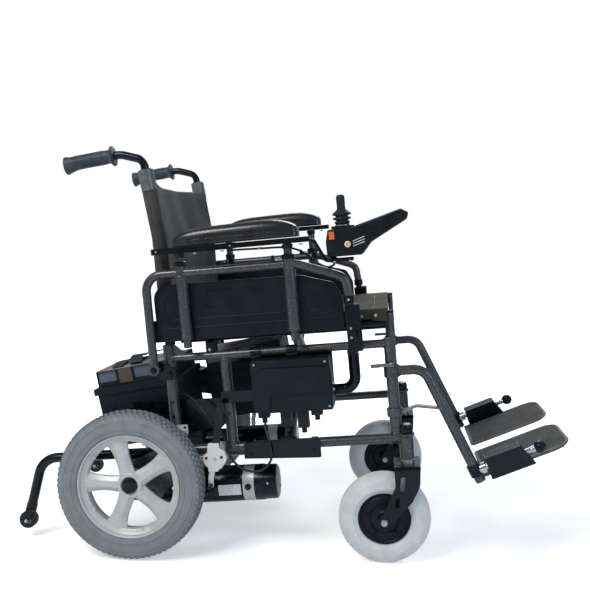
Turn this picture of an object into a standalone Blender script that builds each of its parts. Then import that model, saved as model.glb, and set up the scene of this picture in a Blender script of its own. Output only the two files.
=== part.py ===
"""Folding power wheelchair, modelled as the pieces that it is assembled from.

Everything is drawn in the side frame's own coordinates: s runs forward along the rails, y to the
chair's left and n up along the posts, in metres. The frame then stands on its wheels, which are of
unlike size, so the rails rise a little towards the front.
"""
import math

import bmesh
import bpy
from mathutils import Matrix, Vector

for item in list(bpy.data.objects):
    bpy.data.objects.remove(item, do_unlink=True)

# Facets round the wheels and the tubes, shared by what fits together
DRIVE_STEPS = 28
CASTER_STEPS = 24
HUB_STEPS = 12
ROUND_STEPS = 8

# Clearances
FIT = 0.0003
RUNNING = 0.0004

# Wheels
DRIVE_TYRE_D = 0.327
DRIVE_TYRE_W = 0.060
DRIVE_RIM_D = 0.229
DRIVE_WHEEL_Y = 0.288
DRIVE_AXLE_S = -0.3801
DRIVE_AXLE_N = 0.2016
DRIVE_SHAFT_D = 0.017
DRIVE_HUB_D = 0.056
DRIVE_CAP_D = 0.034
SPOKES = 5
SPOKE_W = 0.026
FIRST_SPOKE = math.radians(101.4)
CASTER_D = 0.200
CASTER_W = 0.050
CASTER_HUB_D = 0.114
CASTER_TRAIL = 0.0598
CASTER_AXLE_N = 0.0844
CASTER_AXLE_D = 0.010
CASTER_BOLT_CIRCLE = 0.079
CASTER_BOLT_D = 0.010
CASTER_BOLTS = 5

# Side frame
FRAME_Y = 0.236
LOWER_RAIL_N = 0.257
LOWER_RAIL_D = 0.022
LOWER_RAIL_END_S = -0.300
UPPER_RAIL_N = 0.4645
UPPER_RAIL_D = 0.0185
REAR_POST_S = -0.2813
REAR_POST_D = 0.025
REAR_POST_TOP_N = 0.495
TYRE_TO_MID_POST = 0.0606
MID_POST_S = DRIVE_AXLE_S + DRIVE_TYRE_D / 2 + TYRE_TO_MID_POST
MID_POST_D = 0.024
FRONT_POST_S = 0.2045
FRONT_POST_D = 0.025
FRONT_POST_TOP_N = 0.475
GUIDE_POST_S = 0.212
GUIDE_POST_D = 0.013
GUIDE_POST_TOP_N = 0.535
STEM_S = 0.2238
HOUSING_D = 0.031
HOUSING_BOTTOM_N = 0.2123
HOUSING_TOP_N = 0.2674
STEM_D = 0.016
STEM_TOP_N = 0.262
CAP_TOP_N = 0.2885

# Cross-brace and seat
BRACE_D = 0.025
BRACE_S = {-1: -0.030, 1: 0.000}
BRACE_CROSSING_N = 0.3868
BRACE_BOLT_D = 0.010
SLEEVE_L = 0.035
SLEEVE_WALL = 0.0042
SEAT_RAIL_Y = 0.215
SEAT_RAIL_N = 0.505
SEAT_RAIL_D = 0.022
SEAT_RAIL_S = (-0.255, 0.200)
SEAT_EDGE_T = 0.0232
SEAT_MIDDLE_T = 0.009
SEAT_SAG = 0.024
SEAT_FRONT_S = 0.2066
SEAT_REAR_S = -0.2535

# Back
CANE_S = -0.2765
CANE_D = 0.023
CANE_SPIGOT_D = 0.016
CANE_SPIGOT_L = 0.060
CANE_BEND_N = 0.728
HANDLE_D = 0.018
HANDLE_ROUTE = ((-0.2955, 0.9045), (-0.3450, 0.9205), (-0.4650, 0.9103))
CANE_TOP_N = 0.884
GRIP_D = 0.032
GRIP_FLANGE_D = 0.045
GRIP_L = 0.114
BACK_BOTTOM_N = 0.560
BACK_TOP_N = 0.8558
BACK_T = 0.004
BACK_SLEEVE_D = 0.033
BACK_SAG = 0.028
SLEEVE_EASE = 0.0011
BACK_DIP = 0.016

# Arms
ARM_Y = 0.2735
ARM_TUBE_D = 0.019
ARM_REAR_S = -0.3065
ARM_FRONT_S = 0.128
ARM_TOP_N = 0.6525
ARM_FRONT_TUBE_D = 0.015
ARM_FRONT_END_N = 0.512
ARM_HINGE_N = 0.4471
ARM_HINGE_D = 0.008
ARM_POST_S = (-0.2265, 0.008)
ARM_POST_D = (0.0244, 0.0270)
ARM_POST_BOTTOM_N = (0.5075, 0.5106)
ARM_POST_TOP_N = (0.6770, 0.6736)
INNER_POST_D = 0.018
INNER_POST_BOTTOM_N = 0.4905
ARM_BAR_S = (-0.281, 0.058)
ARM_BAR_N = 0.695
ARM_BAR_T = 0.013
ARM_BAR_W = 0.030
ARM_BAR_Y = 0.2815
ARM_SLEEVE_END_S = -0.103
PAD_S = (-0.230, 0.036)
PAD_Y = 0.290
PAD_W = 0.068
PAD_H = 0.042
LEFT_ARM_RAISED = 0.028
PANEL_Y = 0.2535
PANEL_T = 0.0060
PANEL_BOTTOM_N = 0.504
PANEL_TOP_N = 0.629
PANEL_REAR_S = -0.2965
PANEL_FRONT_S = 0.114

# Drive units and anti-tippers
MOTOR_Y = 0.190
MOTOR_N = 0.1617
MOTOR_D = 0.080
MOTOR_FRONT_S = -0.0695
GEARBOX_S = (-0.425, -0.325)
GEARBOX_Y = (0.150, 0.232)
GEARBOX_TOP_N = 0.2346
MOUNT_PLATE_T = 0.006
ANTI_TIP_Y = 0.215
ANTI_TIP_N = 0.250
ANTI_TIP_D = 0.022
ANTI_TIP_START_S = -0.290
ANTI_TIP_WHEEL = (-0.6615, 0.1091)
ANTI_TIP_WHEEL_D = 0.040
ANTI_TIP_WHEEL_W = 0.022

# Batteries
BOX_Y = (0.018, 0.178)
BOX_L = 0.200
BOX_H = 0.116
BOX_LEAN = math.radians(5.6)
BOX_REAR = {-1: (-0.4625, 0.2660), 1: (-0.2495, 0.2660)}
LIP_H = 0.016
LIP_OUT = 0.006
LID_H = (0.054, 0.057)
LID_CREST = 0.625
LID_POCKETS = ((0.02, 0.23), (0.445, 0.66))
TRAY_Y = 0.2005
TRAY_T = 0.003

# Front rigging
HANGER_D = 0.0224
HANGER_TOP_N = 0.404
HANGER_KNEE_S = 0.2735
HANGER_END = (0.3757, 0.1531)
STRUT_N = 0.3165
PIN_START = (0.3774, 0.1800)
PIN_SLOPE = math.radians(18.0)
PIN_D = 0.012
PIN_L = 0.132
PIN_BALL_D = 0.027
PLATE_DROP = 0.021
PLATE_T = 0.009
PLATE_L = 0.200
PLATE_Y = (0.030, 0.215)
HINGE_BLOCK_A = (0.016, 0.096)
HINGE_BLOCK_N = (-0.028, 0.019)

# Hand control
POD_Y = 0.2895
POD_W = 0.060
STICK = (0.1285, 0.7225)
WELL_D = 0.037
GIMBAL_D = 0.030
ROCKER = (0.1060, 0.7040)
ROCKER_HALF = (0.0058, 0.0085)
HORN = (0.1374, 0.6839)

# Controller
CONTROLLER_S = (-0.0944, 0.0770)
CONTROLLER_N = (0.3370, 0.4514)
CONTROLLER_Y = (0.2125, 0.285)

# Wheel lock and sill
TYRE_TO_LOCK = 0.0266
LOCK_PIVOT = (DRIVE_AXLE_S + DRIVE_TYRE_D / 2 + TYRE_TO_LOCK, 0.2430)
LOCK_Y = (0.2620, 0.2718)
SILL_S = (-0.1285, 0.0410)
SILL_N = (0.2302, 0.2740)
SILL_Y = (0.2585, 0.2620)
SILL_BOLTS_S = (-0.1145, 0.0263)

# Stance: the tilt that sets both pairs of wheels on the floor
CASTER_AXLE_S = STEM_S - CASTER_TRAIL
AXLE_RUN = CASTER_AXLE_S - DRIVE_AXLE_S
AXLE_RISE = CASTER_AXLE_N - DRIVE_AXLE_N
TILT = math.asin((CASTER_D - DRIVE_TYRE_D) / 2 / math.hypot(AXLE_RUN, AXLE_RISE)) - math.atan2(
    AXLE_RISE, AXLE_RUN
)
DOWN = Vector((-math.sin(TILT), 0, -math.cos(TILT)))

chair = bpy.data.objects.new("chair", None)
bpy.context.scene.collection.objects.link(chair)


def shape(bm):
    """A loose object that holds the mesh, with its faces pointing out."""
    bmesh.ops.recalc_face_normals(bm, faces=bm.faces)
    mesh = bpy.data.meshes.new("shape")
    bm.to_mesh(mesh)
    bm.free()
    loose = bpy.data.objects.new("shape", mesh)
    bpy.context.scene.collection.objects.link(loose)
    return loose


def loft(rings, closed=False):
    """A solid through rings of points, capped at its ends, or joined end to end."""
    bm = bmesh.new()
    loops = [[bm.verts.new(point) for point in ring] for ring in rings]
    followers = loops[1:] + (loops[:1] if closed else [])
    for first, second in zip(loops, followers):
        for i in range(len(first)):
            j = (i + 1) % len(first)
            bm.faces.new((first[i], first[j], second[j], second[i]))
    if not closed:
        bm.faces.new(loops[0])
        bm.faces.new(loops[-1])
    return shape(bm)


def across(direction, start=None):
    """Two unit vectors square to the direction, the first one towards start."""
    axis = Vector(direction).normalized()
    aim = Vector(start) if start else Vector((0, 1, 0))
    if abs(aim.normalized().dot(axis)) > 0.9:
        aim = Vector((0, 0, 1))
    first = (aim - axis * aim.dot(axis)).normalized()
    return first, axis.cross(first)


def circle(centre, first, second, radius, sides):
    turn = 2 * math.pi / sides
    return [
        Vector(centre) + (first * math.cos(k * turn) + second * math.sin(k * turn)) * radius
        for k in range(sides)
    ]


def turned(centre, axis, profile, steps, closed=False, start=None):
    """A turned solid: the profile's points are (radius, height along the axis)."""
    first, second = across(axis, start)
    along = Vector(axis).normalized()
    rings = [circle(Vector(centre) + along * h, first, second, r, steps) for r, h in profile]
    return loft(rings, closed)


def rod(start, end, diameter, sides=ROUND_STEPS):
    first, second = across(Vector(end) - Vector(start))
    rings = [circle(point, first, second, diameter / 2, sides) for point in (start, end)]
    return loft(rings)


def turning_bore(start, end, pin_diameter):
    """A cutter whose flats clear the corners of a pin of that diameter as either one turns."""
    return rod(start, end, (pin_diameter + 2 * FIT) / math.cos(math.pi / ROUND_STEPS))


def box(low, high):
    s0, y0, n0 = low
    s1, y1, n1 = high
    return loft([[(s0, y0, n), (s1, y0, n), (s1, y1, n), (s0, y1, n)] for n in (n0, n1)])


def slab(outline, axis, low, high):
    """The outline's points pushed from low to high along s, y or n."""
    places = {
        "s": lambda a, b, c: (c, a, b),
        "y": lambda a, b, c: (a, c, b),
        "n": lambda a, b, c: (a, b, c),
    }
    return loft([[places[axis](a, b, c) for a, b in outline] for c in (low, high)])


def rounded(outline, radius, steps=1):
    """The outline with an arc at each corner; radius is one size, or one for each corner."""
    count = len(outline)
    radii = radius if isinstance(radius, (list, tuple)) else [radius] * count
    points = []
    for i, corner in enumerate(outline):
        if radii[i] <= 0:
            points.append(corner)
            continue
        here = Vector(corner)
        before = (Vector(outline[i - 1]) - here).normalized()
        after = (Vector(outline[(i + 1) % count]) - here).normalized()
        half = before.angle(after) / 2
        centre = here + (before + after).normalized() * radii[i] / math.sin(half)
        start = here + before * radii[i] / math.tan(half) - centre
        sweep = math.pi - 2 * half
        side = 1 if before.x * after.y - before.y * after.x < 0 else -1
        for k in range(steps + 1):
            turn = side * sweep * k / steps
            points.append(
                (
                    centre.x + start.x * math.cos(turn) - start.y * math.sin(turn),
                    centre.y + start.x * math.sin(turn) + start.y * math.cos(turn),
                )
            )
    return points


def bent(points, bends, steps=3):
    """The route through the points, with an arc of its own bend radius at each inner one."""
    places = [Vector(point) for point in points]
    route = [places[0]]
    for before, corner, after, bend in zip(places, places[1:], places[2:], bends):
        back = (before - corner).normalized()
        ahead = (after - corner).normalized()
        half = back.angle(ahead) / 2
        centre = corner + (back + ahead).normalized() * bend / math.sin(half)
        start = corner + back * bend / math.tan(half) - centre
        end = corner + ahead * bend / math.tan(half) - centre
        axis = start.cross(end).normalized()
        for k in range(steps + 1):
            turn = Matrix.Rotation((math.pi - 2 * half) * k / steps, 3, axis)
            route.append(centre + turn @ start)
    route.append(places[-1])
    return route


def tube(route, diameter, sides=ROUND_STEPS):
    """A round bar along a route that lies in one plane of constant y or bends gently."""
    places = [Vector(point) for point in route]
    rings = []
    aim = None
    for i, place in enumerate(places):
        ahead = (places[min(i + 1, len(places) - 1)] - place).normalized()
        back = (place - places[max(i - 1, 0)]).normalized()
        heading = (ahead + back).normalized()
        first, second = across(heading, aim)
        aim = first
        rings.append(circle(place, first, second, diameter / 2, sides))
    return loft(rings)


def welded(pieces, cuts=()):
    """One mesh made of the pieces joined together, less the cuts."""
    base = pieces[0]
    steps = [(piece, "UNION") for piece in pieces[1:]] + [(cut, "DIFFERENCE") for cut in cuts]
    for other, operation in steps:
        step = base.modifiers.new(operation.title(), "BOOLEAN")
        step.operation = operation
        step.solver = "EXACT"
        step.object = other
    bpy.context.view_layer.update()
    evaluated = base.evaluated_get(bpy.context.evaluated_depsgraph_get())
    mesh = bpy.data.meshes.new_from_object(evaluated)
    for loose in [*pieces, *cuts]:
        bpy.data.objects.remove(loose, do_unlink=True)
    return mesh


def material(name, colour, roughness, metallic=0.0):
    made = bpy.data.materials.new(name)
    made.use_nodes = True
    shader = made.node_tree.nodes["Principled BSDF"]
    shader.inputs["Base Color"].default_value = (*colour, 1)
    shader.inputs["Roughness"].default_value = roughness
    shader.inputs["Metallic"].default_value = metallic
    return made


LOOKS = {
    "hammered_paint": ((0.068, 0.072, 0.080), 0.45, 0.6),
    "black_paint": ((0.012, 0.012, 0.014), 0.30, 0.0),
    "black_plastic": ((0.020, 0.023, 0.028), 0.55, 0.0),
    "vinyl": ((0.020, 0.024, 0.030), 0.40, 0.0),
    "tyre_grey": ((0.270, 0.300, 0.330), 0.80, 0.0),
    "pale_tyre": ((0.480, 0.510, 0.520), 0.75, 0.0),
    "silver_plastic": ((0.580, 0.600, 0.600), 0.40, 0.2),
    "chrome": ((0.700, 0.700, 0.700), 0.15, 1.0),
    "zinc": ((0.650, 0.660, 0.640), 0.40, 0.8),
    "seat_cloth": ((0.068, 0.064, 0.045), 0.85, 0.0),
    "back_cloth": ((0.090, 0.090, 0.092), 0.85, 0.0),
    "orange_plastic": ((0.800, 0.130, 0.020), 0.45, 0.0),
    "cream_plastic": ((0.800, 0.720, 0.350), 0.45, 0.0),
}
MATERIALS = {name: material(name, *look) for name, look in LOOKS.items()}


def piece(name, mesh, look, side=0, pivot=(0, 0, 0), paired=True):
    """The finished sub-part; side -1 mirrors it to the right, and one of a pair takes the side's name."""
    pivot = Vector(pivot)
    if side and paired:
        name = f"{name}_{'left' if side > 0 else 'right'}"
    if side < 0:
        mesh.transform(Matrix.Diagonal((1, -1, 1, 1)))
        mesh.flip_normals()
        pivot.y = -pivot.y
    mesh.transform(Matrix.Translation(-pivot))
    mesh.name = name
    mesh.materials.clear()
    mesh.materials.append(MATERIALS[look])
    mesh.shade_smooth()
    mesh.set_sharp_from_angle(angle=math.radians(35))
    part = bpy.data.objects.new(name, mesh)
    bpy.context.scene.collection.objects.link(part)
    part.parent = chair
    part.location = pivot
    return part


def cane_route():
    """The back cane's centre line, and the handle's bent end after it."""
    start = Vector((CANE_S, FRAME_Y, REAR_POST_TOP_N + FIT))
    bend = (CANE_S, FRAME_Y, CANE_BEND_N)
    handle = [(s, FRAME_Y, n) for s, n in HANDLE_ROUTE]
    return bent([start, bend, *handle], (0.200, 0.022, 0.050))


def cane_at(n):
    """How far forward the cane's centre line is at the height n, below the handle."""
    route = cane_route()
    for low, high in zip(route, route[1:]):
        if low.z <= n <= high.z:
            share = (n - low.z) / (high.z - low.z)
            return low.x + (high.x - low.x) * share
    return route[0].x


def side_frame(side):
    """The welded side: rails, posts, caster housing, arm socket, battery tray and motor plate."""
    lower = (LOWER_RAIL_END_S, FRAME_Y, LOWER_RAIL_N)
    parts = [
        rod(lower, (STEM_S, FRAME_Y, LOWER_RAIL_N), LOWER_RAIL_D),
        rod((REAR_POST_S, FRAME_Y, LOWER_RAIL_N), (REAR_POST_S, FRAME_Y, REAR_POST_TOP_N), REAR_POST_D),
        rod((MID_POST_S, FRAME_Y, LOWER_RAIL_N), (MID_POST_S, FRAME_Y, UPPER_RAIL_N), MID_POST_D),
        rod((FRONT_POST_S, FRAME_Y, LOWER_RAIL_N), (FRONT_POST_S, FRAME_Y, FRONT_POST_TOP_N), FRONT_POST_D),
        rod((REAR_POST_S, FRAME_Y, UPPER_RAIL_N), (FRONT_POST_S, FRAME_Y, UPPER_RAIL_N), UPPER_RAIL_D),
        rod(
            (GUIDE_POST_S, FRAME_Y, FRONT_POST_TOP_N - 0.010),
            (GUIDE_POST_S, FRAME_Y, GUIDE_POST_TOP_N),
            GUIDE_POST_D,
        ),
    ]
    collar = HOUSING_D + 0.007
    housing = [
        (HOUSING_D / 2, HOUSING_BOTTOM_N),
        (HOUSING_D / 2, HOUSING_TOP_N - 0.006),
        (collar / 2, HOUSING_TOP_N - 0.004),
        (collar / 2, HOUSING_TOP_N),
        (HOUSING_D / 2 - 0.002, HOUSING_TOP_N + 0.002),
        (HOUSING_D / 2, HOUSING_TOP_N + 0.008),
        (HOUSING_D / 2 - 0.002, CAP_TOP_N - 0.003),
        (HOUSING_D / 2 - 0.006, CAP_TOP_N),
    ]
    parts.append(turned((STEM_S, FRAME_Y, 0), (0, 0, 1), housing, HUB_STEPS))

    gusset_n = UPPER_RAIL_N + UPPER_RAIL_D / 2
    gusset = [
        (REAR_POST_S, gusset_n - 0.004),
        (REAR_POST_S + 0.0355, gusset_n - 0.004),
        (REAR_POST_S + 0.0060, gusset_n + 0.024),
        (REAR_POST_S, gusset_n + 0.024),
    ]
    parts.append(slab(gusset, "y", FRAME_Y - 0.003, FRAME_Y + 0.003))

    cuts = []
    saddle_top = SEAT_RAIL_N - 0.006
    for s in (-0.1955, 0.1200):
        low = (s, SEAT_RAIL_Y - 0.012, UPPER_RAIL_N - 0.004)
        parts.append(box(low, (s + 0.0177, FRAME_Y + 0.0075, saddle_top)))
    groove = SEAT_RAIL_D + 2 * FIT
    cuts.append(rod((-0.215, SEAT_RAIL_Y, SEAT_RAIL_N), (0.160, SEAT_RAIL_Y, SEAT_RAIL_N), groove))

    parts += arm_socket()
    slot_front = ARM_FRONT_S + ARM_FRONT_TUBE_D / 2 + 0.0007
    slot = ARM_FRONT_TUBE_D / 2 + 0.0005
    cuts.append(
        box(
            (ARM_FRONT_S - 0.020, ARM_Y - slot, ARM_FRONT_END_N - FIT),
            (slot_front, ARM_Y + slot, ARM_FRONT_END_N + 0.060),
        )
    )
    parts += arm_hinge_plate()
    parts += motor_plate()
    cuts += motor_plate_cuts()
    parts += battery_tray(side)

    socket_y = (LOWER_RAIL_END_S - 0.035, ANTI_TIP_Y, ANTI_TIP_N)
    parts.append(rod(socket_y, (REAR_POST_S + 0.019, ANTI_TIP_Y, ANTI_TIP_N), ANTI_TIP_D + 0.005))
    bore_end = (ANTI_TIP_START_S + FIT, ANTI_TIP_Y, ANTI_TIP_N)
    cuts.append(rod((socket_y[0] - 0.010, ANTI_TIP_Y, ANTI_TIP_N), bore_end, ANTI_TIP_D + 2 * FIT))

    bore = CANE_SPIGOT_D + 2 * FIT
    spigot_end = REAR_POST_TOP_N - CANE_SPIGOT_L - FIT
    cuts.append(rod((CANE_S, FRAME_Y, spigot_end), (CANE_S, FRAME_Y, REAR_POST_TOP_N + 0.010), bore))
    stem = [(STEM_S, FRAME_Y, n) for n in (HOUSING_BOTTOM_N - 0.010, STEM_TOP_N + FIT)]
    cuts.append(turning_bore(*stem, STEM_D))
    piece("side_frame", welded(parts, cuts), "hammered_paint", side)


def arm_socket():
    """The channel on the upper rail that the arm's front leg drops into."""
    cheek = ARM_FRONT_TUBE_D / 2 + 0.0045
    front = ARM_FRONT_S + 0.021
    web = [
        (ARM_FRONT_S - 0.0115, UPPER_RAIL_N - 0.012),
        (front, UPPER_RAIL_N - 0.012),
        (front, 0.557),
        (ARM_FRONT_S - 0.0115, 0.557),
    ]
    latch = rounded([(0.119, 0.480), (0.137, 0.480), (0.137, 0.516), (0.119, 0.516)], 0.006)
    return [
        slab(web, "y", FRAME_Y + 0.004, FRAME_Y + 0.0095),
        box((ARM_FRONT_S - 0.010, FRAME_Y + 0.006, 0.503), (front, ARM_Y + cheek, 0.557)),
        slab(latch, "y", ARM_Y + cheek - 0.001, ARM_Y + cheek + 0.004),
    ]


def arm_hinge_plate():
    """The link plate on the rear post, with the pin that the arm swings back on."""
    corners = [
        (-0.3185, 0.4620),
        (-0.2960, 0.4620),
        (-0.2640, 0.4440),
        (-0.2640, 0.4200),
        (-0.2950, 0.4200),
        (-0.3185, 0.4360),
    ]
    plate = rounded(corners, 0.006)
    post = (-0.2770, FRAME_Y, 0.4319)
    hinge = (ARM_REAR_S, PANEL_Y + 0.002, ARM_HINGE_N)
    outer = ARM_Y + ARM_TUBE_D / 2
    return [
        slab(plate, "y", PANEL_Y, PANEL_Y + 0.006),
        rod(post, (post[0], PANEL_Y + 0.010, post[2]), 0.012),
        rod(hinge, (ARM_REAR_S, outer + 0.003, ARM_HINGE_N), ARM_HINGE_D),
        rod((ARM_REAR_S, outer + FIT, ARM_HINGE_N), (ARM_REAR_S, outer + 0.0040, ARM_HINGE_N), 0.014),
    ]


def motor_plate():
    """The plate under the rail's end that the gearbox bolts to."""
    top = LOWER_RAIL_N + 0.005
    front = REAR_POST_S + 0.019
    outline = rounded(
        [(-0.405, 0.165), (-0.345, 0.140), (front, 0.215), (front, top), (-0.330, top), (-0.405, 0.232)],
        0.010,
    )
    low = GEARBOX_Y[1] + FIT
    parts = [slab(outline, "y", low, low + MOUNT_PLATE_T)]
    for s, n in ((-0.395, 0.222), (-0.350, 0.228), (-0.350, 0.165), (-0.395, 0.175)):
        parts.append(rod((s, low + MOUNT_PLATE_T - 0.001, n), (s, low + MOUNT_PLATE_T + 0.004, n), 0.011, 6))
    return parts


def motor_plate_cuts():
    hole = DRIVE_SHAFT_D + 0.006
    low = GEARBOX_Y[1] - 0.004
    high = GEARBOX_Y[1] + MOUNT_PLATE_T + 0.008
    return [rod((DRIVE_AXLE_S, low, DRIVE_AXLE_N), (DRIVE_AXLE_S, high, DRIVE_AXLE_N), hole)]


def along_box(side, a, b):
    """A place on the leaning battery box: a forward from its rear foot, b up its wall."""
    s, n = BOX_REAR[side]
    return (
        s + a * math.cos(BOX_LEAN) - b * math.sin(BOX_LEAN),
        n + a * math.sin(BOX_LEAN) + b * math.cos(BOX_LEAN),
    )


def battery_tray(side):
    """The flange between the posts and the floor under the battery box, which leans with it."""
    floor = [
        along_box(side, 0.004, -FIT - TRAY_T),
        along_box(side, BOX_L - 0.008, -FIT - TRAY_T),
        along_box(side, BOX_L - 0.008, -FIT),
        along_box(side, 0.004, -FIT),
    ]
    foot_s, foot_n = along_box(side, BOX_L - 0.010, -FIT - TRAY_T / 2)
    rear_s, rear_n = along_box(side, 0.075, -FIT - TRAY_T / 2)
    wall = [
        (rear_s, rear_n),
        (foot_s, foot_n),
        (max(foot_s, MID_POST_S + 0.006), 0.307),
        (max(foot_s, MID_POST_S + 0.006), 0.362),
        (min(rear_s, -0.363), 0.366),
        (min(rear_s, -0.363), 0.307),
    ]
    parts = [
        slab(wall, "y", TRAY_Y, TRAY_Y + TRAY_T),
        slab(floor, "y", BOX_Y[0] + 0.012, TRAY_Y + TRAY_T / 2),
    ]
    for s in (REAR_POST_S, MID_POST_S):
        parts.append(box((s - 0.006, TRAY_Y + TRAY_T / 2, 0.325), (s + 0.006, FRAME_Y - 0.009, 0.345)))
    return parts


def back_cane(side):
    """The back tube, standing in the rear post, with the bent handle at its top."""
    route = cane_route()
    low = [point for point in route if point.z < CANE_TOP_N and point.x > CANE_S - 0.018]
    top = Vector((cane_at(CANE_TOP_N), FRAME_Y, CANE_TOP_N))
    foot = REAR_POST_TOP_N - CANE_SPIGOT_L
    parts = [
        tube([*low, top], CANE_D),
        tube(route[-12:], HANDLE_D),
        rod((CANE_S, FRAME_Y, foot), (CANE_S, FRAME_Y, REAR_POST_TOP_N + 0.010), CANE_SPIGOT_D),
    ]
    piece("back_cane", welded(parts), "black_paint", side)


def push_grip(side):
    """The moulded grip, pushed over the handle's end."""
    end = Vector((HANDLE_ROUTE[-1][0], FRAME_Y, HANDLE_ROUTE[-1][1]))
    bend = Vector((HANDLE_ROUTE[-2][0], FRAME_Y, HANDLE_ROUTE[-2][1]))
    out = (end - bend).normalized()
    start = end - out * (GRIP_L - 0.008)
    profile = [
        (GRIP_FLANGE_D / 2 - 0.003, 0),
        (GRIP_FLANGE_D / 2, 0.002),
        (GRIP_FLANGE_D / 2 - 0.002, 0.006),
        (GRIP_D / 2 - 0.001, 0.010),
        (GRIP_D / 2, 0.030),
        (GRIP_D / 2 - 0.001, 0.060),
        (GRIP_D / 2, GRIP_L - 0.008),
        (GRIP_D / 2 + 0.0015, GRIP_L - 0.004),
        (GRIP_D / 2 - 0.002, GRIP_L),
    ]
    grip = turned(start, out, profile, HUB_STEPS)
    bore = rod(start - out * 0.005, end + out * FIT, HANDLE_D + 2 * FIT)
    piece("push_grip", welded([grip], [bore]), "vinyl", side)


def gear_motor(side):
    """The motor along the frame, with its worm gearbox and the shaft that drives the wheel."""
    axis = (1, 0, 0)
    body = [
        (MOTOR_D / 2 - 0.004, GEARBOX_S[1] - 0.020),
        (MOTOR_D / 2 - 0.004, GEARBOX_S[1] + 0.060),
        (MOTOR_D / 2, GEARBOX_S[1] + 0.064),
        (MOTOR_D / 2, MOTOR_FRONT_S - 0.030),
        (MOTOR_D / 2 - 0.0015, MOTOR_FRONT_S - 0.028),
        (MOTOR_D / 2 - 0.0015, MOTOR_FRONT_S - 0.004),
        (MOTOR_D / 2 - 0.005, MOTOR_FRONT_S),
    ]
    low = DRIVE_AXLE_N - 0.062
    rear, front = GEARBOX_S
    corners = [(rear, low + 0.010), (front, low), (front, GEARBOX_TOP_N), (rear, GEARBOX_TOP_N)]
    outline = rounded(corners, 0.018, 2)
    shaft = [(DRIVE_AXLE_S, y, DRIVE_AXLE_N) for y in (GEARBOX_Y[1] - 0.010, DRIVE_WHEEL_Y + 0.011)]
    parts = [
        slab(outline, "y", *GEARBOX_Y),
        turned((0, MOTOR_Y, MOTOR_N), axis, body, 16, start=DOWN),
        rod(*shaft, DRIVE_SHAFT_D),
        rod((-0.190, MOTOR_Y, MOTOR_N), (-0.190, MOTOR_Y + MOTOR_D / 2 + 0.006, MOTOR_N), 0.014),
    ]
    piece("gear_motor", welded(parts), "black_paint", side)


def drive_wheel(side):
    """The grey tyre and the five-spoke rim that it sits on, turning together on the gearbox shaft."""
    centre = (DRIVE_AXLE_S, DRIVE_WHEEL_Y, DRIVE_AXLE_N)
    outer = DRIVE_TYRE_D / 2
    half = DRIVE_TYRE_W / 2
    seat = DRIVE_RIM_D / 2 + FIT
    bead = half - 0.006
    tyre = [
        (seat, -bead),
        (seat + 0.014, -half),
        (outer - 0.012, -half),
        (outer, -half + 0.016),
        (outer, half - 0.016),
        (outer - 0.012, half),
        (seat + 0.014, half),
        (seat, bead),
    ]
    made = turned(centre, (0, 1, 0), tyre, DRIVE_STEPS, closed=True, start=DOWN)
    piece("drive_tyre", welded([made]), "tyre_grey", side, centre)

    rim = DRIVE_RIM_D / 2
    ring = [
        (rim - 0.012, -bead + 0.002),
        (rim, -bead),
        (rim, bead),
        (rim - 0.012, bead - 0.002),
    ]
    hub_low = DRIVE_WHEEL_Y - 0.026
    hub_high = DRIVE_WHEEL_Y + 0.014
    parts = [
        turned(centre, (0, 1, 0), ring, DRIVE_STEPS, closed=True, start=DOWN),
        rod((centre[0], hub_low, centre[2]), (centre[0], hub_high, centre[2]), DRIVE_HUB_D, HUB_STEPS),
        rod((centre[0], hub_high - 0.002, centre[2]), (centre[0], hub_high + 0.006, centre[2]), DRIVE_CAP_D),
    ]
    for k in range(SPOKES):
        angle = FIRST_SPOKE + 2 * math.pi * k / SPOKES
        ahead = Vector((math.cos(angle), math.sin(angle)))
        aside = Vector((-ahead.y, ahead.x))
        hub = Vector((centre[0], centre[2]))
        near, far = DRIVE_HUB_D / 2 - 0.006, rim - 0.006
        spoke = [
            hub + ahead * near + aside * SPOKE_W / 2,
            hub + ahead * near - aside * SPOKE_W / 2,
            hub + ahead * far - aside * (SPOKE_W / 2 + 0.004),
            hub + ahead * far + aside * (SPOKE_W / 2 + 0.004),
        ]
        parts.append(slab([(p.x, p.y) for p in spoke], "y", hub_low + 0.022, hub_high - 0.004))
    shaft = [(centre[0], y, centre[2]) for y in (hub_low - 0.010, DRIVE_WHEEL_Y + 0.011 + FIT)]
    bore = turning_bore(*shaft, DRIVE_SHAFT_D)
    piece("drive_rim", welded(parts, [bore]), "silver_plastic", side, centre)


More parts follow.
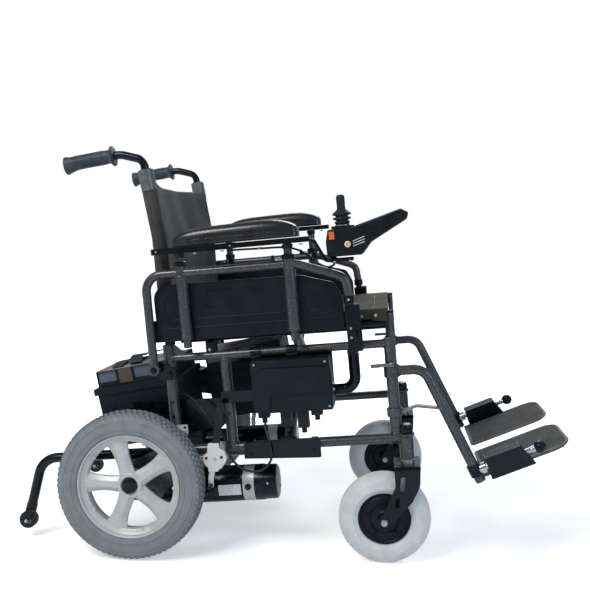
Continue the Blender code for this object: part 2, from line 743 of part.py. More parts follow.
def caster(side):
    """The swivelling fork with its axle, and the wheel that rolls on it."""
    half_gap = 0.034
    plate = 0.006
    axle = (CASTER_AXLE_S, FRAME_Y, CASTER_AXLE_N)
    crown_n = (HOUSING_BOTTOM_N - 0.0165, HOUSING_BOTTOM_N - 0.0095)
    outline = [
        (STEM_S - 0.030, crown_n[1]),
        (STEM_S + 0.026, crown_n[1]),
        (STEM_S + 0.022, 0.160),
        (STEM_S + 0.004, 0.1274),
        (CASTER_AXLE_S + 0.012, CASTER_AXLE_N - 0.009),
        (CASTER_AXLE_S + 0.003, CASTER_AXLE_N - 0.012),
        (CASTER_AXLE_S - 0.009, CASTER_AXLE_N - 0.006),
        (CASTER_AXLE_S - 0.010, CASTER_AXLE_N + 0.006),
        (CASTER_AXLE_S + 0.006, 0.1150),
        (STEM_S - 0.030, 0.160),
    ]
    parts = [
        box(
            (STEM_S - 0.030, FRAME_Y - half_gap - plate / 2, crown_n[0]),
            (STEM_S + 0.026, FRAME_Y + half_gap + plate / 2, crown_n[1]),
        )
    ]
    for low in (FRAME_Y - half_gap - plate, FRAME_Y + half_gap):
        parts.append(slab(outline, "y", low, low + plate))
    parts.append(rod((STEM_S, FRAME_Y, crown_n[0] + 0.001), (STEM_S, FRAME_Y, STEM_TOP_N), STEM_D))
    washer = [(STEM_S, FRAME_Y, n) for n in (crown_n[1] - 0.002, HOUSING_BOTTOM_N - FIT)]
    parts.append(rod(*washer, 0.028))
    reach = half_gap + plate + 0.004
    for low, high, size in (
        (-reach + 0.001, reach - 0.001, CASTER_AXLE_D),
        (-reach, -reach + 0.005, CASTER_AXLE_D + 0.006),
        (reach - 0.005, reach, CASTER_AXLE_D + 0.006),
    ):
        ends = [(axle[0], FRAME_Y + y, axle[2]) for y in (low, high)]
        parts.append(rod(*ends, size))
    cuts = []
    for s, n, length in ((STEM_S - 0.0105, 0.167, 0.030), (STEM_S - 0.0255, 0.1263, 0.018)):
        slot = rounded(
            [
                (s - 0.004, n - length / 2),
                (s + 0.004, n - length / 2),
                (s + 0.004, n + length / 2),
                (s - 0.004, n + length / 2),
            ],
            0.0038,
        )
        cuts.append(slab(slot, "y", FRAME_Y - 0.05, FRAME_Y + 0.05))
    piece("caster_fork", welded(parts, cuts), "black_paint", side, (STEM_S, FRAME_Y, HOUSING_BOTTOM_N))

    bore = CASTER_AXLE_D / 2 + FIT
    disc = CASTER_HUB_D / 2
    hub_half = half_gap - FIT
    hub = [
        (bore, -hub_half),
        (0.014, -hub_half),
        (0.014, -0.013),
        (disc, -0.015),
        (disc, 0.015),
        (0.014, 0.013),
        (0.014, hub_half),
        (bore, hub_half),
    ]
    parts = [turned(axle, (0, 1, 0), hub, CASTER_STEPS, closed=True, start=DOWN)]
    for k in range(CASTER_BOLTS):
        angle = 2 * math.pi * k / CASTER_BOLTS + math.pi / 2
        s = axle[0] + math.cos(angle) * CASTER_BOLT_CIRCLE / 2
        n = axle[2] + math.sin(angle) * CASTER_BOLT_CIRCLE / 2
        parts.append(rod((s, FRAME_Y + 0.010, n), (s, FRAME_Y + 0.0165, n), CASTER_BOLT_D, 6))
    piece("caster_hub", welded(parts), "black_plastic", side, axle)

    inner = disc + FIT
    outer = CASTER_D / 2
    half = CASTER_W / 2
    tyre = [
        (inner, -0.018),
        (inner + 0.010, -half),
        (outer - 0.013, -half),
        (outer, -half + 0.014),
        (outer, half - 0.014),
        (outer - 0.013, half),
        (inner + 0.010, half),
        (inner, 0.018),
    ]
    made = turned(axle, (0, 1, 0), tyre, CASTER_STEPS, closed=True, start=DOWN)
    piece("caster_tyre", welded([made]), "pale_tyre", side, axle)


def anti_tipper(side):
    """The bent tube behind the gearbox and the small wheel at its foot."""
    s, n = ANTI_TIP_WHEEL
    hub = Vector((s, ANTI_TIP_Y, n))
    start = (ANTI_TIP_START_S, ANTI_TIP_Y, ANTI_TIP_N)
    knee = (-0.612, ANTI_TIP_Y, ANTI_TIP_N)
    out = (hub - Vector(knee)).normalized()
    end = hub - out * (ANTI_TIP_WHEEL_D / 2 + 0.003)
    route = bent([start, knee, end], (0.050,))
    cheek = ANTI_TIP_WHEEL_W / 2 + FIT
    parts = [tube(route, ANTI_TIP_D)]
    down = Vector((out.x, out.z))
    side_way = Vector((-down.y, down.x))
    base = Vector((s, n)) - down * (ANTI_TIP_WHEEL_D / 2 + 0.010)
    tip = Vector((s, n)) + down * 0.007
    cheek_outline = [
        base + side_way * 0.008,
        base - side_way * 0.008,
        tip - side_way * 0.007,
        tip + side_way * 0.007,
    ]
    flat = [(p.x, p.y) for p in cheek_outline]
    bridge = [
        base + side_way * 0.008,
        base - side_way * 0.008,
        base - side_way * 0.008 + down * 0.0085,
        base + side_way * 0.008 + down * 0.0085,
    ]
    reach = cheek + 0.0025
    span = reach - 0.001
    parts.append(slab([(p.x, p.y) for p in bridge], "y", ANTI_TIP_Y - span, ANTI_TIP_Y + span))
    for low in (ANTI_TIP_Y - reach, ANTI_TIP_Y + cheek):
        parts.append(slab(flat, "y", low, low + 0.0025))
    parts.append(rod((s, ANTI_TIP_Y - reach - 0.002, n), (s, ANTI_TIP_Y + reach + 0.002, n), 0.006))
    piece("anti_tip_tube", welded(parts), "black_paint", side)

    radius = ANTI_TIP_WHEEL_D / 2
    half = ANTI_TIP_WHEEL_W / 2
    bore = 0.003 + FIT
    profile = [
        (bore, -half),
        (radius - 0.003, -half),
        (radius, -half + 0.003),
        (radius, half - 0.003),
        (radius - 0.003, half),
        (bore, half),
    ]
    wheel = turned(hub, (0, 1, 0), profile, 16, closed=True)
    piece("anti_tip_wheel", welded([wheel]), "black_plastic", side, hub)


def cross_brace(side):
    """One arm of the scissor: a sleeve on this side's lower rail, a seat rail on the other side."""
    s = BRACE_S[side]
    foot = Vector((s, FRAME_Y, LOWER_RAIL_N))
    crossing = Vector((s, 0, BRACE_CROSSING_N))
    up = (crossing - foot).normalized()
    head = Vector((s, -SEAT_RAIL_Y, SEAT_RAIL_N))
    rail_ends = [(end, -SEAT_RAIL_Y, SEAT_RAIL_N) for end in SEAT_RAIL_S]
    sleeve_d = LOWER_RAIL_D + 2 * (FIT + SLEEVE_WALL)
    sleeve = [(s + end, FRAME_Y, LOWER_RAIL_N) for end in (-SLEEVE_L / 2, SLEEVE_L / 2)]
    parts = [
        rod(foot, head - up * 0.006, BRACE_D),
        rod(*sleeve, sleeve_d),
        rod(*rail_ends, SEAT_RAIL_D),
    ]
    rail = [(s - 0.1, FRAME_Y, LOWER_RAIL_N), (s + 0.1, FRAME_Y, LOWER_RAIL_N)]
    cuts = [turning_bore(*rail, LOWER_RAIL_D)]
    other = BRACE_S[-side]
    ahead = 1 if other > s else -1
    far = other + ahead * (BRACE_D / 2 + 0.005)
    if side < 0:
        bolt = [(s, 0, BRACE_CROSSING_N), (far, 0, BRACE_CROSSING_N)]
        spacer = [(s, 0, BRACE_CROSSING_N), (other - ahead * (BRACE_D / 2 + RUNNING), 0, BRACE_CROSSING_N)]
        nut = [(other + ahead * (BRACE_D / 2 + RUNNING), 0, BRACE_CROSSING_N), (far, 0, BRACE_CROSSING_N)]
        back = [(s - ahead * (BRACE_D / 2 + 0.005), 0, BRACE_CROSSING_N), (s, 0, BRACE_CROSSING_N)]
        parts.append(rod(*bolt, BRACE_BOLT_D))
        parts.append(rod(*spacer, 0.020))
        parts.append(rod(*nut, 0.017, 6))
        parts.append(rod(*back, 0.017, 6))
    else:
        hole = [(s - 0.05, 0, BRACE_CROSSING_N), (s + 0.05, 0, BRACE_CROSSING_N)]
        cuts.append(turning_bore(*hole, BRACE_BOLT_D))
    pivot = foot if side < 0 else crossing
    piece("cross_brace", welded(parts, cuts), "hammered_paint", side, pivot)


def seat_sling():
    """The seat cloth: a thick hem on each rail and a hollow between them, in two layers."""
    rows = 6
    columns = 14
    reach = SEAT_RAIL_Y + SEAT_RAIL_D / 2
    hem_top = SEAT_RAIL_N + SEAT_RAIL_D / 2 + FIT + SEAT_EDGE_T
    rings = []
    for i in range(rows):
        share = i / (rows - 1)
        s = SEAT_REAR_S + (SEAT_FRONT_S - SEAT_REAR_S) * share
        droop = 1 - 0.35 * (2 * share - 1) ** 2
        top = []
        bottom = []
        for k in range(columns + 1):
            y = -reach + 2 * reach * k / columns
            hollow = max(0.0, 1 - (abs(y) / (SEAT_RAIL_Y - 0.012)) ** 2)
            n = hem_top - SEAT_SAG * droop * hollow
            fold = 0.0012 * math.sin(5 * math.pi * y / reach) * hollow
            thick = SEAT_EDGE_T - (SEAT_EDGE_T - SEAT_MIDDLE_T) * min(1, 1.9 * hollow)
            edge = 0.004 * max(0.0, (abs(y) - reach + 0.008) / 0.008)
            top.append((s, y, n + fold - edge))
            bottom.append((s, y, max(n - thick, hem_top - SEAT_EDGE_T - 0.012 * droop * hollow)))
        rings.append(top + bottom[::-1])
    piece("seat_sling", welded([loft(rings)]), "seat_cloth", 0, (0, 0, hem_top))


def back_sling():
    """The back cloth, a sleeve round each cane and a sheet between them that hangs slack."""
    rows = 5
    heights = [BACK_BOTTOM_N + (BACK_TOP_N - BACK_BOTTOM_N) * i / rows for i in range(rows + 1)]
    columns = 12
    rings = []
    for n in heights:
        share = (n - BACK_BOTTOM_N) / (BACK_TOP_N - BACK_BOTTOM_N)
        front = []
        rear = []
        for k in range(columns + 1):
            y = -FRAME_Y + 2 * FRAME_Y * k / columns
            slack = 1 - (y / FRAME_Y) ** 2
            down = BACK_DIP * slack * share**3
            here = n - down
            fold = 0.0025 * math.sin(3 * math.pi * y / FRAME_Y) * slack * share
            s = cane_at(here) + BACK_SLEEVE_D / 2 - 0.008 - BACK_SAG * slack * (0.6 + 0.4 * share) + fold
            front.append((s, y, here))
            rear.append((s - BACK_T, y, here))
        rings.append(front + rear[::-1])
    parts = [loft(rings)]
    cuts = []
    for side in (1, -1):
        route = [Vector((cane_at(n), side * FRAME_Y, n)) for n in heights]
        parts.append(tube(route, BACK_SLEEVE_D))
        longer = [route[0] - Vector((0, 0, 0.02)), *route[1:-1], route[-1] + (route[-1] - route[-2]) * 0.5]
        cuts.append(tube(longer, CANE_D + 2 * SLEEVE_EASE))
    middle = (cane_at(BACK_BOTTOM_N), 0, BACK_BOTTOM_N)
    piece("back_sling", welded(parts, cuts), "back_cloth", 0, middle)


def arm_frame(side):
    """The hooped tube of the arm, with the two posts that its pad slides in."""
    rear_low = ARM_HINGE_N - 0.0095
    loop = bent(
        [
            (ARM_REAR_S, ARM_Y, rear_low),
            (ARM_REAR_S, ARM_Y, ARM_TOP_N),
            (0.020, ARM_Y, ARM_TOP_N),
            (ARM_FRONT_S - 0.004, ARM_Y, 0.6150),
            (ARM_FRONT_S, ARM_Y, 0.574),
        ],
        (0.036, 0.080, 0.026),
    )
    parts = [tube(loop, ARM_TUBE_D)]
    leg = [(ARM_FRONT_S, ARM_Y, 0.580), (ARM_FRONT_S, ARM_Y, ARM_FRONT_END_N)]
    parts.append(rod(*leg, ARM_FRONT_TUBE_D))
    parts.append(rod((ARM_FRONT_S, ARM_Y, 0.560), (ARM_FRONT_S, ARM_Y, 0.576), ARM_TUBE_D + 0.004))
    cuts = []
    for s, size, low, high in zip(ARM_POST_S, ARM_POST_D, ARM_POST_BOTTOM_N, ARM_POST_TOP_N):
        parts.append(rod((s, ARM_Y, low), (s, ARM_Y, high), size))
        cuts.append(rod((s, ARM_Y, low - 0.01), (s, ARM_Y, high + 0.01), INNER_POST_D + 2 * FIT))
    s = ARM_POST_S[1]
    knob = ARM_POST_TOP_N[1] - 0.010
    parts.append(rod((s - 0.010, ARM_Y, knob), (s - 0.034, ARM_Y, knob), 0.008))
    parts.append(rod((s - 0.030, ARM_Y, knob), (s - 0.036, ARM_Y, knob), 0.020))
    hole = [(ARM_REAR_S, y, ARM_HINGE_N) for y in (ARM_Y - 0.02, ARM_Y + 0.02)]
    cuts.append(turning_bore(*hole, ARM_HINGE_D))
    flat = [(ARM_REAR_S, y, ARM_HINGE_N) for y in (PANEL_Y, ARM_Y - ARM_TUBE_D / 2 + 0.0015)]
    cuts.append(rod(*flat, 0.036))
    piece("arm_frame", welded(parts, cuts), "hammered_paint", side, (ARM_REAR_S, ARM_Y, ARM_HINGE_N))


def arm_panel(side):
    """The moulded side panel inside the arm, with a shallow oval recess on its face."""
    rear_block = PANEL_REAR_S - 0.0115
    outline = rounded(
        [
            (rear_block, PANEL_BOTTOM_N),
            (PANEL_FRONT_S, PANEL_BOTTOM_N),
            (PANEL_FRONT_S, 0.574),
            (0.098, 0.606),
            (0.027, PANEL_TOP_N - 0.002),
            (PANEL_REAR_S, PANEL_TOP_N),
            (PANEL_REAR_S, 0.551),
            (rear_block, 0.551),
        ],
        [0.003, 0.012, 0.020, 0.016, 0.040, 0.032, 0.002, 0.004],
    )
    recess = rounded([(-0.184, 0.571), (-0.046, 0.571), (-0.046, 0.609), (-0.184, 0.609)], 0.0185, 5)
    face = PANEL_Y + PANEL_T
    body = slab(outline, "y", PANEL_Y, face)
    cut = slab(recess, "y", face - 0.0015, face + 0.004)
    lug = [box((s - 0.006, face - 0.001, 0.5115), (s + 0.006, ARM_Y - size / 2 - FIT, 0.5215))
           for s, size in zip(ARM_POST_S, ARM_POST_D)]
    piece("arm_panel", welded([body, *lug], [cut]), "black_plastic", side)


def arm_rest(side):
    """The bar with its two inner posts, and the crowned pad screwed to it."""
    rise = LEFT_ARM_RAISED if side > 0 else 0
    low = ARM_BAR_N + rise
    y0 = ARM_BAR_Y - ARM_BAR_W / 2
    y1 = ARM_BAR_Y + ARM_BAR_W / 2
    rear, front = ARM_BAR_S
    high = low + ARM_BAR_T
    parts = [
        box((rear + 0.004, y0 + 0.0015, low + 0.0008), (front, y1 - 0.0015, high - 0.0008)),
        box((rear, y0, low), (ARM_SLEEVE_END_S, y1, high)),
    ]
    for s in ARM_POST_S:
        foot = INNER_POST_BOTTOM_N + rise
        parts.append(rod((s, ARM_Y, foot), (s, ARM_Y, low + ARM_BAR_T / 2), INNER_POST_D))
    if side < 0:
        route = bent(
            [
                (front - 0.004, POD_Y, low + 0.005),
                (front + 0.008, POD_Y, low + 0.002),
                (0.088, POD_Y, 0.6530),
                (0.146, POD_Y, 0.6530),
            ],
            (0.006, 0.010),
            3,
        )
        parts.append(tube(route, 0.008))
        parts.append(box((0.098, POD_Y - 0.011, 0.6515), (0.146, POD_Y + 0.011, 0.6548)))
    foot = (ARM_POST_S[0], ARM_Y, low)
    piece("arm_bar", welded(parts), "black_paint", side, foot)

    base = low + ARM_BAR_T + FIT
    rows = 12
    rings = []
    for i in range(rows):
        share = i / (rows - 1)
        s = PAD_S[0] + (PAD_S[1] - PAD_S[0]) * share
        ends = max(0.0, 1 - abs(2 * share - 1) ** 5)
        width = PAD_W / 2 * (0.66 + 0.34 * ends)
        crown = PAD_H * (0.52 + 0.48 * ends) * (0.86 + 0.14 * share)
        ring = [(s, PAD_Y - width + 0.006, base), (s, PAD_Y + width - 0.006, base)]
        for across_share, up in (
            (0.95, 0.22),
            (1.0, 0.45),
            (0.93, 0.72),
            (0.66, 0.92),
            (0.30, 1.0),
            (-0.30, 1.0),
            (-0.66, 0.92),
            (-0.93, 0.72),
            (-1.0, 0.45),
            (-0.95, 0.22),
        ):
            ring.append((s, PAD_Y + across_share * width, base + up * crown))
        rings.append(ring)
    piece("arm_pad", welded([loft(rings)]), "vinyl", side, foot)


def battery(side):
    """One battery box and its lift-off lid; the boxes stand one behind the other, so they fold past."""
    corners = [(0, 0), (BOX_L - 0.004, 0), (BOX_L, BOX_H), (-0.004, BOX_H)]
    body = [along_box(side, a, b) for a, b in corners]
    parts = [slab(body, "y", *BOX_Y)]
    plug_s, plug_n = along_box(side, 0.170, 0.095)
    plug_low = (plug_s - 0.014, BOX_Y[1] - 0.002, plug_n - 0.010)
    parts.append(box(plug_low, (plug_s + 0.014, BOX_Y[1] + 0.008, plug_n + 0.010)))
    piece("battery_box", welded(parts), "black_plastic", side)

    foot = BOX_H + FIT
    lip = [
        (-0.004 - LIP_OUT, foot),
        (BOX_L + LIP_OUT, foot),
        (BOX_L + LIP_OUT, foot + LIP_H),
        (-0.004 - LIP_OUT, foot + LIP_H),
    ]
    dome = [
        (0.000, foot + LIP_H - 0.002),
        (BOX_L - 0.004, foot + LIP_H - 0.002),
        (BOX_L - 0.006, foot + LID_H[1] - 0.004),
        (BOX_L - 0.016, foot + LID_H[1]),
        (BOX_L * LID_CREST, foot + LID_H[1]),
        (0.008, foot + LID_H[0]),
        (0.000, foot + LID_H[0] - 0.006),
    ]
    parts = [
        slab([along_box(side, *p) for p in lip], "y", BOX_Y[0] - LIP_OUT, BOX_Y[1] + LIP_OUT),
        slab([along_box(side, *p) for p in dome], "y", BOX_Y[0] + 0.004, BOX_Y[1] - 0.004),
    ]
    cuts = []
    for start, end in LID_POCKETS:
        pocket = [
            (BOX_L * start, foot + LIP_H + 0.002),
            (BOX_L * end, foot + LIP_H + 0.002),
            (BOX_L * end, foot + 0.070),
            (BOX_L * start, foot + 0.070),
        ]
        outline = [along_box(side, *p) for p in pocket]
        cuts.append(slab(outline, "y", BOX_Y[1] - 0.010, BOX_Y[1] + 0.010))
        cuts.append(slab(outline, "y", BOX_Y[0] - 0.010, BOX_Y[0] + 0.010))
    rear, bottom = BOX_REAR[side]
    piece("battery_lid", welded(parts, cuts), "black_plastic", side, (rear, BOX_Y[0], bottom))


def pin_place(a, b):
    """A place beside the footplate's pin: a along it from its start, b square to it and up."""
    return (
        PIN_START[0] + a * math.cos(PIN_SLOPE) - b * math.sin(PIN_SLOPE),
        PIN_START[1] + a * math.sin(PIN_SLOPE) + b * math.cos(PIN_SLOPE),
    )


def pin_rod(a0, a1, diameter):
    ends = [pin_place(a, 0) for a in (a0, a1)]
    return rod(*[(s, FRAME_Y, n) for s, n in ends], diameter)


def hanger(side):
    """The swing-away leg tube: two sleeves on the front post, a strut and the footplate's boss."""
    post = (FRONT_POST_S, FRAME_Y)
    sleeve_d = FRONT_POST_D + 0.0086
    knee = (HANGER_KNEE_S, FRAME_Y, HANGER_TOP_N)
    end = (HANGER_END[0], FRAME_Y, HANGER_END[1])
    route = bent([(*post, HANGER_TOP_N), knee, end], (0.036,), 4)
    parts = [tube(route, HANGER_D)]
    for n, half in ((HANGER_TOP_N, 0.013), (STRUT_N - 0.002, 0.009)):
        parts.append(rod((*post, n - half), (*post, n + half), sleeve_d))
    strut = [
        (FRONT_POST_S, STRUT_N - 0.005),
        (0.2520, STRUT_N + 0.006),
        (0.3080, STRUT_N - 0.003),
        (0.3080, STRUT_N + 0.002),
        (0.2520, STRUT_N + 0.011),
        (FRONT_POST_S, STRUT_N + 0.000),
    ]
    parts.append(slab(strut, "y", FRAME_Y - 0.008, FRAME_Y + 0.008))
    down = (Vector(end) - Vector(knee)).normalized()
    collar = [Vector(end) - down * 0.040, Vector(end) - down * 0.014]
    parts.append(rod(*collar, HANGER_D + 0.007))
    parts.append(pin_rod(-0.016, 0.012, PIN_D + 0.012))
    lug = (FRONT_POST_S, FRAME_Y + sleeve_d / 2 + 0.0035)
    top = HANGER_TOP_N + 0.013
    parts.append(box((lug[0] - 0.006, FRAME_Y + 0.014, top - 0.010), (lug[0] + 0.006, lug[1] + 0.005, top)))
    parts.append(rod((*lug, top - 0.004), (*lug, top + 0.0065), 0.005))
    parts.append(rod((*lug, top + 0.0040), (*lug, top + 0.0065), 0.010))
    cuts = [
        turning_bore((*post, HANGER_TOP_N - 0.2), (*post, HANGER_TOP_N + 0.05), FRONT_POST_D),
        pin_rod(-0.030, 0.030, PIN_D + 2 * FIT),
    ]
    piece("hanger", welded(parts, cuts), "hammered_paint", side, (*post, HANGER_TOP_N))

    outline = rounded(
        [
            (lug[0] + 0.007, lug[1] - 0.006),
            (lug[0] + 0.007, lug[1] + 0.006),
            (lug[0] - 0.012, lug[1] + 0.006),
            (lug[0] - 0.040, lug[1] + 0.012),
            (lug[0] - 0.044, lug[1] + 0.000),
            (lug[0] - 0.020, lug[1] - 0.004),
        ],
        0.003,
    )
    blade = slab(outline, "n", top + FIT, top + 0.0037)
    hole = rod((*lug, top - 0.01), (*lug, top + 0.01), 0.005 + 2 * FIT)
    piece("hanger_latch", welded([blade], [hole]), "chrome", side, (*lug, top))


def footplate(side):
    """The hinge pin with its ball end, and the ribbed plate that turns up on it."""
    pin_middle = pin_place(0, 0)
    pivot = (pin_middle[0], FRAME_Y, pin_middle[1])
    ball = [
        (PIN_BALL_D / 2 * math.sin(math.pi * k / 6), -PIN_BALL_D / 2 * math.cos(math.pi * k / 6))
        for k in range(1, 6)
    ]
    ball_s, ball_n = pin_place(PIN_L, 0)
    along = (math.cos(PIN_SLOPE), 0, math.sin(PIN_SLOPE))
    parts = [
        pin_rod(-0.018, PIN_L, PIN_D),
        turned((ball_s, FRAME_Y, ball_n), along, ball, ROUND_STEPS + 2),
    ]
    piece("footplate_pin", welded(parts), "chrome", side, pivot)

    top = -PLATE_DROP
    low = top - PLATE_T
    plate = [
        (-0.002, low + 0.002),
        (PLATE_L - 0.018, low),
        (PLATE_L, low + 0.003),
        (PLATE_L - 0.008, top - 0.001),
        (PLATE_L - 0.020, top),
        (-0.002, top),
    ]
    block = [
        (HINGE_BLOCK_A[0] - 0.002, HINGE_BLOCK_N[0]),
        (HINGE_BLOCK_A[1] + 0.016, HINGE_BLOCK_N[0]),
        (HINGE_BLOCK_A[1], HINGE_BLOCK_N[1]),
        (HINGE_BLOCK_A[0], HINGE_BLOCK_N[1]),
    ]
    parts = [
        slab([pin_place(*p) for p in plate], "y", *PLATE_Y),
        slab([pin_place(*p) for p in block], "y", PLATE_Y[1] - 0.017, FRAME_Y + 0.0105),
    ]
    ribs = 8
    for k in range(ribs):
        y = PLATE_Y[0] + 0.010 + (PLATE_Y[1] - PLATE_Y[0] - 0.034) * k / (ribs - 1)
        rib = [
            (0.010, top - 0.001),
            (PLATE_L - 0.030, top - 0.001),
            (PLATE_L - 0.032, top + 0.0012),
            (0.012, top + 0.0012),
        ]
        parts.append(slab([pin_place(*p) for p in rib], "y", y - 0.002, y + 0.002))
    middle_pin = [(s, FRAME_Y, n) for s, n in (pin_place(0, 0), pin_place(PIN_L, 0))]
    cuts = [turning_bore(*middle_pin, PIN_D)]
    piece("footplate", welded(parts, cuts), "black_plastic", side, pivot)


def joystick():
    """The hand control on the right arm: case, gimbal, stick, rocker switch and horn button."""
    y = POD_Y
    s, n = STICK
    outline = rounded(
        [
            (0.0935, 0.6600),
            (0.1655, 0.6600),
            (0.1860, 0.6843),
            (0.2600, 0.7240),
            (0.2650, 0.7380),
            (0.2490, 0.7470),
            (0.1983, 0.7325),
            (0.1500, 0.7190),
            (0.0985, 0.7165),
            (0.0925, 0.6920),
        ],
        [0.006, 0.010, 0.020, 0.006, 0.006, 0.006, 0.030, 0.020, 0.005, 0.010],
        2,
    )
    collar = [(0.0240, -0.012), (0.0240, -0.001), (0.0225, 0)]
    parts = [
        slab(outline, "y", y - POD_W / 2, y + POD_W / 2),
        turned((s, y, n), (0, 0, 1), collar, HUB_STEPS),
    ]
    well = rod((s, y, n - 0.014), (s, y, n + 0.01), WELL_D, HUB_STEPS)
    face = y + POD_W / 2
    rocker_s, rocker_n = ROCKER
    corner = (rocker_s - ROCKER_HALF[0] - 0.0005, face - 0.006, rocker_n - ROCKER_HALF[1] - 0.0008)
    opposite = (rocker_s + ROCKER_HALF[0] + 0.0005, face + 0.01, rocker_n + ROCKER_HALF[1] + 0.0008)
    pocket = box(corner, opposite)
    horn = rod((HORN[0], face - 0.004, HORN[1]), (HORN[0], face + 0.01, HORN[1]), 0.0136, HUB_STEPS)
    gland = [(0.104, y - 0.018, 0.6610), (0.104, y - 0.018, 0.6560)]
    parts.append(rod(*gland, 0.012))
    piece("joystick_pod", welded(parts, [well, pocket, horn]), "black_plastic", -1, (s, y, n), False)

    flats = math.cos(math.pi / HUB_STEPS)
    ring = GIMBAL_D / 2
    inner = 0.0075
    half = 0.002
    profile = [(inner, -half), (ring, -half), (ring, half), (inner, half)]
    pins = [
        rod((s, y + turn * (inner + 0.003), n), (s, y + turn * (WELL_D / 2 * flats - FIT), n), 0.003)
        for turn in (1, -1)
    ]
    gimbal = turned((s, y, n), (0, 0, 1), profile, HUB_STEPS, closed=True)
    piece("joystick_gimbal", welded([gimbal, *pins]), "zinc", -1, (s, y, n), False)

    profile = [
        (0.0040, -0.0040),
        (0.0040, 0.0070),
        (0.0120, 0.0072),
        (0.0165, 0.0110),
        (0.0140, 0.0135),
        (0.0205, 0.0190),
        (0.0150, 0.0215),
        (0.0190, 0.0250),
        (0.0115, 0.0285),
        (0.0140, 0.0310),
        (0.0060, 0.0340),
        (0.0045, 0.0400),
        (0.0050, 0.0500),
        (0.0080, 0.0560),
        (0.0086, 0.0620),
        (0.0080, 0.0685),
        (0.0050, 0.0710),
    ]
    stick = turned((s, y, n), (0, 0, 1), profile, ROUND_STEPS)
    reach = inner * flats - FIT
    cross = rod((s - reach, y, n), (s + reach, y, n), 0.003)
    piece("joystick_stick", welded([stick, cross]), "black_plastic", -1, (s, y, n), False)

    depth = face - 0.0035
    wave = [
        (depth + 0.0015, rocker_n - ROCKER_HALF[1]),
        (depth + 0.0050, rocker_n - ROCKER_HALF[1]),
        (depth + 0.0038, rocker_n),
        (depth + 0.0062, rocker_n + ROCKER_HALF[1]),
        (depth + 0.0015, rocker_n + ROCKER_HALF[1]),
        (depth - 0.0020, rocker_n),
    ]
    paddle = slab(wave, "s", rocker_s - ROCKER_HALF[0], rocker_s + ROCKER_HALF[0])
    piece("rocker_switch", welded([paddle]), "orange_plastic", -1, (rocker_s, depth, rocker_n), False)

    button = [(0.0064, -0.0022), (0.0064, 0.0012), (0.0054, 0.0020)]
    disc = turned((HORN[0], face, HORN[1]), (0, 1, 0), button, HUB_STEPS)
    piece("horn_button", welded([disc]), "cream_plastic", -1, (HORN[0], face, HORN[1]), False)


def controller():
    """The drive controller on the right side, its plugs, and the bracket that it hangs from."""
    s0, s1 = CONTROLLER_S
    n0, n1 = CONTROLLER_N
    y0, y1 = CONTROLLER_Y
    corners = [
        (s0, n0 + 0.008),
        (s0 + 0.034, n0),
        (s1, n0),
        (s1 + 0.0012, 0.409),
        (s1 - 0.003, n1 - 0.002),
        (s0, n1),
    ]
    body = rounded(corners, 0.004)
    relief = rounded(
        [
            (s0 + 0.006, n0 + 0.006),
            (s0 + 0.036, n0 + 0.004),
            (s0 + 0.036, n0 + 0.034),
            (s1 - 0.006, n0 + 0.040),
            (s1 - 0.006, n1 - 0.022),
            (s0 + 0.045, n1 - 0.018),
            (s0 + 0.006, n1 - 0.060),
        ],
        [0.003, 0.003, 0.006, 0.004, 0.004, 0.035, 0.030],
        2,
    )
    parts = [slab(body, "y", y0, y1 - 0.006), slab(relief, "y", y1 - 0.010, y1)]
    for s, low in ((-0.0769, 0.312), (-0.0287, 0.2912), (0.0079, 0.2856), (0.0386, 0.3117)):
        parts.append(box((s - 0.012, 0.2440, low + 0.012), (s + 0.012, 0.2640, n0 + 0.012)))
        parts.append(rod((s, 0.2540, low), (s, 0.2540, low + 0.016), 0.012))
    piece("controller_module", welded(parts), "black_plastic", -1, paired=False)

    plate_y = (y0 - FIT - 0.0035, y0 - FIT)
    parts = [box((s0 + 0.002, plate_y[0], n0 + 0.008), (s1 + 0.001, plate_y[1], n1 - 0.002))]
    cuts = []
    for s in (-0.0856, -0.0062):
        low = (s - 0.012, plate_y[0], UPPER_RAIL_N - 0.0100)
        parts.append(box(low, (s + 0.012, FRAME_Y + 0.013, UPPER_RAIL_N + 0.0125)))
        parts.append(box((s - 0.011, plate_y[0], n1 - 0.016), (s + 0.011, plate_y[1], UPPER_RAIL_N)))
    rail = [(s0 - 0.05, FRAME_Y, UPPER_RAIL_N), (s1 + 0.08, FRAME_Y, UPPER_RAIL_N)]
    cuts.append(rod(*rail, UPPER_RAIL_D + 2 * FIT))
    tube_y = y0 - FIT - 0.0125
    route = bent([(0.045, tube_y, 0.3640), (0.1236, tube_y, 0.3640), (0.1236, tube_y, 0.4500)], (0.028,), 5)
    parts.append(tube(route, 0.025))
    clasp = (0.1236 - 0.011, tube_y, UPPER_RAIL_N - 0.021)
    parts.append(box(clasp, (0.1236 + 0.011, FRAME_Y + 0.0005, UPPER_RAIL_N - 0.0058)))
    piece("controller_bracket", welded(parts, cuts), "black_paint", -1, paired=False)


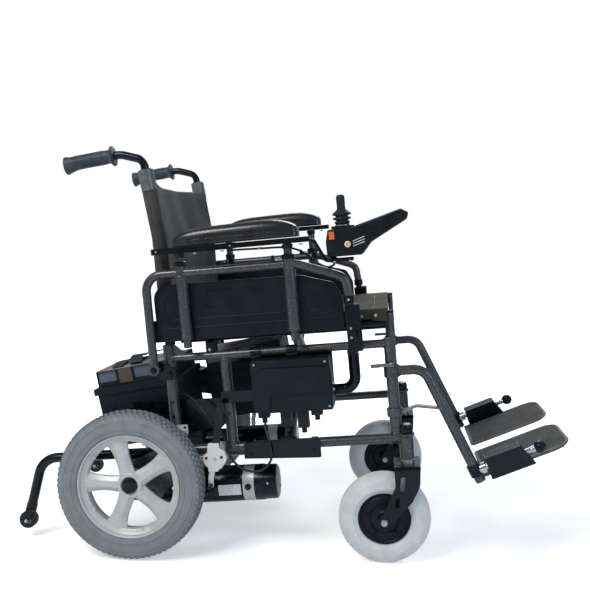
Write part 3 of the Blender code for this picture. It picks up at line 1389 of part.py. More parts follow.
def wheel_lock(side):
    """The push lever on the lower rail, whose shoe presses on the drive tyre."""
    s, n = LOCK_PIVOT
    outline = [
        (s - 0.0079, 0.2776),
        (s + 0.0144, 0.2795),
        (s + 0.0170, 0.2580),
        (s + 0.0272, 0.2461),
        (s + 0.0220, 0.2360),
        (s + 0.0100, 0.2190),
        (s - 0.0030, 0.2190),
        (s - 0.0160, 0.2340),
        (s - 0.0235, 0.2480),
        (s - 0.0140, 0.2560),
    ]
    clamp = (s - 0.016, FRAME_Y, LOWER_RAIL_N - 0.0130)
    parts = [
        slab(rounded(outline, 0.002), "y", LOCK_Y[0] - 0.0005, LOCK_Y[1]),
        box(clamp, (s + 0.018, LOCK_Y[0] + 0.002, LOWER_RAIL_N + 0.0150)),
    ]
    blade = 0.004
    lever_y = LOCK_Y[1] + FIT
    parts.append(rod((s, LOCK_Y[1] - 0.002, n), (s, lever_y + blade + 0.003, n), 0.007))
    parts.append(rod((s, lever_y + blade + FIT, n), (s, lever_y + blade + 0.003, n), 0.013))
    for bolt_s, bolt_n in ((s - 0.0165, 0.2480), (s + 0.0165, 0.2440)):
        parts.append(rod((bolt_s, LOCK_Y[1] - 0.002, bolt_n), (bolt_s, LOCK_Y[1] + 0.003, bolt_n), 0.009, 6))
    rail = [(s - 0.06, FRAME_Y, LOWER_RAIL_N), (s + 0.05, FRAME_Y, LOWER_RAIL_N)]
    cut = rod(*rail, LOWER_RAIL_D + 2 * FIT)
    piece("wheel_lock_body", welded(parts, [cut]), "zinc", side)

    handle = rounded(
        [
            (s - 0.0075, n - 0.010),
            (s + 0.0075, n - 0.010),
            (s + 0.0130, 0.2800),
            (s + 0.0310, 0.3580),
            (s + 0.0290, 0.3660),
            (s + 0.0170, 0.3660),
            (s + 0.0140, 0.3580),
            (s - 0.0040, 0.2800),
        ],
        0.004,
    )
    shoe = rounded(
        [
            (s - 0.0060, n + 0.004),
            (s - 0.0200, 0.2010),
            (s - 0.0205, 0.1800),
            (s - 0.0105, 0.1800),
            (s - 0.0080, 0.2010),
            (s + 0.0060, n + 0.004),
        ],
        0.004,
    )
    parts = [
        slab(handle, "y", lever_y, lever_y + blade),
        slab(shoe, "y", lever_y + FIT, lever_y + blade - FIT),
    ]
    pad = rod((s - 0.0155, lever_y + 0.001, 0.1850), (s - 0.0155, lever_y + 0.022, 0.1850), 0.010)
    hole = rod((s, LOCK_Y[1] - 0.01, n), (s, LOCK_Y[1] + 0.02, n), 0.007 + 2 * FIT)
    piece("wheel_lock_lever", welded([*parts, pad], [hole]), "black_paint", side, (s, lever_y, n))


def sill_plate():
    """The guard plate outside the right lower rail, on two saddles."""
    s0, s1 = SILL_S
    low, high = SILL_N
    outline = rounded([(s0, low + 0.006), (s1 - 0.001, low), (s1, high), (s0 + 0.002, high - 0.003)], 0.002)
    parts = [slab(outline, "y", *SILL_Y)]
    for s in SILL_BOLTS_S:
        foot = (s - 0.007, FRAME_Y + 0.003, LOWER_RAIL_N - 0.0130)
        parts.append(box(foot, (s + 0.007, SILL_Y[0] + 0.001, LOWER_RAIL_N + 0.0130)))
        head = (s, SILL_Y[1] - 0.001, LOWER_RAIL_N - 0.0095)
        parts.append(rod(head, (s, SILL_Y[1] + 0.0025, head[2]), 0.009, 6))
    rail = [(s0 - 0.03, FRAME_Y, LOWER_RAIL_N), (s1 + 0.03, FRAME_Y, LOWER_RAIL_N)]
    piece("sill_plate", welded(parts, [rod(*rail, LOWER_RAIL_D + 2 * FIT)]), "black_paint", -1, paired=False)


def cord(name, points, diameter, spacing):
    """A cable along a smooth curve through its route's points, y given to the right."""
    places = [Vector((s, -y, n)) for s, y, n in points]
    smooth = [places[0]]
    for i in range(len(places) - 1):
        before = places[max(i - 1, 0)]
        start, end = places[i], places[i + 1]
        after = places[min(i + 2, len(places) - 1)]
        count = max(1, round((end - start).length / spacing))
        for k in range(1, count + 1):
            t = k / count
            smooth.append(
                0.5
                * (
                    2 * start
                    + (end - before) * t
                    + (2 * before - 5 * start + 4 * end - after) * t * t
                    + (3 * start - before - 3 * end + after) * t**3
                )
            )
    curve = bpy.data.curves.new(name, "CURVE")
    curve.dimensions = "3D"
    curve.bevel_depth = diameter / 2
    curve.bevel_resolution = 2
    curve.use_fill_caps = True
    spline = curve.splines.new("POLY")
    spline.points.add(len(smooth) - 1)
    for point, place in zip(spline.points, smooth):
        point.co = (*place, 1)
    curve.materials.append(MATERIALS["black_plastic"])
    part = bpy.data.objects.new(name, curve)
    bpy.context.scene.collection.objects.link(part)
    part.parent = chair


DRIVE_CABLE_D = 0.0052
DRIVE_CABLE = (
    (-0.0769, 0.2540, 0.3117),
    (-0.0769, 0.2540, 0.3035),
    (-0.0769, 0.2540, 0.2955),
    (-0.0690, 0.2680, 0.2700),
    (-0.0690, 0.2700, 0.2330),
    (-0.0959, 0.2700, 0.2104),
    (LOCK_PIVOT[0] + 0.0574, 0.2690, 0.2160),
    (LOCK_PIVOT[0] + 0.0315, 0.2660, 0.2440),
    (LOCK_PIVOT[0] + 0.0210, 0.2600, 0.2850),
    (LOCK_PIVOT[0] + 0.0010, 0.2560, 0.3090),
    (LOCK_PIVOT[0] - 0.0223, 0.2480, 0.3430),
    (-0.2480, 0.2200, 0.3730),
    (-0.2830, 0.2110, 0.3790),
    (-0.3016, 0.2055, 0.3771),
    (-0.3016, 0.1960, 0.3771),
    (-0.3016, 0.1863, 0.3771),
)
POD_CABLE_D = 0.0046
POD_CABLE = (
    (0.1040, 0.2715, 0.6557),
    (0.1040, 0.2715, 0.6500),
    (0.1040, 0.2715, 0.6440),
    (0.0900, 0.2700, 0.6390),
    (0.0700, 0.2655, 0.6480),
    (0.0544, 0.2580, 0.6620),
    (0.0300, 0.2560, 0.6790),
    (0.0000, 0.2550, 0.6880),
    (-0.0500, 0.2550, 0.6900),
    (-0.1000, 0.2580, 0.6915),
    (-0.1150, 0.2640, 0.6918),
)


def stand_on_floor():
    """Sets the chair on its wheels, with the middle of the whole model over the origin."""
    chair.rotation_euler.y = -TILT
    chair.location.z = DRIVE_TYRE_D / 2 - (DRIVE_AXLE_S * math.sin(TILT) + DRIVE_AXLE_N * math.cos(TILT))
    bpy.context.view_layer.update()
    graph = bpy.context.evaluated_depsgraph_get()
    places = []
    for part in chair.children:
        solid = part.evaluated_get(graph)
        mesh = solid.to_mesh()
        places += [(solid.matrix_world @ vertex.co) for vertex in mesh.vertices]
        solid.to_mesh_clear()
    chair.location.x = -(min(p.x for p in places) + max(p.x for p in places)) / 2
    chair.location.y = -(min(p.y for p in places) + max(p.y for p in places)) / 2
    bpy.context.view_layer.update()


for way in (-1, 1):
    side_frame(way)
    back_cane(way)
    push_grip(way)
    gear_motor(way)
    drive_wheel(way)
    caster(way)
    anti_tipper(way)
    cross_brace(way)
    arm_frame(way)
    arm_panel(way)
    arm_rest(way)
    battery(way)
    hanger(way)
    footplate(way)
    wheel_lock(way)
seat_sling()
back_sling()
joystick()
controller()
sill_plate()
cord("drive_cable", DRIVE_CABLE, DRIVE_CABLE_D, 0.0150)
cord("joystick_cable", POD_CABLE, POD_CABLE_D, 0.0135)
stand_on_floor()
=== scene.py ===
import math

import bmesh
import bpy
from mathutils import Matrix, Vector


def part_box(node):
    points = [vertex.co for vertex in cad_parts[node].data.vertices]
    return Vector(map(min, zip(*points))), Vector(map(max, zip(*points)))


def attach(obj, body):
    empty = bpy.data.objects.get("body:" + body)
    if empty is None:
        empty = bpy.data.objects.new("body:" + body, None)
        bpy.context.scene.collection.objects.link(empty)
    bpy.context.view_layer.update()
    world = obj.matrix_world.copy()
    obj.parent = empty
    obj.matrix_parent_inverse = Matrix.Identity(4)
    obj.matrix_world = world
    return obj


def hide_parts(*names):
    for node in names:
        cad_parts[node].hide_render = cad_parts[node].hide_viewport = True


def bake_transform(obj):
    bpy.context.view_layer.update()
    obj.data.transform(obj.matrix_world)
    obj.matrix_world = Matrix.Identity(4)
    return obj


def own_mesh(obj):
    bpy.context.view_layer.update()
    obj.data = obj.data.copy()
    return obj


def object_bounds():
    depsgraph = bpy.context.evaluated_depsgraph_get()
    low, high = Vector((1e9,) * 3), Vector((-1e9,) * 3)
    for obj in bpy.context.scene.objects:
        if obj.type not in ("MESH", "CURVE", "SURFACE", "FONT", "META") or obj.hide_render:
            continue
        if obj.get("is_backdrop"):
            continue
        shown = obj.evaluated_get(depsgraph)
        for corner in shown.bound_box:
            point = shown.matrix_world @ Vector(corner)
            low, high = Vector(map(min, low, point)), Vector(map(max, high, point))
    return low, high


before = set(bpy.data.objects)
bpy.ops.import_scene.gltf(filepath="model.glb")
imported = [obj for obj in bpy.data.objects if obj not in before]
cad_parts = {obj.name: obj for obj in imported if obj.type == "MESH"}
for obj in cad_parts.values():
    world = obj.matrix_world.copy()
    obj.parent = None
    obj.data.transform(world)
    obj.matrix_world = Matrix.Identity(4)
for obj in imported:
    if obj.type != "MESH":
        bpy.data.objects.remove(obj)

solids_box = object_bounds()

# Floor, lamps and camera
# A seamless pale sweep under soft lamps, as a catalogue picture is taken, with the camera low at the
# chair's right side and turned a little, as far away as the wheels' ellipses say.
def linear(colour):
    """An sRGB hex colour as the linear red, green, blue and alpha that shaders take."""
    parts = [int(colour[i : i + 2], 16) / 255 for i in (1, 3, 5)]
    return (*[c / 12.92 if c <= 0.04045 else ((c + 0.055) / 1.055) ** 2.4 for c in parts], 1)


def add(tree, kind, inputs=None, **settings):
    """Adds a node of that kind, sets its settings, and links or sets its inputs."""
    made = tree.nodes.new(kind)
    for name, value in settings.items():
        setattr(made, name, value)
    for key, value in (inputs or {}).items():
        if isinstance(value, bpy.types.NodeSocket):
            tree.links.new(value, made.inputs[key])
        else:
            made.inputs[key].default_value = value
    return made


scene = bpy.context.scene
scene.view_settings.view_transform = "Standard"

world = bpy.data.worlds.new("studio")
scene.world = world
world.use_nodes = True
world.node_tree.nodes.clear()
light_path = add(world.node_tree, "ShaderNodeLightPath")
dim = add(world.node_tree, "ShaderNodeBackground", {"Color": linear("#dde6f3"), "Strength": 0.40})
white = add(world.node_tree, "ShaderNodeBackground", {"Color": (1, 1, 1, 1), "Strength": 1.0})
both = add(
    world.node_tree,
    "ShaderNodeMixShader",
    {0: light_path.outputs["Is Camera Ray"], 1: dim.outputs[0], 2: white.outputs[0]},
)
add(world.node_tree, "ShaderNodeOutputWorld", {"Surface": both.outputs[0]})

floor_mesh = bpy.data.meshes.new("floor")
floor_mesh.from_pydata([(-6, -6, 0), (6, -6, 0), (6, 6, 0), (-6, 6, 0)], [], [(0, 1, 2, 3)])
floor = bpy.data.objects.new("floor", floor_mesh)
scene.collection.objects.link(floor)
sweep = bpy.data.materials.new("white_paper_sweep")
sweep.use_nodes = True
sweep.node_tree.nodes.clear()
paper = add(sweep.node_tree, "ShaderNodeBsdfDiffuse", {"Color": linear("#fbfbfa")})
# Its own light makes up for the lamps' fall-off, so the far floor is as white as the background
spot = add(sweep.node_tree, "ShaderNodeNewGeometry")
away = add(
    sweep.node_tree, "ShaderNodeVectorMath", {0: spot.outputs["Position"]}, operation="LENGTH"
)
fade = add(
    sweep.node_tree,
    "ShaderNodeMapRange",
    {
        "Value": away.outputs["Value"],
        "From Min": 0.75,
        "From Max": 1.9,
        "To Min": 0.42,
        "To Max": 1.0,
    },
)
# Only the camera sees that light: the chair's black parts would turn grey in it
seen = add(sweep.node_tree, "ShaderNodeLightPath")
shown = add(
    sweep.node_tree, "ShaderNodeMath", {
        0: fade.outputs[0], 1: seen.outputs["Is Camera Ray"]
    }, operation="MULTIPLY"
)
glow = add(
    sweep.node_tree, "ShaderNodeEmission", {"Color": (1, 1, 1, 1), "Strength": shown.outputs[0]}
)
paper_sum = add(sweep.node_tree, "ShaderNodeAddShader", {0: paper.outputs[0], 1: glow.outputs[0]})
add(sweep.node_tree, "ShaderNodeOutputMaterial", {"Surface": paper_sum.outputs[0]})
floor_mesh.materials.append(sweep)
floor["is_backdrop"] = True

for name, place, size, power, colour in (
    ("key_lamp", (-1.5, -2.2, 2.8), 1.5, 66, "#fffdf8"),
    ("fill_lamp", (2.4, -1.7, 1.5), 1.4, 18, "#c6dcff"),
    ("back_lamp", (0.4, 2.4, 2.4), 1.8, 40, "#ffffff"),
):
    lamp = bpy.data.lights.new(name, "AREA")
    lamp.shape = "DISK"
    lamp.size = size
    lamp.energy = power
    lamp.color = linear(colour)[:3]
    lit = bpy.data.objects.new(name, lamp)
    scene.collection.objects.link(lit)
    lit.location = place
    lit.rotation_euler = (Vector((0, 0, 0.4)) - Vector(place)).to_track_quat("-Z", "Y").to_euler()

# The chair's own frame: s forward along its rails, y to the left, n up along its posts. Its rails rise
# to the front because the drive wheels are larger than the casters.
AXLE = (-0.3801, 0.288, 0.2016)
CASTER_AXLE = (0.1640, 0.236, 0.0844)
DRIVE_D = 0.327
CASTER_D = 0.200
run, rise = CASTER_AXLE[0] - AXLE[0], CASTER_AXLE[2] - AXLE[2]
tilt = math.asin((CASTER_D - DRIVE_D) / 2 / math.hypot(run, rise)) - math.atan2(rise, run)
turn = Matrix.Rotation(-tilt, 4, "Y")
tyre_low, tyre_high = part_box("drive_tyre_right")
shift = (tyre_low.x + tyre_high.x) / 2 - (turn @ Vector(AXLE)).x
lift = DRIVE_D / 2 - (turn @ Vector(AXLE)).z
stand = Matrix.Translation((shift, 0, lift)) @ turn

yaw, pitch, roll = math.radians(-6.618), math.radians(4.733), math.radians(-0.532)
camera = bpy.data.objects.new("camera", bpy.data.cameras.new("camera"))
scene.collection.objects.link(camera)
scene.camera = camera
camera.data.sensor_width = 36
camera.data.lens = 36 * 790.79 / 590
camera.data.clip_start, camera.data.clip_end = 0.02, 30
ahead = Vector((math.sin(yaw) * math.cos(pitch), math.cos(yaw) * math.cos(pitch), -math.sin(pitch)))
right = Vector((math.cos(yaw), -math.sin(yaw), 0))
up = right.cross(ahead)
right, up = (
    right * math.cos(roll) - up * math.sin(roll),
    up * math.cos(roll) + right * math.sin(roll),
)
camera.matrix_world = Matrix.Translation((0.1501 + shift, -1.9296, 0.7226)) @ Matrix(
    (right, up, -ahead)
).transposed().to_4x4()


# Side frames
# Two welded sides of round steel tube, alike but for their hands: rails, posts, caster housing, battery
# tray and motor plate. They are finished in a hammered enamel that flows into dimples with silver in it.
LEFT_RIGHT = (("left", 1), ("right", -1))
BOX_LEAN = math.radians(5.6)
FRAME_Y = 0.236
RAIL_N = 0.257
RAIL_D = 0.022
TOP_RAIL_N = 0.4645
TOP_RAIL_D = 0.0185
REAR_POST = (-0.2813, 0.025, 0.495)
MID_POST = (-0.156, 0.024)
FRONT_POST = (0.2045, 0.025, 0.475)
GUIDE_POST = (0.212, 0.013, 0.535)
STEM_S = 0.2238


def across(axis, start=None):
    """Two unit vectors square to the axis, the first one towards start."""
    axis = Vector(axis).normalized()
    aim = Vector(start or (0, 1, 0))
    if abs(aim.normalized().dot(axis)) > 0.9:
        aim = Vector((0, 0, 1))
    first = (aim - axis * aim.dot(axis)).normalized()
    return first, axis.cross(first)


def skin(bm, rings, look=0, closed=False):
    """Joins rings of points into a shell, capped at its ends unless it closes on itself."""
    loops = [[bm.verts.new(point) for point in ring] for ring in rings]
    made = []
    for first, second in zip(loops, loops[1:] + (loops[:1] if closed else [])):
        for i in range(len(first)):
            j = (i + 1) % len(first)
            made.append(bm.faces.new((first[i], first[j], second[j], second[i])))
    if not closed:
        made += [bm.faces.new(loops[0]), bm.faces.new(loops[-1])]
    for face in made:
        face.material_index = look
    return made


def turned(bm, centre, axis, profile, steps=32, look=0, closed=False, start=None):
    """A shape turned round the axis from (radius, height) points."""
    first, second = across(axis, start)
    along = Vector(axis).normalized()
    rings = []
    for radius, height in profile:
        middle = Vector(centre) + along * height
        ring = []
        for k in range(steps):
            angle = 2 * math.pi * k / steps
            ring.append(middle + (first * math.cos(angle) + second * math.sin(angle)) * radius)
        rings.append(ring)
    return skin(bm, rings, look, closed)


def rod(bm, start, end, size, look=0, steps=24, ease=0.0008):
    """A straight bar with its end corners eased."""
    along = Vector(end) - Vector(start)
    length, radius = along.length, size / 2
    ease = min(ease, length / 4, radius / 2)
    profile = [(radius - ease, 0), (radius, ease), (radius, length - ease), (radius - ease, length)]
    return turned(bm, start, along, profile, steps, look)


def bent(points, bends, steps=8):
    """The route through the points, with an arc of its own radius at each inner one."""
    places = [Vector(point) for point in points]
    route = [places[0]]
    for before, corner, after, bend in zip(places, places[1:], places[2:], bends):
        back = (before - corner).normalized()
        onward = (after - corner).normalized()
        half = back.angle(onward) / 2
        centre = corner + (back + onward).normalized() * bend / math.sin(half)
        start = corner + back * bend / math.tan(half) - centre
        end = corner + onward * bend / math.tan(half) - centre
        hinge = start.cross(end).normalized()
        for k in range(steps + 1):
            route.append(
                centre + Matrix.Rotation((math.pi - 2 * half) * k / steps, 3, hinge) @ start
            )
    route.append(places[-1])
    return route


def tube(bm, route, size, look=0, steps=24):
    """A round tube along a route."""
    places = [Vector(point) for point in route]
    rings = []
    aim = None
    for i, place in enumerate(places):
        ahead = (places[min(i + 1, len(places) - 1)] - place).normalized()
        back = (place - places[max(i - 1, 0)]).normalized()
        first, second = across(ahead + back, aim)
        aim = first
        ring = []
        for k in range(steps):
            angle = 2 * math.pi * k / steps
            ring.append(place + (first * math.cos(angle) + second * math.sin(angle)) * size / 2)
        rings.append(ring)
    return skin(bm, rings, look)


def ease_edges(bm, faces, size, segments=2, least=25):
    """Rounds the edges of the faces that turn by more than the least angle."""
    edges = {edge for face in faces for edge in face.edges}
    sharp = [
        e for e in edges if len(e.link_faces) == 2 and e.calc_face_angle() > math.radians(least)
    ]
    look = faces[0].material_index
    made = bmesh.ops.bevel(
        bm, geom=sharp, offset=size, segments=segments, affect="EDGES", profile=0.6, clamp_overlap=True
    )
    for face in made["faces"]:
        face.material_index = look


def slab(bm, outline, axis, low, high, look=0, ease=0.0008, segments=2):
    """An outline pushed from low to high along s, y or n, with its edges eased."""
    places = {
        "s": lambda a,
        b,
        c: (c, a, b),
        "y": lambda a,
        b,
        c: (a, c, b),
        "n": lambda a,
        b,
        c: (a, b, c),
    }
    faces = skin(bm, [[places[axis](a, b, c) for a, b in outline] for c in (low, high)], look)
    if ease:
        ease_edges(bm, faces, ease, segments)


def block(bm, low, high, look=0, ease=0.0008, segments=2):
    outline = [(low[0], low[1]), (high[0], low[1]), (high[0], high[1]), (low[0], high[1])]
    slab(bm, outline, "n", low[2], high[2], look, ease, segments)


def rounded(outline, radius, steps=5):
    """The outline with an arc at each corner; radius is one size, or one for each corner."""
    count = len(outline)
    radii = radius if isinstance(radius, (list, tuple)) else [radius] * count
    points = []
    for i, corner in enumerate(outline):
        here = Vector(corner)
        before = (Vector(outline[i - 1]) - here).normalized()
        after = (Vector(outline[(i + 1) % count]) - here).normalized()
        half = before.angle(after) / 2
        centre = here + (before + after).normalized() * radii[i] / math.sin(half)
        start = here + before * radii[i] / math.tan(half) - centre
        side = 1 if before.x * after.y - before.y * after.x < 0 else -1
        for k in range(steps + 1):
            angle = side * (math.pi - 2 * half) * k / steps
            points.append(
                (
                    centre.x + start.x * math.cos(angle) - start.y * math.sin(angle),
                    centre.y + start.x * math.sin(angle) + start.y * math.cos(angle),
                )
            )
    return points


def piece(name, bm, looks, body, nodes=(), mirrored=False, sharp=34):
    """Stands the mesh on the floor as a piece that rides on the body, in place of those solids."""
    bmesh.ops.recalc_face_normals(bm, faces=bm.faces)
    mesh = bpy.data.meshes.new(name)
    bm.to_mesh(mesh)
    bm.free()
    if mirrored:
        mesh.transform(Matrix.Diagonal((1, -1, 1, 1)))
        mesh.flip_normals()
    mesh.transform(stand)
    mesh.shade_smooth()
    mesh.set_sharp_from_angle(angle=math.radians(sharp))
    for look in looks:
        mesh.materials.append(look)
    made = bpy.data.objects.new(name, mesh)
    scene.collection.objects.link(made)
    normals = made.modifiers.new("even_shading", "WEIGHTED_NORMAL")
    normals.keep_sharp = True
    if body:
        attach(made, body)
    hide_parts(*nodes)
    return made


def two_sides(name, bm, looks, body, node, sharp=34):
    """The piece on the left, and its mirror image on the right."""
    other = bm.copy()
    made = []
    for mesh, (word, hand) in zip((bm, other), LEFT_RIGHT):
        node_names = [f"{n}_{word}" for n in ([node] if isinstance(node, str) else node)]
        made.append(
            piece(
                f"{name}_{word}", mesh, looks, f"{body}_{word}", node_names, hand < 0, sharp
            )
        )
    return made


# Screw heads, wherever they sit, are set out on points by one tree
heads = bpy.data.node_groups.new("screw_heads", "GeometryNodeTree")
for title, kind in (
    ("Places", "NodeSocketGeometry"),
    ("Width", "NodeSocketFloat"),
    ("Height", "NodeSocketFloat"),
    ("Sides", "NodeSocketInt"),
    ("Finish", "NodeSocketMaterial"),
):
    heads.interface.new_socket(title, in_out="INPUT", socket_type=kind)
heads.interface.new_socket("Heads", in_out="OUTPUT", socket_type="NodeSocketGeometry")
given = add(heads, "NodeGroupInput").outputs
narrow = add(heads, "ShaderNodeMath", {0: given["Width"], 1: 0.5}, operation="MULTIPLY")
crown = add(heads, "ShaderNodeMath", {0: given["Width"], 1: 0.38}, operation="MULTIPLY")
head = add(
    heads,
    "GeometryNodeMeshCone",
    {
        "Vertices": given["Sides"],
        "Radius Top": crown.outputs[0],
        "Radius Bottom": narrow.outputs[0],
        "Depth": given["Height"],
    },
)
aim = add(heads, "GeometryNodeInputNamedAttribute", {"Name": "aim"}, data_type="FLOAT_VECTOR")
facing = add(heads, "FunctionNodeAlignRotationToVector", {"Vector": aim.outputs[0]}, axis="Z")
set_out = add(
    heads,
    "GeometryNodeInstanceOnPoints",
    {"Points": given["Places"], "Instance": head.outputs["Mesh"], "Rotation": facing.outputs[0]},
)
real = add(heads, "GeometryNodeRealizeInstances", {0: set_out.outputs[0]})
dressed = add(
    heads, "GeometryNodeSetMaterial", {"Geometry": real.outputs[0], "Material": given["Finish"]}
)
add(heads, "NodeGroupOutput", {0: dressed.outputs[0]})


def grown(tree, carrier, values):
    """The mesh that a tree makes on the carrier mesh."""
    host = bpy.data.objects.new("host", carrier)
    scene.collection.objects.link(host)
    made = host.modifiers.new("grow", "NODES")
    made.node_group = tree
    for socket in tree.interface.items_tree:
        if socket.name in values:
            made[socket.identifier] = values[socket.name]
    bpy.context.view_layer.update()
    mesh = bpy.data.meshes.new_from_object(
        host.evaluated_get(bpy.context.evaluated_depsgraph_get())
    )
    bpy.data.objects.remove(host, do_unlink=True)
    return mesh


def gather(bm, mesh, look=0):
    """Adds a finished mesh to the piece that is being made."""
    count = len(bm.faces)
    bm.from_mesh(mesh)
    bm.faces.ensure_lookup_table()
    for face in bm.faces[count:]:
        face.material_index = look
    bpy.data.meshes.remove(mesh)


def screws(bm, places, aim, width, height, look, sides=6):
    """Heads at those places that face along aim."""
    carrier = bpy.data.meshes.new("places")
    carrier.from_pydata([tuple(place) for place in places], [], [])
    facing = carrier.attributes.new("aim", "FLOAT_VECTOR", "POINT")
    facing.data.foreach_set("vector", [c for _ in places for c in Vector(aim).normalized()])
    values = {"Width": width, "Height": height, "Sides": sides, "Finish": zinc}
    gather(bm, grown(heads, carrier, values), look)


def new_finish(name):
    """A material with a Principled shader, and the coordinates of the piece in metres."""
    made = bpy.data.materials.new(name)
    made.use_nodes = True
    made.node_tree.nodes.clear()
    shader = add(made.node_tree, "ShaderNodeBsdfPrincipled")
    add(made.node_tree, "ShaderNodeOutputMaterial", {"Surface": shader.outputs[0]})
    place = add(made.node_tree, "ShaderNodeTexCoord").outputs["Object"]
    return made, made.node_tree, shader, place


def deep_black(shader):
    """Holds down a black surface's reflection and turns it blue, as the photographed plastics do."""
    shader.inputs["Specular IOR Level"].default_value = 0.42
    shader.inputs["Specular Tint"].default_value = linear("#bccddb")


def blended(tree, share, first, second):
    """A colour between two hex colours, by a share from 0 to 1."""
    return add(
        tree, "ShaderNodeMix", {0: share, 6: linear(first), 7: linear(second)}, data_type="RGBA"
    ).outputs[2]


def spread(tree, value, low, high, to_low=0.0, to_high=1.0):
    """A value moved from one range to another, and held to it."""
    return add(
        tree,
        "ShaderNodeMapRange",
        {"Value": value, "From Min": low, "From Max": high, "To Min": to_low, "To Max": to_high},
    ).outputs[0]


def noise(tree, place, size, detail, roughness=0.5):
    """A cloud of noise whose largest patches are about that size, in metres."""
    return add(
        tree,
        "ShaderNodeTexNoise",
        {"Vector": place, "Scale": 1 / size, "Detail": detail, "Roughness": roughness},
    )


def colour_by(tree, shader, source, low, high, first, second):
    """Colours the shader between two hex colours, where the noise runs from low to high."""
    share = spread(tree, source.outputs[0], low, high)
    tree.links.new(blended(tree, share, first, second), shader.inputs["Base Color"])


def roughen(tree, shader, source, smooth, rough):
    """Varies the shader's roughness with the noise."""
    share = spread(tree, source.outputs[0], 0.3, 0.7, smooth, rough)
    tree.links.new(share, shader.inputs["Roughness"])


def dent(tree, shader, height, strength, distance):
    """Bumps the shader's surface by a height."""
    bump = add(
        tree, "ShaderNodeBump", {"Height": height, "Strength": strength, "Distance": distance}
    )
    tree.links.new(bump.outputs[0], shader.inputs["Normal"])


# Hammered enamel: silver leaf floats up between dimples 2 to 3 mm across, so it shows as pale flecks
# on charcoal. The dimples are drawn at 3.2 mm, as coarse as they have to be to show.
enamel, tree, shader, place = new_finish("hammered_enamel")
dimples = add(
    tree, "ShaderNodeTexVoronoi", {"Vector": place, "Scale": 1 / 0.0032, "Randomness": 1.0}
)
flecks = noise(tree, place, 0.0042, 3.0)
cloud = noise(tree, place, 0.060, 2.0)
silver = spread(tree, dimples.outputs["Distance"], 0.40, 0.90)
patch = spread(tree, flecks.outputs[0], 0.40, 0.70, 0, 0.6)
share = add(tree, "ShaderNodeMath", {0: silver, 1: patch}, operation="MULTIPLY", use_clamp=True)
base = blended(tree, spread(tree, cloud.outputs[0], 0.3, 0.7), "#353637", "#434446")
fleck = linear("#88898a")
colour = add(tree, "ShaderNodeMix", {0: share.outputs[0], 6: base, 7: fleck}, data_type="RGBA")
tree.links.new(colour.outputs[2], shader.inputs["Base Color"])
shader.inputs["Metallic"].default_value = 0.45
shader.inputs["Coat Weight"].default_value = 0.5
shader.inputs["Coat Roughness"].default_value = 0.16
roughen(tree, shader, flecks, 0.28, 0.42)
dent(tree, shader, dimples.outputs["Distance"], 0.35, 0.0004)

# Gloss black enamel, sprayed and baked: an orange peel of about 2 mm that only breaks its reflections
gloss_black, tree, shader, place = new_finish("black_baked_enamel")
deep_black(shader)
peel = noise(tree, place, 0.004, 2.0)
dust = noise(tree, place, 0.022, 5.0)
colour_by(tree, shader, dust, 0.45, 0.75, "#070708", "#101112")
roughen(tree, shader, dust, 0.18, 0.32)
shader.inputs["Coat Weight"].default_value = 0.15
dent(tree, shader, peel.outputs[0], 0.12, 0.0004)

# Black moulded nylon, spark-eroded in the mould to a fine even grain that scatters the light
nylon, tree, shader, place = new_finish("black_moulded_nylon")
deep_black(shader)
grain = noise(tree, place, 0.0016, 2.0)
scuff = noise(tree, place, 0.035, 6.0, 0.65)
colour_by(tree, shader, scuff, 0.38, 0.72, "#0c0d0f", "#17191c")
roughen(tree, shader, scuff, 0.34, 0.52)
dent(tree, shader, grain.outputs[0], 0.3, 0.0003)

# Bright zinc plate on steel screws and clamps: pale, a little uneven, with a soft shine
zinc, tree, shader, place = new_finish("bright_zinc_plate")
cloudy = noise(tree, place, 0.009, 4.0)
colour_by(tree, shader, cloudy, 0.35, 0.7, "#a9aaa6", "#c9cac6")
shader.inputs["Metallic"].default_value = 0.85
roughen(tree, shader, cloudy, 0.28, 0.46)


def weld(bm, centre, axis, size, look=0):
    """A bead of weld round a tube where it meets another."""
    beads = []
    for k in range(9):
        angle = math.pi * k / 8
        beads.append((size / 2 + 0.0016 * math.sin(angle), 0.0022 * math.cos(angle)))
    turned(
        bm,
        centre,
        axis,
        [(size / 2 - 0.001, 0.0022), *beads, (size / 2 - 0.001, -0.0022)],
        28,
        look,
    )


bm = bmesh.new()
hammered, black, silver_bolts, plastic = 0, 1, 2, 3
tube(bm, [(-0.300, FRAME_Y, RAIL_N), (STEM_S, FRAME_Y, RAIL_N)], RAIL_D)
rod(bm, (-0.3012, FRAME_Y, RAIL_N), (-0.298, FRAME_Y, RAIL_N), RAIL_D + 0.0006, plastic)
tube(bm, [(REAR_POST[0], FRAME_Y, RAIL_N), (REAR_POST[0], FRAME_Y, REAR_POST[2])], REAR_POST[1])
tube(bm, [(MID_POST[0], FRAME_Y, RAIL_N), (MID_POST[0], FRAME_Y, TOP_RAIL_N)], MID_POST[1])
tube(bm, [(FRONT_POST[0], FRAME_Y, RAIL_N), (FRONT_POST[0], FRAME_Y, FRONT_POST[2])], FRONT_POST[1])
tube(bm, [(GUIDE_POST[0], FRAME_Y, 0.460), (GUIDE_POST[0], FRAME_Y, 0.531)], GUIDE_POST[1])
rod(
    bm,
    (GUIDE_POST[0], FRAME_Y, 0.529),
    (GUIDE_POST[0], FRAME_Y, GUIDE_POST[2]),
    0.0145,
    plastic,
    ease=0.002,
)
tube(bm, [(REAR_POST[0], FRAME_Y, TOP_RAIL_N), (FRONT_POST[0], FRAME_Y, TOP_RAIL_N)], TOP_RAIL_D)
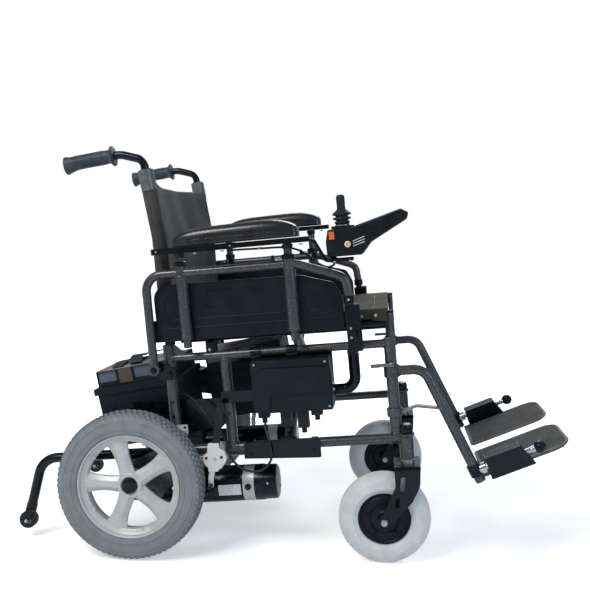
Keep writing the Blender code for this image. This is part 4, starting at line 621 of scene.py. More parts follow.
for s, size, towards in (
    (REAR_POST[0] + REAR_POST[1] / 2, RAIL_D, RAIL_N),
    (MID_POST[0] + MID_POST[1] / 2, RAIL_D, RAIL_N),
    (MID_POST[0] - MID_POST[1] / 2, RAIL_D, RAIL_N),
    (FRONT_POST[0] - FRONT_POST[1] / 2, RAIL_D, RAIL_N),
    (REAR_POST[0] + REAR_POST[1] / 2, TOP_RAIL_D, TOP_RAIL_N),
    (FRONT_POST[0] - FRONT_POST[1] / 2, TOP_RAIL_D, TOP_RAIL_N),
):
    weld(bm, (s, FRAME_Y, towards), (1, 0, 0), size)
weld(bm, (MID_POST[0], FRAME_Y, TOP_RAIL_N - TOP_RAIL_D / 2), (0, 0, 1), MID_POST[1])
weld(bm, (MID_POST[0], FRAME_Y, RAIL_N + RAIL_D / 2), (0, 0, 1), MID_POST[1])
weld(bm, (FRONT_POST[0], FRAME_Y, RAIL_N + RAIL_D / 2), (0, 0, 1), FRONT_POST[1])

# The caster housing, turned from bar, with a gloss cap pressed in over the bearing
housing = [
    (0.0090, 0.2123),
    (0.0148, 0.2123),
    (0.0155, 0.2131),
    (0.0155, 0.2600),
    (0.0185, 0.2626),
    (0.0190, 0.2636),
    (0.0190, 0.2668),
    (0.0182, 0.2676),
    (0.0090, 0.2676),
]
turned(bm, (STEM_S, FRAME_Y, 0), (0, 0, 1), housing, 36, hammered)
cap = [
    (0.0134, 0.2674),
    (0.0150, 0.2694),
    (0.0156, 0.2740),
    (0.0150, 0.2822),
    (0.0128, 0.2866),
    (0.0080, 0.2884),
    (0.0030, 0.2888),
]
turned(bm, (STEM_S, FRAME_Y, 0), (0, 0, 1), cap, 36, black)
weld(bm, (STEM_S - 0.0150, FRAME_Y, RAIL_N), (1, 0, 0), RAIL_D)

gusset = rounded(
    [
        (REAR_POST[0] + 0.004, 0.4685),
        (-0.2430, 0.4705),
        (-0.2450, 0.4745),
        (-0.2745, 0.5010),
        (REAR_POST[0] + 0.004, 0.5010),
    ],
    [0.001, 0.001, 0.003, 0.004, 0.001],
    3,
)
slab(bm, gusset, "y", FRAME_Y - 0.0032, FRAME_Y + 0.0032, hammered)

# Nylon saddles on the top rail, open upward, that the seat rails drop into
for s in (-0.1955, 0.1200):
    wall = [
        (0.2030, 0.4590),
        (FRAME_Y + 0.0072, 0.4590),
        (FRAME_Y + 0.0075, 0.4940),
        (0.2262, 0.4990),
        (0.2240, 0.4958),
        (0.2215, 0.4955),
        (0.2085, 0.4955),
        (0.2058, 0.4958),
        (0.2038, 0.4988),
        (0.2030, 0.4985),
    ]
    slab(bm, wall, "s", s, s + 0.0177, plastic, 0.0006, 1)
    screws(bm, [(s + 0.0088, FRAME_Y + 0.0082, 0.4790)], (0, 1, 0), 0.0078, 0.003, silver_bolts, 20)

# The channel that the arm's front leg drops into, folded from sheet, with its release catch
front = 0.149
for low, high in ((0.2400, 0.2455), (0.2815, 0.2855)):
    channel = rounded(
        [(0.1165, 0.4525), (front, 0.4525), (front, 0.5570), (0.1165, 0.5570)], 0.004, 3
    )
    if low > 0.26:
        channel = rounded(
            [(0.1180, 0.5030), (front, 0.5030), (front, 0.5570), (0.1180, 0.5570)], 0.004, 3
        )
    slab(bm, channel, "y", low, high, black)
block(bm, (0.1372, 0.2430, 0.5030), (front, 0.2840, 0.5570), black, 0.0015)
block(bm, (0.1180, 0.2430, 0.5030), (front, 0.2840, 0.5112), black, 0.0012)
slab(
    bm,
    rounded([(0.119, 0.480), (0.137, 0.480), (0.137, 0.516), (0.119, 0.516)], 0.0065),
    "y",
    0.2845,
    0.2892,
    plastic,
    0.0012,
)
screws(
    bm, [(0.128, 0.2898, 0.5085), (0.128, 0.2898, 0.4885)], (0, 1, 0), 0.0065, 0.0022, silver_bolts
)

# The black link plate on the rear post, and the arm's hinge pin with its domed washer
link = rounded(
    [
        (-0.3185, 0.4620),
        (-0.2960, 0.4620),
        (-0.2640, 0.4440),
        (-0.2640, 0.4200),
        (-0.2950, 0.4200),
        (-0.3185, 0.4360),
    ],
    0.007,
    5,
)
slab(bm, link, "y", 0.2535, 0.2593, black, 0.001)
rod(bm, (-0.2770, FRAME_Y, 0.4319), (-0.2770, 0.2630, 0.4319), 0.012, black)
screws(bm, [(-0.2770, 0.2648, 0.4319)], (0, 1, 0), 0.0125, 0.0055, black, 24)
rod(bm, (-0.3065, 0.2560, 0.4471), (-0.3065, 0.2858, 0.4471), 0.008, silver_bolts)
screws(bm, [(-0.3065, 0.2850, 0.4471)], (0, 1, 0), 0.0138, 0.0036, black, 24)

# Motor plate under the rail's end, laser cut, and the socket that the anti-tipper clamps in
plate = rounded(
    [
        (-0.405, 0.165),
        (-0.345, 0.140),
        (-0.2623, 0.215),
        (-0.2623, 0.262),
        (-0.330, 0.262),
        (-0.405, 0.232),
    ], 0.010, 5
)
slab(bm, plate, "y", 0.2323, 0.2383, hammered, 0.0008)
screws(
    bm,
    [
        (-0.395, 0.2398, 0.222),
        (-0.350, 0.2398, 0.228),
        (-0.350, 0.2398, 0.165),
        (-0.395, 0.2398, 0.175),
    ],
    (0, 1, 0),
    0.0115,
    0.0045,
    silver_bolts,
)
socket = [
    (0.0112, 0), (0.0128, 0), (0.0135, 0.0007), (0.0135, 0.0720), (0.0128, 0.0727), (0.0040, 0.0727)
]
turned(bm, (-0.3350, 0.215, 0.250), (1, 0, 0), socket, 32, hammered)
screws(
    bm, [(-0.318, 0.2288, 0.250), (-0.2925, 0.2288, 0.250)], (0, 1, 0), 0.009, 0.0035, silver_bolts
)

right_side = bm.copy()
for hand, mesh, rear in ((1, bm, (-0.2495, 0.2660)), (-1, right_side, (-0.4625, 0.2660))):
    # The battery tray: a pressed floor that leans with its box, and a wall with stiffening ribs
    lean = BOX_LEAN

    def on_tray(a, b):
        return (
            rear[0] + a * math.cos(lean) - b * math.sin(lean),
            rear[1] + a * math.sin(lean) + b * math.cos(lean),
        )

    floor_strip = [
        on_tray(0.004, -0.0033),
        on_tray(0.192, -0.0033),
        on_tray(0.192, -0.0003),
        on_tray(0.004, -0.0003),
    ]
    slab(mesh, floor_strip, "y", 0.030, 0.202, black, 0.0006)
    foot, back = on_tray(0.190, -0.0018), on_tray(0.075, -0.0018)
    ahead_s, behind_s = max(foot[0], MID_POST[0] + 0.006), min(back[0], -0.363)
    wall = [back, foot, (ahead_s, 0.307), (ahead_s, 0.362), (behind_s, 0.366), (behind_s, 0.307)]
    slab(mesh, wall, "y", 0.2005, 0.2035, black, 0.0006)
    for n in (0.3195, 0.3500):
        block(
            mesh,
            (behind_s + 0.012, 0.2030, n - 0.002),
            (ahead_s - 0.012, 0.2048, n + 0.002),
            black,
            0.0009,
        )
    for s in (REAR_POST[0], MID_POST[0]):
        block(mesh, (s - 0.006, 0.2020, 0.325), (s + 0.006, 0.2275, 0.345), black, 0.0008)
        screws(mesh, [(s, 0.2036, 0.3570)], (0, 1, 0), 0.008, 0.003, black)
finishes = [enamel, gloss_black, zinc, nylon]
piece("side_frame_shell_left", bm, finishes, "frame_left", ["side_frame_left"])
piece(
    "side_frame_shell_right",
    right_side,
    finishes,
    "frame_right",
    ["side_frame_right"],
    True,
)


# Scissor braces
# Two crossed arms of the same tube under the seat, each with a sleeve on one lower rail and the far
# seat rail welded to its top, and one shouldered bolt through both where they cross.
SEAT_RAIL = (0.215, 0.505, 0.022)
CROSSING_N = 0.3868
for hand, word in ((1, "left"), (-1, "right")):
    s = -0.030 if hand < 0 else 0.0
    bm = bmesh.new()
    foot = Vector((s, FRAME_Y, RAIL_N))
    head_end = Vector((s, -SEAT_RAIL[0], SEAT_RAIL[1]))
    rise_way = (head_end - foot).normalized()
    tube(bm, [foot + rise_way * 0.012, head_end - rise_way * 0.006], 0.025)
    sleeve = [
        (0.0113, 0),
        (0.0146, 0),
        (0.0155, 0.0009),
        (0.0155, 0.0341),
        (0.0146, 0.035),
        (0.0113, 0.035),
    ]
    turned(bm, (s - 0.0175, FRAME_Y, RAIL_N), (1, 0, 0), sleeve, 32, closed=True)
    weld(bm, foot + rise_way * 0.0165, rise_way, 0.025)
    weld(bm, head_end - rise_way * 0.012, rise_way, 0.025)
    tube(
        bm,
        [(-0.255, -SEAT_RAIL[0], SEAT_RAIL[1]), (0.200, -SEAT_RAIL[0], SEAT_RAIL[1])],
        SEAT_RAIL[2],
        1,
    )
    for s_end in (-0.2556, 0.1966):
        rod(
            bm,
            (s_end, -SEAT_RAIL[0], SEAT_RAIL[1]),
            (s_end + 0.004, -SEAT_RAIL[0], SEAT_RAIL[1]),
            0.0226,
            3,
            ease=0.0015,
        )
    if hand < 0:
        rod(bm, (s - 0.0185, 0, CROSSING_N), (0.0175, 0, CROSSING_N), 0.010, 2)
        rod(bm, (s, 0, CROSSING_N), (-0.0129, 0, CROSSING_N), 0.020, 3)
        screws(
            bm, [(0.0152, 0, CROSSING_N), (s - 0.0152, 0, CROSSING_N)], (1, 0, 0), 0.017, 0.0048, 2
        )
    for s_screw in (-0.235, -0.205, -0.120, -0.030, 0.060, 0.150, 0.180):
        screws(bm, [(s_screw, -0.2266, 0.5245)], (0, -1, 0.35), 0.0085, 0.0030, 2, 16)
    piece(
        f"brace_{word}",
        bm,
        [enamel, gloss_black, zinc, nylon],
        f"brace_{word}",
        [f"cross_brace_{word}"],
        hand < 0,
    )


# Back canes and handles
# Bent steel tubes that plug into the rear posts and carry the back cloth, gloss black where they turn
# over into the handles, with a grey moulded cap on each top and a ribbed vinyl grip pushed on.
CANE_S = -0.2765
HANDLE = ((-0.2955, 0.9045), (-0.3450, 0.9205), (-0.4650, 0.9103))
cane_line = bent(
    [(CANE_S, FRAME_Y, 0.4953), (CANE_S, FRAME_Y, 0.728), *[(s, FRAME_Y, n) for s, n in HANDLE]],
    (0.200, 0.022, 0.050),
    12,
)


def cane_at(n):
    """How far forward the cane's middle is at that height, below the handle."""
    for low, high in zip(cane_line, cane_line[1:]):
        if low.z <= n <= high.z:
            return low.x + (high.x - low.x) * (n - low.z) / (high.z - low.z)
    return cane_line[0].x


bm = bmesh.new()
top = Vector((cane_at(0.884), FRAME_Y, 0.884))
tube(bm, [p for p in cane_line if p.z < 0.884 and p.x > CANE_S - 0.018] + [top], 0.023, 0)
over = [Vector((cane_at(0.868), FRAME_Y, 0.868))]
tube(bm, over + [p for p in cane_line if p.z > 0.870], 0.018, 0)
rod(bm, (CANE_S, FRAME_Y, 0.470), (CANE_S, FRAME_Y, 0.500), 0.016, 0)
tab_top = Vector((cane_at(0.880), FRAME_Y, 0.880))
turned(
    bm,
    tab_top,
    (tab_top - Vector((cane_at(0.860), FRAME_Y, 0.860))),
    [(0.0118, -0.030), (0.0124, -0.028), (0.0124, -0.001), (0.0112, 0.003), (0.0092, 0.0045)],
    32,
    1,
)
screws(bm, [(cane_at(0.868) - 0.0005, FRAME_Y + 0.0128, 0.868)], (0, 1, 0), 0.0065, 0.0024, 2, 20)

# Grey gloss ABS, moulded: smooth enough to hold a soft highlight
grey_abs, tree, shader, place = new_finish("grey_gloss_abs")
smudge = noise(tree, place, 0.014, 4.0)
colour_by(tree, shader, smudge, 0.35, 0.7, "#55585b", "#6a6d70")
roughen(tree, shader, smudge, 0.22, 0.34)
two_sides("cane", bm, [gloss_black, grey_abs, zinc], "frame", "back_cane")

bm = bmesh.new()
grip_end = Vector((HANDLE[-1][0], FRAME_Y, HANDLE[-1][1]))
grip_way = (grip_end - Vector((HANDLE[-2][0], FRAME_Y, HANDLE[-2][1]))).normalized()
grip_start = grip_end - grip_way * 0.106
body_profile = [
    (0.0093, -0.0005),
    (0.0180, -0.0005),
    (0.0210, 0.0004),
    (0.0224, 0.0024),
    (0.0216, 0.0048),
    (0.0172, 0.0074),
    (0.0152, 0.0110),
    (0.0150, 0.0180),
    (0.0156, 0.0300),
    (0.0150, 0.0550),
    (0.0152, 0.0850),
    (0.0158, 0.1020),
    (0.0175, 0.1090),
    (0.0172, 0.1120),
    (0.0140, 0.1138),
    (0.0060, 0.1142),
]
grip_faces = turned(bm, grip_start, grip_way, body_profile, 40, 0)
square, _ = across(grip_way, (0, 0, 1))
for vertex in {v for f in grip_faces for v in f.verts}:
    offset = vertex.co - grip_start
    along = offset.dot(grip_way)
    under = -offset.dot(square)
    if 0.092 < along and under > 0.004:
        vertex.co -= square * 0.0045 * math.sin(min(1, (along - 0.092) / 0.018) * math.pi / 2)

# Ribs across the grip's top and finger side, set out in a row by one tree
ribs = bpy.data.node_groups.new("row_of_ribs", "GeometryNodeTree")
for title, kind in (
    ("Line", "NodeSocketGeometry"),
    ("Spacing", "NodeSocketFloat"),
    ("Size", "NodeSocketVector"),
    ("Finish", "NodeSocketMaterial"),
):
    ribs.interface.new_socket(title, in_out="INPUT", socket_type=kind)
ribs.interface.new_socket("Ribs", in_out="OUTPUT", socket_type="NodeSocketGeometry")
given = add(ribs, "NodeGroupInput").outputs
line = add(ribs, "GeometryNodeMeshToCurve", {0: given["Line"]})
even = add(
    ribs,
    "GeometryNodeResampleCurve",
    {"Curve": line.outputs[0], "Length": given["Spacing"]},
    mode="LENGTH",
)
rib = add(ribs, "GeometryNodeMeshCube", {"Size": given["Size"]})
heading = add(ribs, "GeometryNodeInputTangent")
to_line = add(ribs, "FunctionNodeAlignRotationToVector", {"Vector": heading.outputs[0]}, axis="X")
aim = add(ribs, "GeometryNodeInputNamedAttribute", {"Name": "aim"}, data_type="FLOAT_VECTOR")
to_face = add(
    ribs,
    "FunctionNodeAlignRotationToVector",
    {"Rotation": to_line.outputs[0], "Vector": aim.outputs[0]},
    axis="Z",
    pivot_axis="X",
)
set_out = add(
    ribs,
    "GeometryNodeInstanceOnPoints",
    {"Points": even.outputs[0], "Instance": rib.outputs["Mesh"], "Rotation": to_face.outputs[0]},
)
real = add(ribs, "GeometryNodeRealizeInstances", {0: set_out.outputs[0]})
dressed = add(
    ribs, "GeometryNodeSetMaterial", {"Geometry": real.outputs[0], "Material": given["Finish"]}
)
add(ribs, "NodeGroupOutput", {0: dressed.outputs[0]})


def row(bm, route, aim, spacing, size, look=0):
    """Ribs or stitches of that (along, across, high) size, evenly spaced, with their tops along aim."""
    carrier = bpy.data.meshes.new("route")
    places = [tuple(p) for p in route]
    carrier.from_pydata(places, [(i, i + 1) for i in range(len(places) - 1)], [])
    facing = carrier.attributes.new("aim", "FLOAT_VECTOR", "POINT")
    aims = aim if isinstance(aim, list) else [aim] * len(places)
    facing.data.foreach_set("vector", [c for a in aims for c in Vector(a).normalized()])
    gather(bm, grown(ribs, carrier, {"Spacing": spacing, "Size": size, "Finish": nylon}), look)


for angle in range(-60, 241, 15):
    out_way = square * math.cos(math.radians(angle - 90)) + grip_way.cross(square) * math.sin(
        math.radians(angle - 90)
    )
    route = [grip_start + grip_way * h + out_way * 0.0152 for h in (0.024, 0.050, 0.090)]
    row(bm, route, tuple(out_way), 0.0042, (0.0022, 0.0032, 0.0016), 0)

# Blue-black vinyl, dipped over the tube: slightly soft, matt from handling
grip_vinyl, tree, shader, place = new_finish("blue_black_dipped_vinyl")
wear = noise(tree, place, 0.012, 5.0)
fine = noise(tree, place, 0.0014, 2.0)
colour_by(tree, shader, wear, 0.35, 0.7, "#262d35", "#39424b")
shader.inputs["Roughness"].default_value = 0.55
shader.inputs["Sheen Weight"].default_value = 0.15
dent(tree, shader, fine.outputs[0], 0.3, 0.0003)
two_sides("grip", bm, [grip_vinyl], "frame", "push_grip", 50)


# Back cloth
# One width of coated nylon canvas, wrapped round each cane and sewn back on itself, so it hangs slack
# between them. Its top edge is turned over and sewn, and dips where people lift the chair by it.
BACK_LOW, BACK_HIGH = 0.560, 0.8558
WRAP = 0.0150


def back_point(way, n, share):
    """A place on the cloth at that height; way runs from -1 to 1, with each cane's wrap in its last third."""
    side = -1 if way < 0 else 1
    leave = math.radians(13.5)
    flat_half = FRAME_Y - WRAP * math.sin(leave)
    if abs(way) > 0.66:
        angle = leave - math.radians(290) * (abs(way) - 0.66) / 0.34
        bulge = 0.0006 * math.sin(9 * angle + 40 * n)
        radius = WRAP + bulge
        return Vector(
            (cane_at(n) + radius * math.cos(angle), side * (FRAME_Y - radius * math.sin(angle)), n)
        )
    y = flat_half * way / 0.66
    slack = 1 - (y / flat_half) ** 2
    here = n - 0.005 * slack * share**3
    crease = 0.0022 * math.sin(9.4 * y / FRAME_Y + 2.0) * slack * share
    crease += 0.0011 * math.sin(38 * y + 19 * n) * slack
    pull = 0.0016 * math.sin(70 * n) * math.exp(-(((abs(y) - 0.205) / 0.030) ** 2))
    welt = 0.0013 * math.exp(-(((abs(y) - 0.203) / 0.0035) ** 2))
    s = cane_at(here) + WRAP * math.cos(leave) - 0.028 * slack * (0.6 + 0.4 * share)
    return Vector((s + crease + pull + welt, y, here))


def cloth(rows):
    """A mesh with a face between each four neighbouring points."""
    mesh = bmesh.new()
    loops = [[mesh.verts.new(point) for point in row_points] for row_points in rows]
    for low, high in zip(loops, loops[1:]):
        for i in range(len(low) - 1):
            mesh.faces.new((low[i], low[i + 1], high[i + 1], high[i]))
    return mesh


def woven(name, dark, light, pitch, rough, sheen):
    """Canvas: crossing yarns as bumps, with the coating's slow change of colour and a grey bloom."""
    made, tree, shader, place = new_finish(name)
    crossing = []
    for direction in ("X", "Y", "Z"):
        yarn = add(
            tree,
            "ShaderNodeTexWave",
            {"Vector": place, "Scale": 1 / (pitch * 6.4), "Distortion": 0.6, "Detail Scale": 4.0},
            bands_direction=direction,
        )
        crossing.append(yarn.outputs["Fac"])
    pair = add(tree, "ShaderNodeMath", {0: crossing[0], 1: crossing[1]}, operation="MAXIMUM")
    weave = add(tree, "ShaderNodeMath", {0: pair.outputs[0], 1: crossing[2]}, operation="ADD")
    cloud = noise(tree, place, 0.055, 4.0)
    speck = noise(tree, place, 0.0024, 2.0)
    share = add(
        tree,
        "ShaderNodeMath",
        {
            0: spread(tree, cloud.outputs[0], 0.32, 0.72, 0, 0.75),
            1: spread(tree, speck.outputs[0], 0.35, 0.7, 0, 0.25),
        },
        operation="ADD",
    )
    tree.links.new(blended(tree, share.outputs[0], dark, light), shader.inputs["Base Color"])
    tree.links.new(
        spread(tree, cloud.outputs[0], 0.3, 0.7, rough - 0.08, rough + 0.08),
        shader.inputs["Roughness"],
    )
    shader.inputs["Specular IOR Level"].default_value = 0.06
    shader.inputs["Sheen Weight"].default_value = sheen
    shader.inputs["Sheen Roughness"].default_value = 0.45
    relief = add(
        tree, "ShaderNodeBump", {"Height": weave.outputs[0], "Strength": 0.22, "Distance": 0.0003}
    )
    tree.links.new(relief.outputs[0], shader.inputs["Normal"])
    return made


# The weave is about 0.5 mm a yarn; drawn at 1.3 mm so that it still breaks the light at this distance
charcoal = woven("charcoal_nylon_canvas", "#3a3838", "#504f4d", 0.0013, 0.66, 0.12)
# The width between the canes folds up with the chair, and each wrap stays on its own cane
for name, body, first, last, steps, nodes in (
    ("back_cloth", "frame_right", -0.66, 0.66, 104, ["back_sling"]),
    ("back_cloth_wrap_right", "frame_right", -1.0, -0.66, 30, []),
    ("back_cloth_wrap_left", "frame_left", 0.66, 1.0, 30, []),
):
    rows = []
    for i in range(53):
        share = i / 52
        n = BACK_LOW + (BACK_HIGH - 0.001 - BACK_LOW) * share
        rows.append(
            [back_point(first + (last - first) * k / steps, n, share) for k in range(steps + 1)]
        )
    bm = cloth(rows)
    bmesh.ops.recalc_face_normals(bm, faces=bm.faces)
    made = piece(name, bm, [charcoal], body, nodes, sharp=180)
    made.modifiers.clear()
    thick = made.modifiers.new("cloth_thickness", "SOLIDIFY")
    thick.thickness = 0.0019
    thick.offset = 0
    if nodes:
        back_cloth = made
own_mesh(back_cloth)

# Its stitches: down both sides of each sewn wrap, and along the turned top and bottom edges
bm = bmesh.new()
for side in (-1, 1):
    for edge in (0.1975, 0.2085):
        way = side * 0.66 * edge / (FRAME_Y - 0.0035)
        route = []
        for k in range(31):
            share = k / 30
            n = BACK_LOW + 0.004 + (BACK_HIGH - 0.010 - BACK_LOW) * share
            route.append(back_point(way, n, share) + Vector((0.0012, 0, 0)))
        row(bm, route, (1, 0, -0.1), 0.0048, (0.0030, 0.0008, 0.0006))
for low in (0.0, 0.945):
    n = BACK_LOW + (BACK_HIGH - 0.001 - BACK_LOW) * low + (0.014 if low == 0 else 0)
    share = (n - BACK_LOW) / (BACK_HIGH - 0.001 - BACK_LOW)
    route = [
        back_point(-0.56 + 1.12 * k / 60, n, share) + Vector((0.0012, 0, 0)) for k in range(61)
    ]
    row(bm, route, (1, 0, -0.1), 0.0048, (0.0030, 0.0008, 0.0006))
# Bonded polyester thread, a shade lighter than the cloth, which shows as a fine broken line
thread, tree, shader, place = new_finish("bonded_polyester_thread")
lay = noise(tree, place, 0.010, 3.0)
tree.links.new(blended(tree, lay.outputs[0], "#5f5e5e", "#7c7a78"), shader.inputs["Base Color"])
shader.inputs["Roughness"].default_value = 0.55
shader.inputs["Sheen Weight"].default_value = 0.3
back_stitches = piece("back_cloth_stitches", bm, [thread], "frame_right", [])
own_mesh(back_stitches)

# Grey sleeves over the tops of both wraps
bm = bmesh.new()
way_up = Vector((cane_at(0.882) - cane_at(0.840), 0, 0.042)).normalized()
sleeve = [
    (0.0118, -0.046),
    (0.0166, -0.046),
    (0.0171, -0.0452),
    (0.0171, -0.0010),
    (0.0164, 0),
    (0.0118, 0.0003),
]
turned(bm, (cane_at(0.882), FRAME_Y, 0.882), way_up, sleeve, 40, 0)
edge = [
    Vector((cane_at(n) + 0.0169, FRAME_Y + y, n))
    for y, n in ((-0.0065, 0.8410), (-0.0065, 0.8785), (0.0065, 0.8785), (0.0065, 0.8410))
]
for start, end in zip(edge, edge[1:] + edge[:1]):
    row(bm, [start, end], (1, 0, 0.1), 0.0036, (0.0022, 0.0007, 0.0008), 1)
two_sides("cane_sleeve", bm, [grey_abs, thread], "frame", [])


# Seat cloth
# Two layers of olive-grey coated nylon, screwed along a rail on each side and slack between them, so
# the front edge shows the cloth's own thickness and the line where its hem is turned under.
SEAT_S = (-0.2535, 0.2066)
HEM_N = 0.5392


def seat_point(way, share):
    """A place on the top of the cloth: way runs across it from -1 to 1, share from the rear to the front."""
    s = SEAT_S[0] + (SEAT_S[1] - SEAT_S[0]) * share
    side = -1 if way < 0 else 1
    reach = SEAT_RAIL[0] + 0.0112
    if abs(way) > 0.80:
        drop = (abs(way) - 0.80) / 0.20
        bend_way = min(1, drop / 0.45) * math.pi / 2
        y = reach - 0.0085 + 0.0085 * math.sin(bend_way)
        n = HEM_N - 0.0002 - 0.0085 * (1 - math.cos(bend_way)) - 0.0125 * max(
            0, (drop - 0.45) / 0.55
        )
        return Vector((s, side * y, n))
    y = (reach - 0.0085) * way / 0.80
    hollow = max(0.0, 1 - (abs(y) / (SEAT_RAIL[0] - 0.012)) ** 2)
    droop = 1 - 0.35 * (2 * share - 1) ** 2
    crease = 0.0014 * math.sin(15.7 * y / reach + 3 * share) * hollow
    pucker = 0.0012 * math.sin(2 * math.pi * s / 0.070) * math.exp(
        -(((abs(y) - 0.195) / 0.016) ** 2)
    )
    seam = -0.0009 * math.exp(-(((share - 0.93) / 0.006) ** 2))
    roll = -0.0030 * max(
        0, (share - 0.985) / 0.015
    ) ** 2 - 0.0030 * max(0, (0.015 - share) / 0.015) ** 2
    return Vector((s, y, HEM_N - 0.024 * droop * hollow + crease + pucker + seam + roll))


# Olive-grey coated nylon; the weave is drawn at 1.4 mm, coarser than it is, so that it shows
olive = woven("olive_nylon_canvas", "#3a3930", "#4c4a3f", 0.0014, 0.70, 0.05)
steps = [0, 0.004, 0.010, 0.018, *[0.03 + 0.94 * i / 40 for i in range(41)], 0.982, 0.990, 0.996, 1]
bm = cloth([[seat_point(-1 + 2 * k / 96, share) for k in range(97)] for share in steps])
for vertex in [v for v in bm.verts if v.is_boundary]:
    if vertex.co.x > SEAT_S[1] - 0.0005 or vertex.co.x < SEAT_S[0] + 0.0005:
        vertex.co.z -= 0.0010
line = [e for e in bm.edges if e.is_boundary and all(v.co.x > SEAT_S[1] - 0.0005 for v in e.verts)]
for back, down, hollow in ((-0.0012, -0.0070, -0.0050), (-0.0350, 0.0040, 0.0)):
    made = bmesh.ops.extrude_edge_only(bm, edges=line)["geom"]
    fresh = {g for g in made if isinstance(g, bmesh.types.BMVert)}
    for vertex in fresh:
        vertex.co += Vector((back, 0, down + hollow * max(0, 1 - (abs(vertex.co.y) / 0.19) ** 2)))
    line = [e for e in bm.edges if e.is_boundary and all(v in fresh for v in e.verts)]
bmesh.ops.recalc_face_normals(bm, faces=bm.faces)
seat_cloth = piece("seat_cloth", bm, [olive], None, ["seat_sling"], sharp=180)
seat_cloth.modifiers.clear()
thick = seat_cloth.modifiers.new("cloth_thickness", "SOLIDIFY")
thick.thickness = 0.0018
thick.offset = -1
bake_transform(seat_cloth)

bm = bmesh.new()
for share in (0.925, 0.075):
    route = [seat_point(-0.78 + 1.56 * k / 60, share) + Vector((0, 0, 0.0002)) for k in range(61)]
    row(bm, route, (0, 0, 1), 0.0048, (0.0032, 0.0009, 0.0006))
for side in (-1, 1):
    route = [
        seat_point(side * 0.70, 0.02 + 0.96 * k / 40) + Vector((0, 0, 0.0002)) for k in range(41)
    ]
    row(bm, route, (0, 0, 1), 0.0048, (0.0032, 0.0009, 0.0006))
seat_stitches = piece("seat_cloth_stitches", bm, [thread], None, [])
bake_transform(seat_stitches)


# Arms
# A hoop of hammered tube on each side that hinges on the rear post, drops into a channel at the front
# and carries two clamped outer posts and the side panel.
ARM_Y = 0.2735
REST_POSTS = ((-0.2265, 0.0244, 0.5075, 0.6770), (0.008, 0.0270, 0.5106, 0.6736))
bm = bmesh.new()
hoop = bent(
    [
        (-0.3065, ARM_Y, 0.4376),
        (-0.3065, ARM_Y, 0.6525),
        (0.020, ARM_Y, 0.6525),
        (0.124, ARM_Y, 0.6150),
        (0.128, ARM_Y, 0.574),
    ],
    (0.036, 0.080, 0.026),
    9,
)
tube(bm, hoop, 0.019, 0)
tube(bm, [(0.128, ARM_Y, 0.578), (0.128, ARM_Y, 0.512)], 0.015, 0)
turned(
    bm,
    (0.128, ARM_Y, 0.560),
    (0, 0, 1),
    [
        (0.0070, 0),
        (0.0108, 0),
        (0.0115, 0.0008),
        (0.0115, 0.0152),
        (0.0108, 0.016),
        (0.0070, 0.016),
    ],
    32,
    1,
)
screws(bm, [(0.128, ARM_Y + 0.0120, 0.568)], (0, 1, 0), 0.0066, 0.0030, 2, 20)
turned(
    bm,
    (-0.3065, ARM_Y - 0.0078, 0.4471),
    (0, 1, 0),
    [
        (0.0055, 0),
        (0.0125, 0),
        (0.0131, 0.0006),
        (0.0131, 0.0150),
        (0.0125, 0.0156),
        (0.0055, 0.0156),
    ],
    32,
    0,
)
for s, size, low, high in REST_POSTS:
    outer = size / 2
    wall = [
        (0.0094, low),
        (outer - 0.0008, low),
        (outer, low + 0.0008),
        (outer, high - 0.0100),
        (outer - 0.0008, high - 0.0092),
        (0.0094, high - 0.0092),
    ]
    turned(bm, (s, ARM_Y, 0), (0, 0, 1), wall, 36, 0, True)
    # The nylon bush in the post's mouth, and the black clamp with its two bolts below it
    bush = [
        (0.0094, high - 0.0200),
        (outer + 0.0004, high - 0.0100),
        (outer + 0.0008, high - 0.0090),
        (outer + 0.0008, high - 0.0012),
        (outer - 0.0006, high),
        (0.0094, high),
    ]
    turned(bm, (s, ARM_Y, 0), (0, 0, 1), bush, 36, 1, True)
    block(
        bm,
        (s - 0.0100, ARM_Y - outer - 0.0040, high - 0.0310),
        (s + 0.0100, ARM_Y - 0.0060, high - 0.0125),
        1,
        0.0018,
    )
    screws(
        bm,
        [(s - 0.004, ARM_Y - outer - 0.0052, high - n) for n in (0.0175, 0.0262)],
        (0, -1, 0),
        0.0070,
        0.0030,
        2,
    )
    weld(bm, (s, ARM_Y, 0.6525 - 0.0075), (0, 0, 1), size)
s, size, low, high = REST_POSTS[1]
rod(bm, (s - 0.010, ARM_Y, high - 0.010), (s - 0.0305, ARM_Y, high - 0.010), 0.008, 2)
turned(
    bm,
    (s - 0.0360, ARM_Y, high - 0.010),
    (1, 0, 0),
    [
        (0.0040, 0),
        (0.0088, 0.0002),
        (0.0100, 0.0012),
        (0.0100, 0.0050),
        (0.0088, 0.0062),
        (0.0040, 0.0066),
    ],
    28,
    3,
)
two_sides("arm_hoop", bm, [enamel, gloss_black, zinc, nylon], "arm", "arm_frame")

# The panel is one moulding: a bare oval recess, with raised lines that follow its edges
PANEL_FACE = 0.2595
edge_line = rounded(
    [
        (-0.308, 0.504),
        (0.114, 0.504),
        (0.114, 0.574),
        (0.098, 0.606),
        (0.027, 0.627),
        (-0.2965, 0.629),
        (-0.2965, 0.551),
        (-0.308, 0.551),
    ],
    [0.003, 0.012, 0.020, 0.016, 0.040, 0.032, 0.002, 0.004],
    6,
)
oval = rounded([(-0.184, 0.571), (-0.046, 0.571), (-0.046, 0.609), (-0.184, 0.609)], 0.0185, 9)


